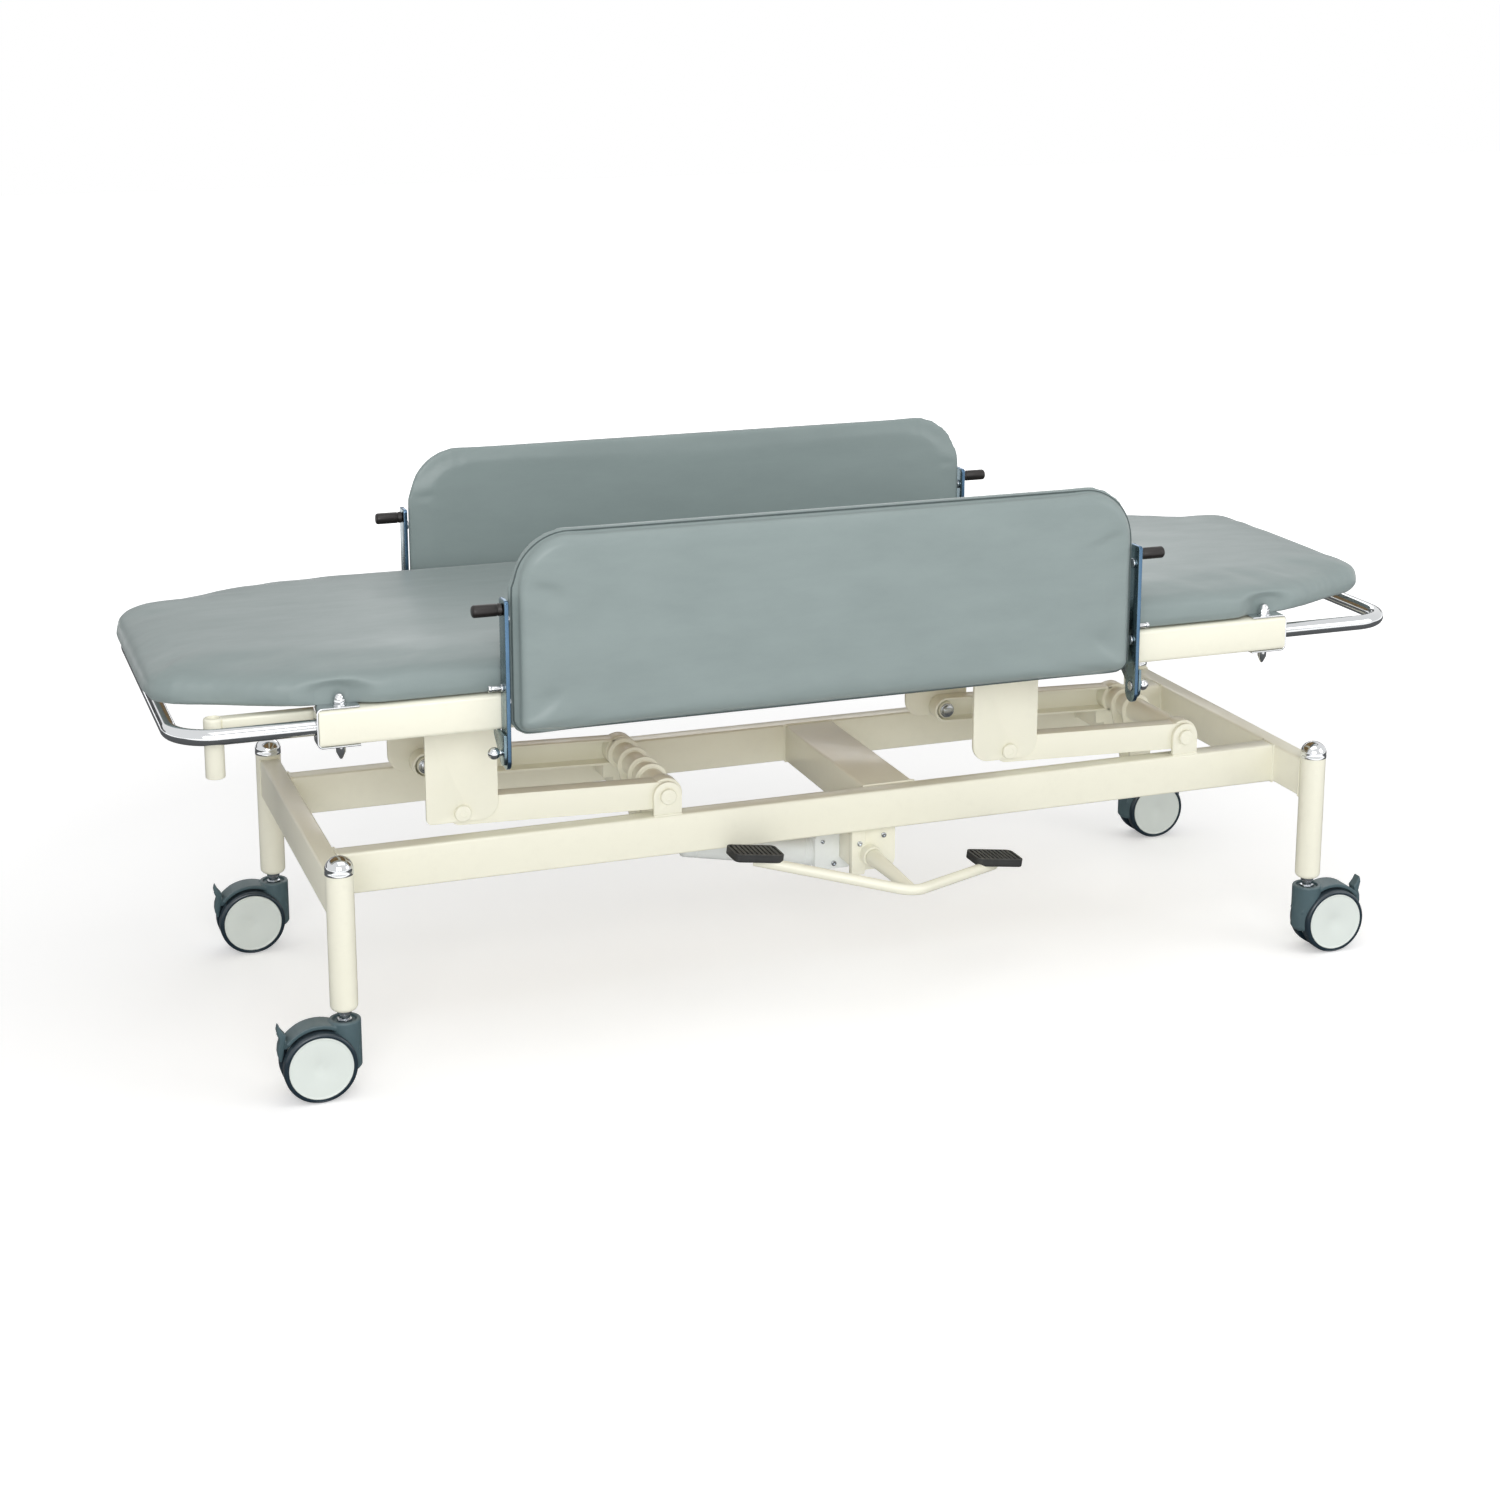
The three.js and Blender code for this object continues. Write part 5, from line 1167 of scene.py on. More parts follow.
# %% Torque tubes and levers
SHAFT_RADIUS = 19 * mm
PLATE_RADIUS = 25 * mm
PLATE_HALF = 3 * mm
LEVER_ANGLE = math.radians(82)
PUSH_REACH = 98 * mm
PUSH_END = 18 * mm
TIE_REACH = 135 * mm
TIE_END = 13 * mm
TIE_PIN_RADIUS = 5 * mm
NUT_RADIUS = 9 * mm
PUSH_PLATE_OFFSET = 17.5 * mm
TIE_PLATE_OFFSETS = {"left": (-10 * mm,), "right": (-15 * mm, 21 * mm)}
COLLAR_INSET = 12 * mm

tie_low, tie_high = span_of("tie_bar")
tie_middle = (tie_low.y + tie_high.y) / 2
cylinder_low, cylinder_high = span_of("pump_cylinder")
cylinder_middle = (cylinder_low.y + cylinder_high.y) / 2


def lever_end(lower, reach):
    return (lower.x + reach * math.cos(LEVER_ANGLE), lower.z - reach * math.sin(LEVER_ANGLE))


def lever_plate(name, lower, reach, end_radius, y):
    outline = link(flat(lower), PLATE_RADIUS, lever_end(lower, reach), end_radius, 20)
    plate = extrude(name, outline, "y", (y - PLATE_HALF, y + PLATE_HALF))
    return eased(plate, 0.8 * mm, 2)

# %% [markdown]
# Each tube is one joined piece: the tube, its plates with a bead on both sides, and the pins at the
# plates' ends.

# %% Torque tubes
def torque_tube(side, lower):
    tube_reach = (near_reach[1] + 0.3 * mm, far_reach[0] - 0.3 * mm)
    name = f"{side}_torque"
    pieces = [rod(f"{name}_tube", "y", (lower.x, 0, lower.z), SHAFT_RADIUS, tube_reach, 1.2 * mm, 48)]
    plates = [(tie_middle + offset, TIE_REACH, TIE_END) for offset in TIE_PLATE_OFFSETS[side]]
    if side == "left":
        plates += [(cylinder_middle + way * PUSH_PLATE_OFFSET, PUSH_REACH, PUSH_END) for way in (-1, 1)]
        x, z = lever_end(lower, PUSH_REACH)
        push = (cylinder_middle - PUSH_PLATE_OFFSET - PLATE_HALF - 4 * mm,
                cylinder_middle + PUSH_PLATE_OFFSET + PLATE_HALF + 4 * mm)
        pieces.append(rod(f"{name}_push_pin", "y", (x, 0, z), PIN_RADIUS, push))
    for number, (y, reach, end_radius) in enumerate(plates):
        pieces.append(lever_plate(f"{name}_lever_{number}", lower, reach, end_radius, y))
        for way in (-1, 1):
            centre = (lower.x, y + way * PLATE_HALF, lower.z)
            pieces.append(ring_weld(f"{name}_bead_{number}_{way}", "y", centre, SHAFT_RADIUS, 1.5 * mm))
    collar_y = far_reach[0] - COLLAR_INSET
    pieces.append(rod(f"{name}_collar", "y", (lower.x, 0, lower.z), PLATE_RADIUS,
                      (collar_y - PLATE_HALF, collar_y + PLATE_HALF)) if side == "left" else
                  ring_weld(f"{name}_end_bead", "y", (lower.x, tube_reach[1], lower.z),
                            SHAFT_RADIUS - 1 * mm))
    x, z = lever_end(lower, TIE_REACH)
    inner = tie_middle + min(TIE_PLATE_OFFSETS[side])
    outer = tie_middle + (TIE_PLATE_OFFSETS["right"][1] if side == "right" else 14 * mm)
    pieces.append(rod(f"{name}_tie_pin", "y", (x, 0, z), TIE_PIN_RADIUS, (inner - PLATE_HALF, outer),
                      0.8 * mm))
    pieces.append(rod(f"{name}_tie_spacer", "y", (x, 0, z), NUT_RADIUS, (inner, tie_low.y - 0.3 * mm),
                      0.8 * mm))
    pieces.append(rod(f"{name}_tie_washer", "y", (x, 0, z), NUT_RADIUS,
                      (tie_high.y + 0.3 * mm, outer - 4 * mm),
                      0.8 * mm))
    for piece in pieces:
        painted(piece, cream)
    if side == "left":
        nut = hex_nut(f"{name}_tie_nut", "y", (x, outer - 4 * mm, z), NUT_RADIUS, 4 * mm, 1, bright_steel)
        pieces.append(nut)
    return joined(f"{side}_torque_tube", pieces)


for side, lower in zip(("left", "right"), lower_pivots):
    fitted(torque_tube(side, lower), "cream_paint", f"{side}_lift_shaft")

tie_ends = [lever_end(lower, TIE_REACH) for lower in lower_pivots]
tie_outline = link(tie_ends[0], 8 * mm, tie_ends[1], 8 * mm, 16)
tie_rod = extrude("tie_rod", tie_outline, "y", (tie_low.y, tie_high.y))
tie_holes = [rod(f"tie_hole_{number}", "y", (x, 0, z), TIE_PIN_RADIUS + PIN_CLEARANCE,
                 (tie_low.y - 2 * mm, tie_high.y + 2 * mm), 0.2 * mm)
             for number, (x, z) in enumerate(tie_ends)]
tie_rod = painted(eased(carved(tie_rod, *tie_holes), 0.8 * mm, 2), cream)
fitted(tie_rod, "cream_paint", "tie_bar")
print("torque tubes, levers and tie bar")

# %% [markdown]
# The pump hangs under the near rail: a valve block, a cylinder that leans up to the left lever
# plates, and the rod that comes out of it. Its shaft goes out to the foot pedal through a turned
# ring on the mounting plate.

# %% Hydraulic unit
CYLINDER_TILT = math.radians(11)
CYLINDER_RADIUS = 25 * mm
NOSE_START = 31 * mm
ROD_RADIUS = 10 * mm
push_at = lever_end(lower_pivots[0], PUSH_REACH)
along_cylinder = Matrix.Translation((push_at[0], cylinder_middle, push_at[1])) @ Matrix.Rotation(
    CYLINDER_TILT, 4, "Y")
block_low, block_high = span_of("pump_block")
barrel_length = (block_low.x + 4 * mm - push_at[0]) / math.cos(CYLINDER_TILT)
rim = CYLINDER_RADIUS

barrel = lathe("cylinder_barrel", [
    (ROD_RADIUS + 0.3 * mm, NOSE_START + 30 * mm), (ROD_RADIUS + 0.3 * mm, NOSE_START + 1 * mm),
    (ROD_RADIUS + 1.2 * mm, NOSE_START), (13 * mm, NOSE_START), (14 * mm, NOSE_START + 1 * mm),
    (15.6 * mm, NOSE_START + 5.0 * mm), (21.8 * mm, NOSE_START + 9.5 * mm),
    (rim - 0.8 * mm, NOSE_START + 11.4 * mm),
    (rim, NOSE_START + 13 * mm), (rim, NOSE_START + 27 * mm), (rim - 0.7 * mm, NOSE_START + 27.8 * mm),
    (rim - 0.7 * mm, NOSE_START + 29.6 * mm), (rim, NOSE_START + 30.4 * mm), (rim, barrel_length - 17 * mm),
    (rim - 0.7 * mm, barrel_length - 16.2 * mm), (rim - 0.7 * mm, barrel_length - 14.6 * mm),
    (rim, barrel_length - 13.8 * mm), (rim, barrel_length), (0, barrel_length)], "x", (0, 0, 0), 64)
barrel = moved(painted(smooth(barrel, 28), pump_paint), along_cylinder)
fitted(barrel, "pump_paint", "pump_cylinder")

PAD_FACE = 8.3 * mm
PAD_THICKNESS = 6 * mm
push_pad = eased(extrude("rod_pad", rounded((-13 * mm, 13 * mm), (-18 * mm, 18 * mm), [3 * mm] * 4), "x",
                         (PAD_FACE, PAD_FACE + PAD_THICKNESS)), 0.8 * mm, 2)
piston_bar = rod("rod_bar", "x", (0, 0, 0), ROD_RADIUS, (PAD_FACE + 2 * mm, PAD_FACE + 196 * mm), 1 * mm,
                 48)
piston = moved(painted(joined("piston", [push_pad, piston_bar]), chrome), along_cylinder)
fitted(piston, "chrome", "piston_rod")

# %% [markdown]
# The valve block is a machined casting, so its outline has cut corners and its screws sit on the
# face.

# %% Valve block
def chamfered(u, v, size):
    return [(u[0] + size, v[0]), (u[1] - size, v[0]), (u[1], v[0] + size), (u[1], v[1] - size),
            (u[1] - size, v[1]), (u[0] + size, v[1]), (u[0], v[1] - size), (u[0], v[0] + size)]


valve_block = extrude("valve_body", chamfered((block_low.x, block_high.x), (block_low.z, block_high.z),
                                              5 * mm),
                      "y", (block_low.y, block_high.y))
valve_block = painted(eased(valve_block, 0.9 * mm, 3), pump_paint)
block_screws = [cap_screw(f"block_screw_{number}", "y", (block_low.x + across, block_low.y,
                                                         block_low.z + up),
                          radius, 3 * mm, -1, bright_steel)
                for number, (across, up, radius) in enumerate([(0.030, 0.009, 4 * mm),
                                                               (0.012, 0.045, 3 * mm)])]
plug = hex_nut("block_plug", "x", (block_high.x, (block_low.y + block_high.y) / 2, block_low.z + 26 * mm),
               9 * mm, 1.5 * mm, 1, bright_steel)
seat_ring = ring_weld("cylinder_seat", "x", (block_low.x, cylinder_middle,
                                             push_at[1] - math.tan(CYLINDER_TILT)
                                             * (block_low.x - push_at[0])), CYLINDER_RADIUS, 1.6 * mm)
painted(seat_ring, pump_paint)
fitted(joined("valve_block", [valve_block, *block_screws, plug, seat_ring]), "pump_paint", "pump_block")

mount_low, mount_high = span_of("pump_mount")
RING_LENGTH = 18 * mm
RING_RADIUS = 15.5 * mm
PLATE_THICKNESS = 12 * mm
FLANGE_WIDTH = 21 * mm
HUB_BOTTOM = 180 * mm
pedal_axis = pivot("pedal_press")
plate_face = (mount_low.y + RING_LENGTH, mount_low.y + RING_LENGTH + PLATE_THICKNESS)
flange_x = (mount_low.x, mount_low.x + FLANGE_WIDTH)
flange = eased(extrude("mount_flange", rounded(flange_x, (mount_low.z, mount_high.z),
                                               [2 * mm, 2 * mm, 0, 0]),
                       "y", plate_face), 0.8 * mm, 2)
hub_outline = rounded((flange_x[1] - 2 * mm, mount_high.x), (HUB_BOTTOM, mount_high.z), [0, 14 * mm, 0, 0])
hub_plate = eased(extrude("mount_hub", hub_outline, "y", (plate_face[0] + 1.5 * mm, plate_face[1])),
                  0.8 * mm, 2)
rib_plate = eased(extrude("mount_rib", rounded(flange_x, (186 * mm, 236 * mm), [2 * mm] * 4), "y",
                          (plate_face[1] - 2 * mm, mount_high.y)), 0.8 * mm, 2)
shaft_ring = lathe("mount_ring", [
    (8.4 * mm, mount_low.y + 5 * mm), (8.4 * mm, mount_low.y + 1 * mm), (9.2 * mm, mount_low.y),
    (RING_RADIUS - 1.2 * mm, mount_low.y), (RING_RADIUS, mount_low.y + 1.2 * mm),
    (RING_RADIUS, plate_face[0] + 2 * mm), (8.4 * mm, plate_face[0] + 2 * mm),
    (8.4 * mm, mount_low.y + 5 * mm)], "y", (pedal_axis.x, 0, pedal_axis.z), 48)
smooth(shaft_ring, 35)
mount_pieces = [painted(piece, cream) for piece in (flange, hub_plate, rib_plate, shaft_ring)]
mount_pieces.append(cap_screw("mount_screw_0", "y", (flange_x[0] + 12 * mm, plate_face[0], 223 * mm),
                              4 * mm,
                              2.6 * mm, -1, bright_steel))
mount_pieces.append(cap_screw("mount_screw_1", "y", (pedal_axis.x + 24 * mm, plate_face[0] + 1.5 * mm,
                                                     232 * mm),
                              4 * mm, 2.6 * mm, -1, bright_steel))
mount_pieces.append(painted(ring_weld("mount_bead", "y", (pedal_axis.x, plate_face[0], pedal_axis.z),
                                      RING_RADIUS, 1.3 * mm), cream))
fitted(joined("pump_bracket", mount_pieces), "cream_paint", "pump_mount")
print("pump, rod and bracket")

# %% [markdown]
# A bent round bar makes a wide V with a rubber pad at each tip. The pads' ribs are cut grooves, since
# a bump would vanish at their edge.

# %% Foot pedal
PEDAL_TILT = math.radians(8)
BAR_RADIUS = 8 * mm
APEX_OUT = 345 * mm
END_OUT = 230 * mm
LEFT_REACH = 204 * mm
RIGHT_REACH = 180 * mm
END_RISE = 4 * mm
BEND = 40 * mm
PAD_SIZE = (76 * mm, 48 * mm, 12 * mm)
PAD_CORNER = 9 * mm
PAD_SINK = 4 * mm
RIB_DEPTH = 2.4 * mm
RIB_COUNT = 9
row_shift = (rail_outer[0] + far_outer[1]) / 2
pedal_seat = Matrix.Translation((pedal_axis.x, 0, pedal_axis.z)) @ Matrix.Rotation(PEDAL_TILT, 4, "Y")
apex = Vector((0, row_shift - APEX_OUT, 0))
ends = {"left": Vector((-LEFT_REACH, row_shift - END_OUT, END_RISE)),
        "right": Vector((RIGHT_REACH, row_shift - END_OUT, END_RISE))}
v_bar = sweep("pedal_v", bent([ends["left"], apex, ends["right"]], BEND, 24), BAR_RADIUS, 32)
smooth(v_bar, 60)
ring_face = mount_low.y - 0.5 * mm
hub = lathe("pedal_hub", [
    (0, apex.y + 9 * mm - BAR_RADIUS), (BAR_RADIUS * 0.8, apex.y + 6 * mm), (BAR_RADIUS, apex.y + 12 * mm),
    (12 * mm, ring_face - 15 * mm), (12.6 * mm, ring_face - 8.2 * mm), (12.9 * mm, ring_face - 7 * mm),
    (13 * mm, ring_face - 1 * mm), (12 * mm, ring_face), (8 * mm, ring_face),
    (8 * mm, row_shift - 150 * mm), (0, row_shift - 150 * mm)], "y", (0, 0, 0), 48)
smooth(hub, 50)
pedal_frame = painted(joined("pedal_frame", [v_bar, hub]), cream)
fitted(moved(pedal_frame, pedal_seat), "cream_paint", "pedal_bar")


def foot_pad(name, end):
    """A rubber pad with a rim and cross ribs, pushed over the end of the bar."""
    length, width, height = PAD_SIZE
    foot = end.z + BAR_RADIUS - PAD_SINK
    top = foot + height
    x = (end.x - length / 2, end.x + length / 2)
    y = (end.y - width / 2, end.y + width / 2)
    core = extrude(f"{name}_core", rounded(x, y, [PAD_CORNER] * 4, 10), "z", (foot, top - RIB_DEPTH))
    inner = rounded((x[0] + 3.5 * mm, x[1] - 3.5 * mm), (y[0] + 3.5 * mm, y[1] - 3.5 * mm), [6 * mm] * 4, 8)
    rim_piece = extrude(f"{name}_rim", rounded(x, y, [PAD_CORNER] * 4, 10), "z", (top - 4 * mm, top),
                        [inner])
    pieces = [eased(core, 1.5 * mm, 3), eased(rim_piece, 0.6 * mm, 2)]
    pitch = (length - 12 * mm) / RIB_COUNT
    for number in range(RIB_COUNT):
        middle = x[0] + 6 * mm + pitch * (number + 0.5)
        rib = extrude(f"{name}_rib_{number}", rounded((middle - pitch * 0.3, middle + pitch * 0.3),
                                                      (y[0] + 3 * mm, y[1] - 3 * mm), [0.5 * mm] * 4, 2),
                      "z", (top - 4 * mm, top))
        pieces.append(eased(rib, 0.5 * mm, 2))
    return moved(painted(joined(name, pieces), black_rubber), pedal_seat)


for side, end in ends.items():
    fitted(foot_pad(f"{side}_foot_pad", end), "rubber", f"pedal_pad_{side}")
print("pedal with two pads")
# %% [markdown]
# The bed frame is two side tubes with cross tubes between them. Two of the cross tubes carry the
# plates that hang down to the upper pivots. The chrome push handles slide into the ends of the side
# tubes, and a chrome saddle with a domed nut holds each end.

# %% Bed tubes
TUBE_CORNER = 6 * mm
TUBE_WIDTH = 30 * mm
BRACKET_REACH = (474.3 * mm, 478.3 * mm)
BRACKET_RADIUS = 15 * mm
BRACKET_BELOW = 3 * mm
BRACKET_BACK = 4 * mm
BRACKET_BACK_HEIGHT = 12 * mm
BUSH_RADIUS = 7 * mm
hinges = {"near": pivot("guard_near_fold"), "far": pivot("guard_far_fold")}
tube_x = (span_of("frame_tube_near")[0].x, span_of("frame_tube_near")[1].x)
near_tube = (span_of("frame_tube_near")[1].y - TUBE_WIDTH, span_of("frame_tube_near")[1].y)
far_tube = (span_of("frame_tube_far")[0].y, span_of("frame_tube_far")[0].y + TUBE_WIDTH)
tube_z = (span_of("frame_end_tube_left")[0].z, span_of("frame_end_tube_left")[1].z)
guard_low, guard_high = span_of("guard_pad_near")
guard_middle = (guard_low.x + guard_high.x) / 2

# %% [markdown]
# Each guard turns on a lug that is welded under the side tube, with a bright bush in it.

# %% Guard brackets
def guard_bracket(side, end):
    """The plated lug under the side tube that carries one end of a guard on its hinge bush."""
    hinge = hinges[side]
    inward = 1 if side == "near" else -1
    tube = near_tube if side == "near" else far_tube
    back = (tube[1] if side == "near" else tube[0]) - inward * BRACKET_BACK
    under = tube_z[0] + 0.6 * mm
    face = sorted(guard_middle + end * reach for reach in BRACKET_REACH)
    name = f"{side}_bracket_{'left' if end < 0 else 'right'}"
    nose = [(hinge.y + inward * u, v) for u, v in
            arc((0, hinge.z - BRACKET_BELOW), BRACKET_RADIUS, 180, 340, 24)]
    outline = [(back, under), (hinge.y - inward * BRACKET_RADIUS, under), *nose,
               (back, under - BRACKET_BACK_HEIGHT)]
    lug = painted(eased(extrude(f"{name}_lug", outline, "x", face), 0.7 * mm, 2), plated)
    pieces = [lug]
    for x in face:
        run = [(x, tube[0] + TUBE_CORNER, tube_z[0]), (x, tube[1] - TUBE_CORNER, tube_z[0])]
        pieces.append(painted(weld(f"{name}_weld_{x:.3f}", run, False, 1.6 * mm), cream))
    inner = guard_middle + end * (BRACKET_REACH[0] - 6.6 * mm)
    sleeve = rod(f"{name}_bush", "x", (0, hinge.y, hinge.z), BUSH_RADIUS,
                 (inner, guard_middle + end * (BRACKET_REACH[0] + 2 * mm)), 0.6 * mm)
    return [*pieces, painted(sleeve, bright_steel)]

# %% [markdown]
# The side tubes are plain box tubes with open ends, which take the push handles.

# %% Side tubes
def side_tube(side, tube):
    name = f"{side}_side_tube"
    pieces = [painted(bar_prism(f"{name}_bar", "x", tube, tube_z, tube_x, TUBE_CORNER, 1.2 * mm), cream)]
    for end in (-1, 1):
        pieces += guard_bracket(side, end)
    return joined(name, pieces)


fitted(side_tube("near", near_tube), "cream_paint", "frame_tube_near")
fitted(side_tube("far", far_tube), "cream_paint", "frame_tube_far")

PLATE_CORNER = 26 * mm
PLATE_SMALL_CORNER = 8 * mm
CROSS_WIDTH = 40 * mm

# %% [markdown]
# A cross tube with two hanging plates ties the side tubes to the arms at each end of the lift.

# %% Hangers
def cross_tube(name, middle, low, high):
    across = (middle - CROSS_WIDTH / 2, middle + CROSS_WIDTH / 2)
    bar = bar_prism(f"{name}_bar", "y", across, tube_z, (low, high), 4 * mm)
    seams = [weld(f"{name}_seam_{y:.3f}", rectangle("y", across, tube_z, y), True, 1.8 * mm)
             for y in (low, high)]
    return [bar, *seams]


def hanger(side, lower):
    low, high = span_of(f"hanger_{side}")
    name = f"{side}_hanger"
    reach = span_of("frame_end_tube_left")
    pieces = cross_tube(name, (low.x + high.x) / 2, reach[0].y, reach[1].y)
    x, z = lower.x - REACH_BACK, lower.z + RISE
    sharp = PLATE_SMALL_CORNER if side == "left" else PLATE_CORNER
    near_outline = rounded((low.x, high.x), (low.z, tube_z[0] + 1.2 * mm), [sharp, PLATE_CORNER, 0, 0], 12)
    near_plate = extrude(f"{name}_near_plate", near_outline, "y", near_lug)
    hole = rod(f"{name}_hole", "y", (x, 0, z), PIN_RADIUS + PIN_CLEARANCE,
               (near_lug[0] - 2 * mm, near_lug[1] + 2 * mm), 0.2 * mm)
    far_outline = rounded((low.x, high.x), (low.z, tube_z[0] + 1.2 * mm),
                          [PLATE_CORNER, PLATE_CORNER, 0, 0], 12)
    far_plate = extrude(f"{name}_far_plate", far_outline, "y", far_lug)
    pieces += [eased(carved(near_plate, hole), 0.8 * mm, 2), eased(far_plate, 0.8 * mm, 2)]
    middle = (low.x + high.x) / 2
    for faces in (near_lug, far_lug):
        for y in faces:
            run = [(middle - CROSS_WIDTH / 2, y, tube_z[0]), (middle + CROSS_WIDTH / 2, y, tube_z[0])]
            pieces.append(weld(f"{name}_bead_{y:.3f}", run, False, 2 * mm))
    pieces.append(pivot_head(f"{name}_pin_head", x, far_lug[1], z, 1))
    pieces.append(rod(f"{name}_pin", "y", (x, 0, z), PIN_RADIUS, (far_reach[0] - 0.3 * mm, far_lug[1])))
    pieces = [painted(piece, cream) for piece in pieces]
    washer = rod(f"{name}_washer", "y", (x, 0, z), 11.5 * mm,
                 (far_reach[0] - 2.1 * mm, far_reach[0] - 0.3 * mm),
                 0.5 * mm)
    pieces.append(painted(washer, bright_steel))
    pieces.append(hex_nut(f"{name}_nut", "y", (x, far_reach[0] - 2 * mm, z), 9 * mm, 4.6 * mm, -1,
                          bright_steel))
    return joined(name, pieces)


for side, lower in zip(("left", "right"), lower_pivots):
    fitted(hanger(side, lower), "cream_paint", f"hanger_{side}")
    low, high = span_of(f"frame_end_tube_{side}")
    end_tube = painted(joined(f"{side}_end_tube", cross_tube(f"{side}_end_cross", (low.x + high.x) / 2,
                                                             low.y, high.y)), cream)
    fitted(end_tube, "cream_paint", f"frame_end_tube_{side}")
print("bed tubes and hangers")

# %% [markdown]
# The push handles are bent chrome tubes that slide into the side tubes. Polished chrome shows every
# facet, so the sweep has many sides and the bends many steps.

# %% Push handles and saddles
HANDLE_RADIUS = 11 * mm
HANDLE_BEND = 58 * mm
HANDLE_OUT = {"left": 186 * mm, "right": 195 * mm}
HANDLE_INSERT = 110 * mm
SADDLE_THICKNESS = 2.5 * mm
SADDLE_LENGTH = 55 * mm
SADDLE_WIDTH = 26 * mm
SADDLE_CORNER = 8 * mm
BOLT_INSET = 30 * mm
NUT_HEIGHT = 17 * mm
NUT_RADIUS_SMALL = 8.5 * mm
tube_middles = {"near": (near_tube[0] + near_tube[1]) / 2, "far": (far_tube[0] + far_tube[1]) / 2}
handle_z = (tube_z[0] + tube_z[1]) / 2


def push_handle(side, end):
    mouth = tube_x[0] if end < 0 else tube_x[1]
    outer = mouth + end * HANDLE_OUT[side]
    root = mouth - end * HANDLE_INSERT
    corners = [Vector((root, tube_middles["near"], handle_z)),
               Vector((outer, tube_middles["near"], handle_z)),
               Vector((outer, tube_middles["far"], handle_z)),
               Vector((root, tube_middles["far"], handle_z))]
    bar = sweep(f"{side}_handle", bent(corners, HANDLE_BEND, 32), HANDLE_RADIUS, 40)
    return painted(smooth(bar, 60), chrome)

# %% [markdown]
# A chrome strap and a bolt with a domed nut hold each handle. The dome is a lathe over a six-sided
# nut.

# %% Saddles and nuts
def domed_nut(name, x, y):
    """A domed nut over a washer above the saddle, and the bolt's cone-shaped nut below it."""
    seat = tube_z[1] + SADDLE_THICKNESS + 0.2 * mm
    foot = tube_z[0] - SADDLE_THICKNESS - 0.2 * mm
    washer = rod(f"{name}_washer", "z", (x, y, 0), 10 * mm, (seat, seat + 1.6 * mm), 0.5 * mm, 40)
    hexagon = hex_nut(f"{name}_hex", "z", (x, y, seat + 1.6 * mm), NUT_RADIUS_SMALL, 7 * mm, 1, chrome)
    top = seat + NUT_HEIGHT
    ball = 6.9 * mm
    dome_profile = [(ball, seat + 6 * mm)] + [
        (ball * math.cos(math.radians(turn)), top - ball + ball * math.sin(math.radians(turn)))
        for turn in range(0, 90, 10)] + [(0, top)]
    dome = smooth(lathe(f"{name}_dome", [(0, seat + 6 * mm), *dome_profile], "z", (x, y, 0), 32), 50)
    cone_profile = [(0, foot), (6.5 * mm, foot), (6.5 * mm, foot - 8.5 * mm), (6.0 * mm, foot - 10 * mm),
                    (2.4 * mm, foot - 17.6 * mm), (1.4 * mm, foot - 19 * mm), (0, foot - 19 * mm)]
    cone = smooth(lathe(f"{name}_cone", cone_profile, "z", (x, y, 0), 32), 40)
    return [painted(piece, chrome) for piece in (washer, hexagon, dome, cone)]


def saddle(side, name, end):
    """The strap bent round the end of a side tube, with a hole that the handle comes through."""
    y = tube_middles[side]
    mouth = tube_x[0] if end < 0 else tube_x[1]
    gap = 0.3 * mm
    x = sorted((mouth + end * (SADDLE_THICKNESS + gap), mouth - end * SADDLE_LENGTH))
    z = (tube_z[0] - SADDLE_THICKNESS - gap, tube_z[1] + SADDLE_THICKNESS + gap)
    radii = [SADDLE_CORNER, 0, 0, SADDLE_CORNER] if end < 0 else [0, SADDLE_CORNER, SADDLE_CORNER, 0]
    inner_radii = [max(radius - SADDLE_THICKNESS, 0) for radius in radii]
    slot_x = sorted((mouth + end * gap, mouth - end * (SADDLE_LENGTH + 5 * mm)))
    sheet = extrude(f"{name}_sheet", rounded(x, z, radii, 10), "y",
                    (y - SADDLE_WIDTH / 2, y + SADDLE_WIDTH / 2))
    slot = extrude(f"{name}_slot", rounded(slot_x, (tube_z[0] - gap, tube_z[1] + gap), inner_radii, 10),
                   "y",
                   (y - SADDLE_WIDTH, y + SADDLE_WIDTH))
    hole = rod(f"{name}_hole", "x", (0, y, handle_z), HANDLE_RADIUS + 1 * mm,
               (mouth - 10 * mm, mouth + 10 * mm), 0.2 * mm, 48)
    strap = painted(eased(carved(sheet, slot, hole), 0.7 * mm, 3), chrome)
    bolt_x = mouth - end * BOLT_INSET
    return joined(name, [strap, *domed_nut(name, bolt_x, y)])


for side, end in (("left", -1), ("right", 1)):
    fitted(push_handle(side, end), "chrome", f"push_handle_{side}")
    for across in ("near", "far"):
        strap = saddle(across, f"{across}_{side}_saddle", end)
        fitted(strap, "chrome", f"handle_clamp_{across}_{side}")
print("handles and saddles")

# %% [markdown]
# A short upright tube on a flat stalk takes the foot of a drip pole. It is a lathe with a real bore,
# because one looks down into it from above.

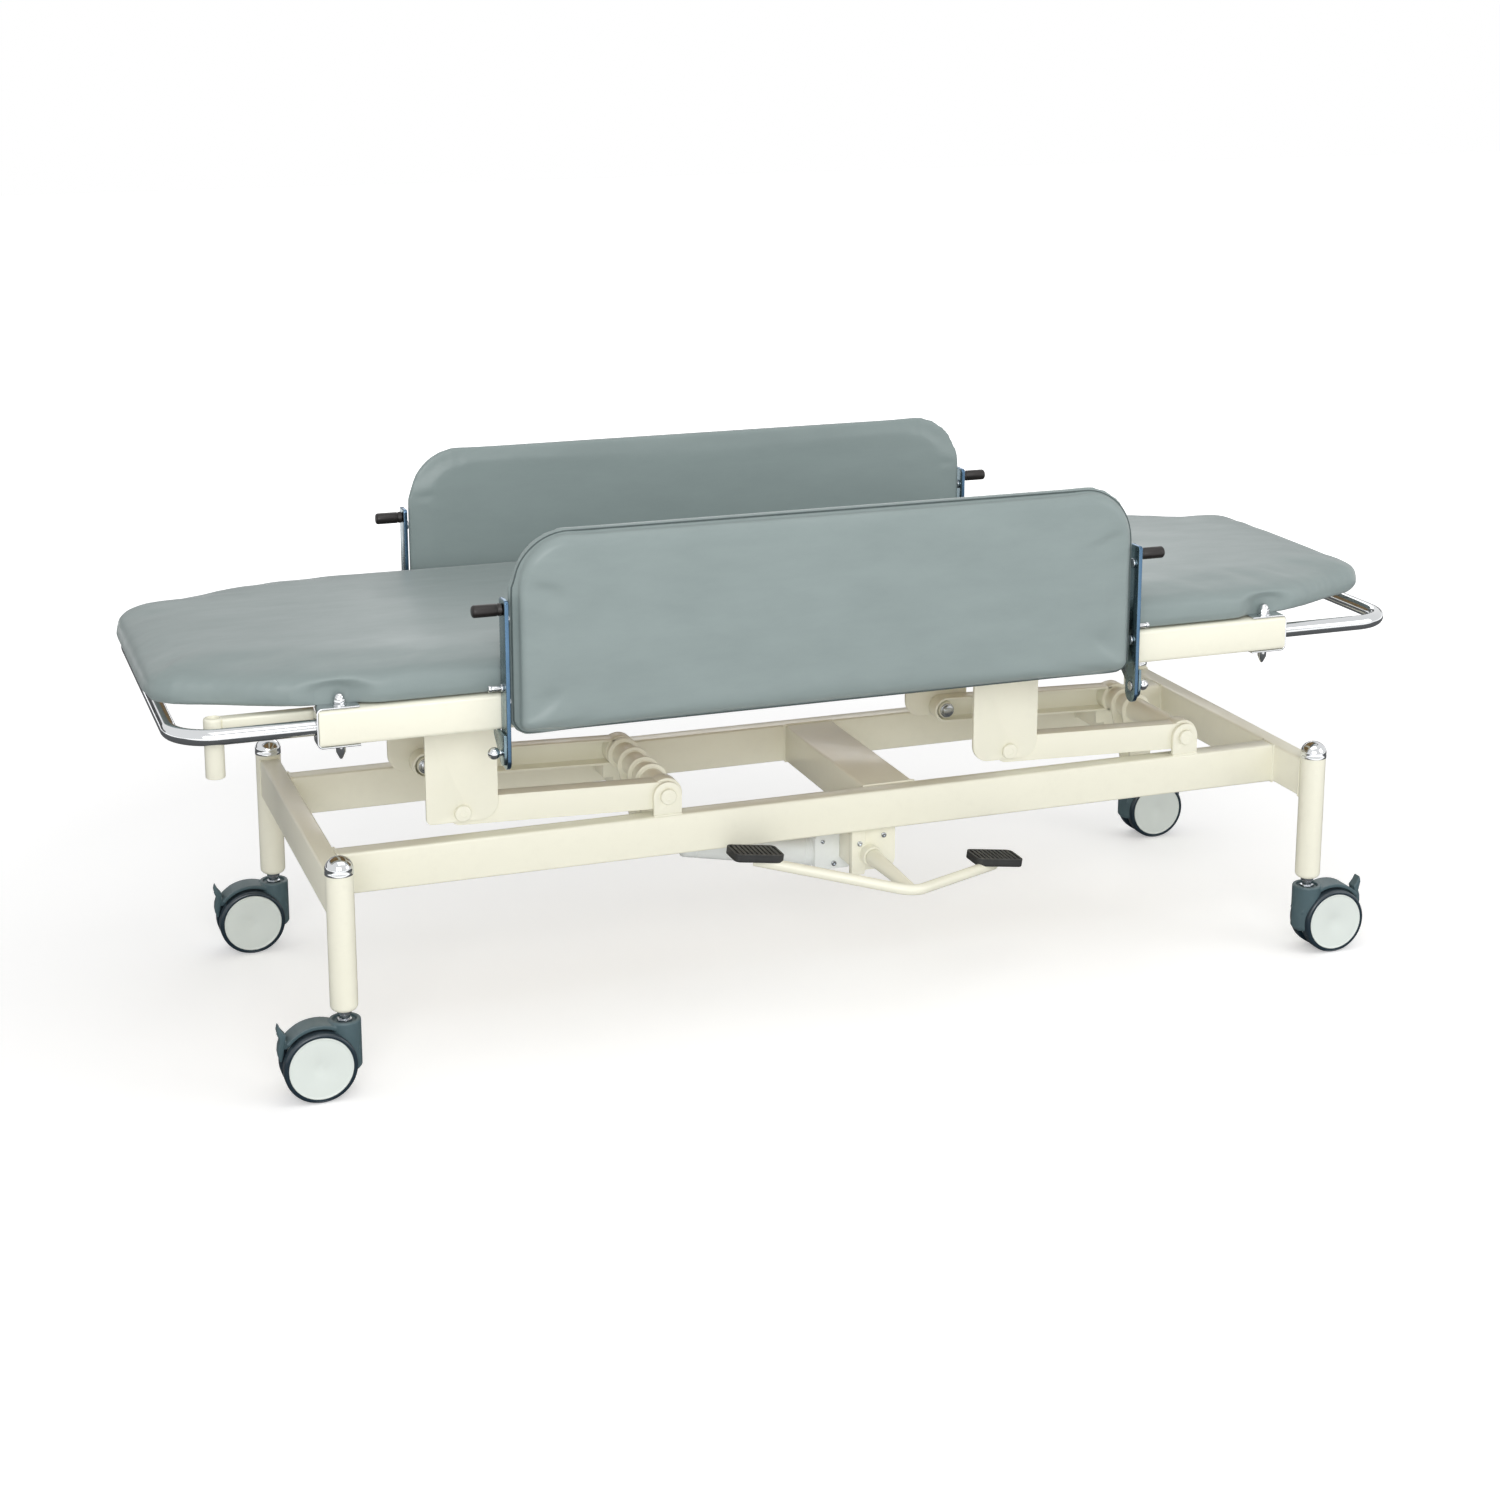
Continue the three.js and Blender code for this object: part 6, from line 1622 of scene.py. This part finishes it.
# %% Drip pole socket
SOCKET_RADIUS = 13 * mm
SOCKET_BORE = 9 * mm
STALK_HEIGHT = 30 * mm
STALK_WIDTH = 20 * mm
socket_low, socket_high = span_of("iv_pole_socket")
socket_x = socket_low.x + SOCKET_RADIUS
socket_y = (socket_low.y + socket_high.y) / 2
stalk = bar_prism("socket_stalk", "x", (socket_y - STALK_WIDTH / 2, socket_y + STALK_WIDTH / 2),
                  (socket_high.z - STALK_HEIGHT, socket_high.z - 0.6 * mm),
                  (socket_x + SOCKET_BORE + 1.5 * mm, socket_high.x), 3 * mm)
sleeve = lathe("socket_sleeve", [
    (SOCKET_BORE, socket_low.z + 1 * mm), (SOCKET_BORE + 1 * mm, socket_low.z),
    (SOCKET_RADIUS - 1 * mm, socket_low.z),
    (SOCKET_RADIUS, socket_low.z + 1 * mm), *arc((SOCKET_RADIUS - 3 * mm, socket_high.z - 3 * mm), 3 * mm,
                                                 0, 90, 6),
    (SOCKET_BORE + 0.6 * mm, socket_high.z),
    (SOCKET_BORE, socket_high.z - 1 * mm), (SOCKET_BORE, socket_low.z + 1 * mm)], "z", (socket_x, socket_y,
                                                                                        0), 48)
smooth(sleeve, 50)
stalk_section = ((socket_y - STALK_WIDTH / 2, socket_y + STALK_WIDTH / 2),
                 (socket_high.z - STALK_HEIGHT, socket_high.z - 0.6 * mm))
stalk_seam = weld("socket_seam", rectangle("x", *stalk_section, socket_high.x), True, 1.8 * mm)
fitted(painted(joined("drip_pole_socket", [sleeve, stalk, stalk_seam]), cream), "cream_paint",
       "iv_pole_socket")
board = frame["nodes"]["mattress_board"]
board.data.materials.clear()
board.data.materials.append(ply)
print("drip pole socket and board")
# %% [markdown]
# The covers are simulated as cloth. Each cushion starts as a stack of outlines a little smaller than
# the finished size, is remeshed on an even grid, and is then blown up by a small inner pressure
# while its underside is held. That rounds the edges the way foam does under a tight cover.

# %% Cushion tools
PRESSURE = 4.0
FRAMES = 20
SWELL = 3.0 * mm


def stacked(name, rings):
    """A closed form through a stack of outlines that all have the same number of points."""
    shape = bmesh.new()
    loops = [[shape.verts.new(point) for point in ring] for ring in rings]
    for low, high in zip(loops, loops[1:]):
        for one, (a, b) in enumerate(zip(low, high)):
            after = (one + 1) % len(low)
            shape.faces.new((a, low[after], high[after], b))
    shape.faces.new(loops[0])
    shape.faces.new(loops[-1])
    return new_object(name, shape)


def gridded(piece, size):
    grid = piece.modifiers.new("grid", "REMESH")
    grid.mode = "VOXEL"
    grid.voxel_size = size
    return settled(piece)

# %% [markdown]
# The cover is cloth with its underside held. A little pressure inside blows it out, and the distance
# that each point may move is capped, so that it can't wander off its foam.

# %% Cloth under pressure
def inflated(piece, held, cap):
    """Cloth with a small inner pressure, its result made part of the mesh and capped."""
    before = [corner.co.copy() for corner in piece.data.vertices]
    group = piece.vertex_groups.new(name="held")
    group.add([corner.index for corner in piece.data.vertices if held(corner.co)], 1.0, "REPLACE")
    cloth = piece.modifiers.new("cover", "CLOTH")
    settings = cloth.settings
    settings.quality = 5
    settings.mass = 0.3
    settings.tension_stiffness = 12
    settings.compression_stiffness = 8
    settings.shear_stiffness = 6
    settings.bending_stiffness = 0.6
    settings.use_pressure = True
    settings.uniform_pressure_force = PRESSURE
    settings.vertex_group_mass = "held"
    settings.effector_weights.gravity = 0
    cloth.point_cache.frame_start = 1
    cloth.point_cache.frame_end = FRAMES
    for step in range(1, FRAMES + 1):
        scene.frame_set(step)
    graph = bpy.context.evaluated_depsgraph_get()
    after = [corner.co.copy() for corner in piece.evaluated_get(graph).data.vertices]
    piece.modifiers.clear()
    piece.vertex_groups.clear()
    scene.frame_set(1)
    for corner, start, end in zip(piece.data.vertices, before, after):
        step = end - start
        if step.length > cap:
            step *= cap / step.length
        corner.co = start + step
    return piece


def subdivided(piece, levels=1):
    surface = piece.modifiers.new("surface", "SUBSURF")
    surface.levels = levels
    surface.render_levels = levels
    return settled(piece)


def relaxed(piece, rounds):
    relax = piece.modifiers.new("relax", "SMOOTH")
    relax.factor = 0.5
    relax.iterations = rounds
    return settled(piece)


# %% [markdown]
# The mattress has narrow rounded ends that widen to the full bed. Its top rolls over softly into the
# side, which draws in a little half way down and then swells again over the frame. Where the domed
# nuts stand under its edge the cover rises over them.

# %% Mattress
MATTRESS_HALF = 288 * mm
TAPER_RUN = 300 * mm
TAPER_SHARES = [(0.0, 0.47), (0.004, 0.545), (0.02, 0.61), (0.05, 0.662), (0.1, 0.707), (0.19, 0.748),
                (0.28, 0.785), (0.38, 0.838), (0.5, 0.897), (0.63, 0.944), (0.78, 0.978), (1.0, 1.0)]
SECTION = [(0.0, 9), (0.04, 4.4), (0.12, 1.6), (0.24, 0.4), (0.4, 1.6), (0.52, 1.8), (0.64, 2.0),
           (0.76, 4.4),
           (0.86, 9), (0.94, 16), (0.99, 25), (1.03, 40)]
CROWN = [(1.07, 66), (1.1, 120), (1.13, 200)]
END_ROLL = 1.7
VOXEL = 8 * mm
mattress_low, mattress_high = span_of("mattress")
bed_y = (near_tube[0] + far_tube[1]) / 2
mattress_bottom = mattress_low.z
mattress_height = 51 * mm


def flowing(points, steps):
    """A smooth curve through a list of points, with some steps between each two."""
    spots = [Vector(point) for point in points]
    spots = [spots[0] * 2 - spots[1], *spots, spots[-1] * 2 - spots[-2]]
    curve = []
    for a, b, c, d in zip(spots, spots[1:], spots[2:], spots[3:]):
        for step in range(steps):
            t = step / steps
            curve.append(0.5 * (2 * b + (c - a) * t + (2 * a - 5 * b + 4 * c - d) * t * t
                                + (3 * b - a - 3 * c + d) * t ** 3))
    return [*curve, spots[-2]]


def mattress_ring(inset, z):
    """The mattress outline seen from above, drawn in by an inset."""
    ends = (mattress_low.x + END_ROLL * inset, mattress_high.x - END_ROLL * inset)
    width = MATTRESS_HALF - inset
    near_side = []
    for start, way in ((ends[0], 1), (ends[1], -1)):
        run = [(start + way * share * TAPER_RUN, width * wide) for share, wide in flowing(TAPER_SHARES, 4)]
        near_side += run if way > 0 else run[::-1]
    loop = near_side + [(x, -y) for x, y in reversed(near_side)]
    return [Vector((x, bed_y + y, z)) for x, y in loop]

# %% [markdown]
# Beside each domed nut the cover is pressed in softly. Last, the shape is stretched by a hair to its
# measured space, and shallow noise folds run along it.

# %% Dents and creases
DENT_REACH = 62 * mm
DENT_HEIGHT = 46 * mm
DENT_HALF = 257 * mm


def dented(piece):
    """The cover's sides pressed in softly behind the domed nuts that stand beside its lower edge."""
    for corner in piece.data.vertices:
        for x in (tube_x[0] + BOLT_INSET, tube_x[1] - BOLT_INSET):
            along = abs(corner.co.x - x) / DENT_REACH
            up = max(0.0, 2 * (corner.co.z - mattress_bottom) / DENT_HEIGHT - 1)
            outside = abs(corner.co.y - bed_y) - DENT_HALF
            if along < 1 and up < 1 and outside > 0:
                share = (0.5 + 0.5 * math.cos(math.pi * along)) * (0.5 + 0.5 * math.cos(math.pi * up))
                press = outside * min(1.0, 1.35 * share)
                corner.co.y -= math.copysign(press, corner.co.y - bed_y)
    return piece


def filled(piece, low, high):
    """The piece stretched by a hair so that the settled cover fills its space exactly."""
    spots = [corner.co for corner in piece.data.vertices]
    for axis in range(3):
        least = min(spot[axis] for spot in spots)
        most = max(spot[axis] for spot in spots)
        for spot in spots:
            spot[axis] = low[axis] + (spot[axis] - least) * (high[axis] - low[axis]) / (most - least)
    return piece


def creased(piece, height, reach, seed):
    """Shallow creases that run along the cover, deepest on its sides."""
    normals = [corner.normal.copy() for corner in piece.data.vertices]
    for corner, normal in zip(piece.data.vertices, normals):
        spot = Vector((corner.co.x * reach, corner.co.y * reach * 2.4,
                       corner.co.z * reach * 7)) + Vector((seed, 0, 0))
        fold = noise.noise(spot) + 0.5 * noise.noise(spot * 2.3)
        side_share = 1 - 0.75 * abs(normal.z)
        corner.co += normal * (fold * height * side_share)
    return piece

# %% [markdown]
# The outlines become one closed form, which is gridded, blown up, creased and fitted.

# %% Mattress cover
rings = [mattress_ring(SWELL + inset * mm, mattress_bottom + SWELL * (1 - share) + share * mattress_height)
         for share, inset in SECTION]
rings += [mattress_ring(inset * mm, mattress_bottom + share * mattress_height) for share, inset in CROWN]
mattress = gridded(stacked("mattress_cover", rings), VOXEL)
mattress = relaxed(mattress, 3)
low_line = mattress_bottom + 6 * mm
mattress = inflated(mattress, lambda at: at.z < low_line, 5 * mm)
mattress = subdivided(mattress)
mattress = creased(mattress, 0.4 * mm, 2.2, 3.0)
for corner in mattress.data.vertices:
    corner.co.z = max(corner.co.z, mattress_bottom)
mattress = dented(mattress)
mattress = filled(relaxed(mattress, 2), mattress_low, mattress_high)
mattress = painted(smooth(mattress, 180), vinyl)
fitted(mattress, "vinyl", "mattress")
print("mattress", len(mattress.data.vertices), "points")

# %% [markdown]
# Each side guard is a padded panel. Its cover is two pieces of vinyl: the outer one rolls over the rim with a soft
# shoulder and meets the inner one in a seam that runs round the rim. The remesh would rub out a seam, so the
# groove and its thread are put in after the cloth has settled. The thread is much darker than the vinyl: painted
# shade for the shadow down in the groove.

# %% Guard pads
PAD_TOP_CORNER = 84 * mm
PAD_BOTTOM_CORNER = 25 * mm
PAD_OUTSIDE = [(0.0, 22), (0.02, 17.5), (0.07, 14), (0.15, 11.2), (0.27, 8.8), (0.4, 6.8), (0.52, 4.8)]
PAD_INSIDE = [(0.64, 3.0), (0.78, 1.0), (0.9, 0.2), (0.97, 2.4), (1.0, 10)]
PAD_VOXEL = 6 * mm
SEAM_SHARE = 0.44
SEAM_REACH = 6 * mm
SEAM_DEPTH = 2.6 * mm
SEAM_RADIUS = 1.15 * mm


def pad_ring(low, high, inset, y):
    x = (low.x + inset, high.x - inset)
    z = (low.z + inset, high.z - inset)
    radii = [PAD_BOTTOM_CORNER - inset] * 2 + [PAD_TOP_CORNER - inset] * 2
    return [Vector((u, y, v)) for u, v in rounded(x, z, radii, 14)]


def seamed(pad, name, low, high, y):
    """A groove pressed in round the rim, with the thread of the seam lying in it, coloured dark as painted shade
    of the groove.
    """
    middle = (low + high) / 2
    reach = (high - low) / 2 - Vector((PAD_TOP_CORNER, 0, PAD_TOP_CORNER))
    for corner in pad.data.vertices:
        away = abs(corner.co.y - y)
        if away < SEAM_REACH:
            inner_x = max(-reach.x, min(reach.x, corner.co.x - middle.x))
            inner_z = max(-reach.z, min(reach.z, corner.co.z - middle.z))
            outward = Vector((corner.co.x - middle.x - inner_x, 0, corner.co.z - middle.z - inner_z))
            if outward.length > 0:
                share = 1 - away / SEAM_REACH
                corner.co -= outward.normalized() * SEAM_DEPTH * share
    line = [pad.closest_point_on_mesh(spot)[1] for spot in pad_ring(low, high, 0, y)]
    thread = smooth(sweep(f"{name}_thread", [*line, line[0]], SEAM_RADIUS, 8), 80)
    return joined(name, [painted(smooth(pad, 180), vinyl), painted(thread, seam_thread_painted_shade)])

# %% [markdown]
# The two panels share one section, which is turned round for the far side.

# %% Padded panels
def guard_pad(side):
    low, high = span_of(f"guard_pad_{side}")
    depth = high.y - low.y
    section = PAD_OUTSIDE + PAD_INSIDE
    if side == "far":
        section = [(1 - share, inset) for share, inset in reversed(section)]
    rings = [pad_ring(low, high, min(SWELL * 0.7 + inset * mm, PAD_BOTTOM_CORNER * 0.96),
                      low.y + SWELL * 0.7 + share * (depth - SWELL * 1.4)) for share, inset in section]
    pad = gridded(stacked(f"{side}_guard_cover", rings), PAD_VOXEL)
    pad = relaxed(pad, 2)
    middle = (low + high) / 2
    rim_reach = 26 * mm
    inside = (high.x - low.x) / 2 - rim_reach
    pad = inflated(pad, lambda at: abs(at.x - middle.x) > inside + 20 * mm, 3.5 * mm)
    pad = subdivided(pad)
    pad = creased(pad, 0.25 * mm, 3.0, 11.0 if side == "near" else 23.0)
    pad = filled(relaxed(pad, 1), low, high)
    share = SEAM_SHARE if side == "near" else 1 - SEAM_SHARE
    return seamed(pad, f"{side}_guard_cover", low, high, low.y + share * depth)


for side in ("near", "far"):
    pad = fitted(guard_pad(side), "vinyl", f"guard_pad_{side}")
    print(side, "guard pad", len(pad.data.vertices), "points")

# %% [markdown]
# A flat plated bar stands at each end of a pad and turns on the bush of its bracket. A plunger with a
# ball knob locks it, a short pin stops it against the frame, and a dark grip stands out near the top.
# The rounded edges get a bluer, darker steel than the wide faces: a painted reflection on one plated metal.

# %% Guard bars and plungers
BAR_INNER = 468 * mm
BAR_OUTER = 474 * mm
BAR_HALF = 15 * mm
BAR_TOP = 212 * mm
BAR_BELOW = 9 * mm
SPACER_UP = (70 * mm, 185 * mm)
STOP_UP = 90 * mm
STOP_LENGTH = 21 * mm
STOP_RADIUS = 3.5 * mm
STOP_HEAD_RADIUS = 4.6 * mm
GRIP_UP = 198 * mm
GRIP_LENGTH = 41 * mm
GRIP_RADIUS = 8.6 * mm
KNOB_RADIUS = 8.6 * mm
KNOB_OUT = 10.5 * mm
PLUNGER_RADIUS = 3 * mm
PAD_HALF = 464.5 * mm


def strip_outline(centre, top, below, half):
    """An upright strip with eased top corners and a round foot below its hinge."""
    foot = arc((centre[0], centre[1] - below), half, 180, 360, 24)
    ease = 5 * mm
    right = arc((centre[0] + half - ease, centre[1] + top - ease), ease, 0, 90, 6)
    left = arc((centre[0] - half + ease, centre[1] + top - ease), ease, 90, 180, 6)
    return [*right, *left, *foot]


def with_painted_edge_reflection(strip):
    """The strip with the plated finish on its wide faces and a painted reflection, a bluer steel, round its edges.
    """
    # Faces that don't face along the bar's thickness get the painted edge reflection.
    painted(strip, plated).data.materials.append(painted_edge_reflection)
    for face in strip.data.polygons:
        face.material_index = 0 if abs(face.normal.x) > 0.8 else 1
    return strip

# %% [markdown]
# Each bar is one strip with spacers, a stop pin and a grip, joined because they turn as one.

# %% Guard bars
def guard_bar(side, name, end):
    hinge = hinges[side]
    face = sorted(guard_middle + end * reach for reach in (BAR_INNER, BAR_OUTER))
    outer = guard_middle + end * BAR_OUTER
    strip = extrude(f"{name}_strip", strip_outline((hinge.y, hinge.z), BAR_TOP, BAR_BELOW, BAR_HALF), "x",
                    face)
    hole = rod(f"{name}_hole", "x", (0, hinge.y, hinge.z), BUSH_RADIUS + PIN_CLEARANCE,
               (face[0] - 2 * mm, face[1] + 2 * mm), 0.2 * mm)
    pieces = [with_painted_edge_reflection(eased(carved(strip, hole), 1.3 * mm, 4))]
    for up in SPACER_UP:
        pieces.append(painted(rod(f"{name}_spacer_{up:.3f}", "x", (0, hinge.y, hinge.z + up), 7 * mm,
                                  (guard_middle + end * (PAD_HALF + 0.2 * mm),
                                   guard_middle + end * BAR_INNER)),
                              bright_steel))
    stop = (0, hinge.y, hinge.z + STOP_UP)
    pin = rod(f"{name}_stop", "x", stop, STOP_RADIUS, (outer - end * 1 * mm,
                                                       outer + end * (STOP_LENGTH - 2 * mm)))
    head = rod(f"{name}_stop_head", "x", stop, STOP_HEAD_RADIUS,
               (outer + end * (STOP_LENGTH - 5 * mm), outer + end * STOP_LENGTH), 1.2 * mm)
    nut = hex_nut(f"{name}_stop_nut", "x", (outer, hinge.y, hinge.z + STOP_UP), 5.6 * mm, 3.6 * mm, end,
                  bright_steel)
    pieces += [painted(pin, chrome), painted(head, chrome), nut]
    grip_z = hinge.z + GRIP_UP
    tip = GRIP_LENGTH
    profile = [(0, 0), (GRIP_RADIUS * 0.8, 0), (GRIP_RADIUS, 1.2 * mm), (GRIP_RADIUS, 5 * mm),
               (GRIP_RADIUS - 0.7 * mm, 6 * mm), (GRIP_RADIUS - 0.7 * mm, 7 * mm), (GRIP_RADIUS, 8 * mm)]
    profile += arc((GRIP_RADIUS - 4 * mm, tip - 4 * mm), 4 * mm, 0, 90, 8) + [(0, tip)]
    grip = lathe(f"{name}_grip", [(r, end * along) for r, along in profile], "x", (outer, hinge.y, grip_z),
                 40)
    pieces.append(painted(smooth(grip, 40), grip_plastic))
    return joined(name, pieces)

# %% [markdown]
# The plunger slides in its bracket, so it is a piece of its own, a lathe with a ball at its end.

# %% Lock plungers
def plunger(side, name, end):
    hinge = hinges[side]
    face = guard_middle + end * BRACKET_REACH[1]
    centre = face + end * KNOB_OUT
    ball = [(KNOB_RADIUS * math.sin(math.radians(turn)), -KNOB_RADIUS * math.cos(math.radians(turn)))
            for turn in range(0, 181, 9)]
    knob = lathe(f"{name}_knob", [(max(r, 0), end * along) for r, along in ball], "x",
                 (centre, hinge.y, hinge.z), 40)
    stem_piece = rod(f"{name}_stem", "x", (0, hinge.y, hinge.z), PLUNGER_RADIUS,
                     (guard_middle + end * BAR_INNER, centre), 0.6 * mm)
    collar = rod(f"{name}_collar", "x", (0, hinge.y, hinge.z), 4.6 * mm,
                 (face + end * 0.6 * mm, face + end * 3 * mm),
                 0.6 * mm)
    return painted(joined(name, [smooth(knob, 60), stem_piece, collar]), chrome)


for side in ("near", "far"):
    for label, end in (("left", -1), ("right", 1)):
        bar = guard_bar(side, f"{side}_{label}_guard_bar", end)
        fitted(bar, "guard_steel", f"guard_bar_{side}_{label}")
        fitted(plunger(side, f"{side}_{label}_plunger", end), "chrome", f"guard_plunger_{side}_{label}")
print("guard bars and plungers")

# %% [markdown]
# Last, the number of pieces that were modelled is printed.


print("pieces", len(made))
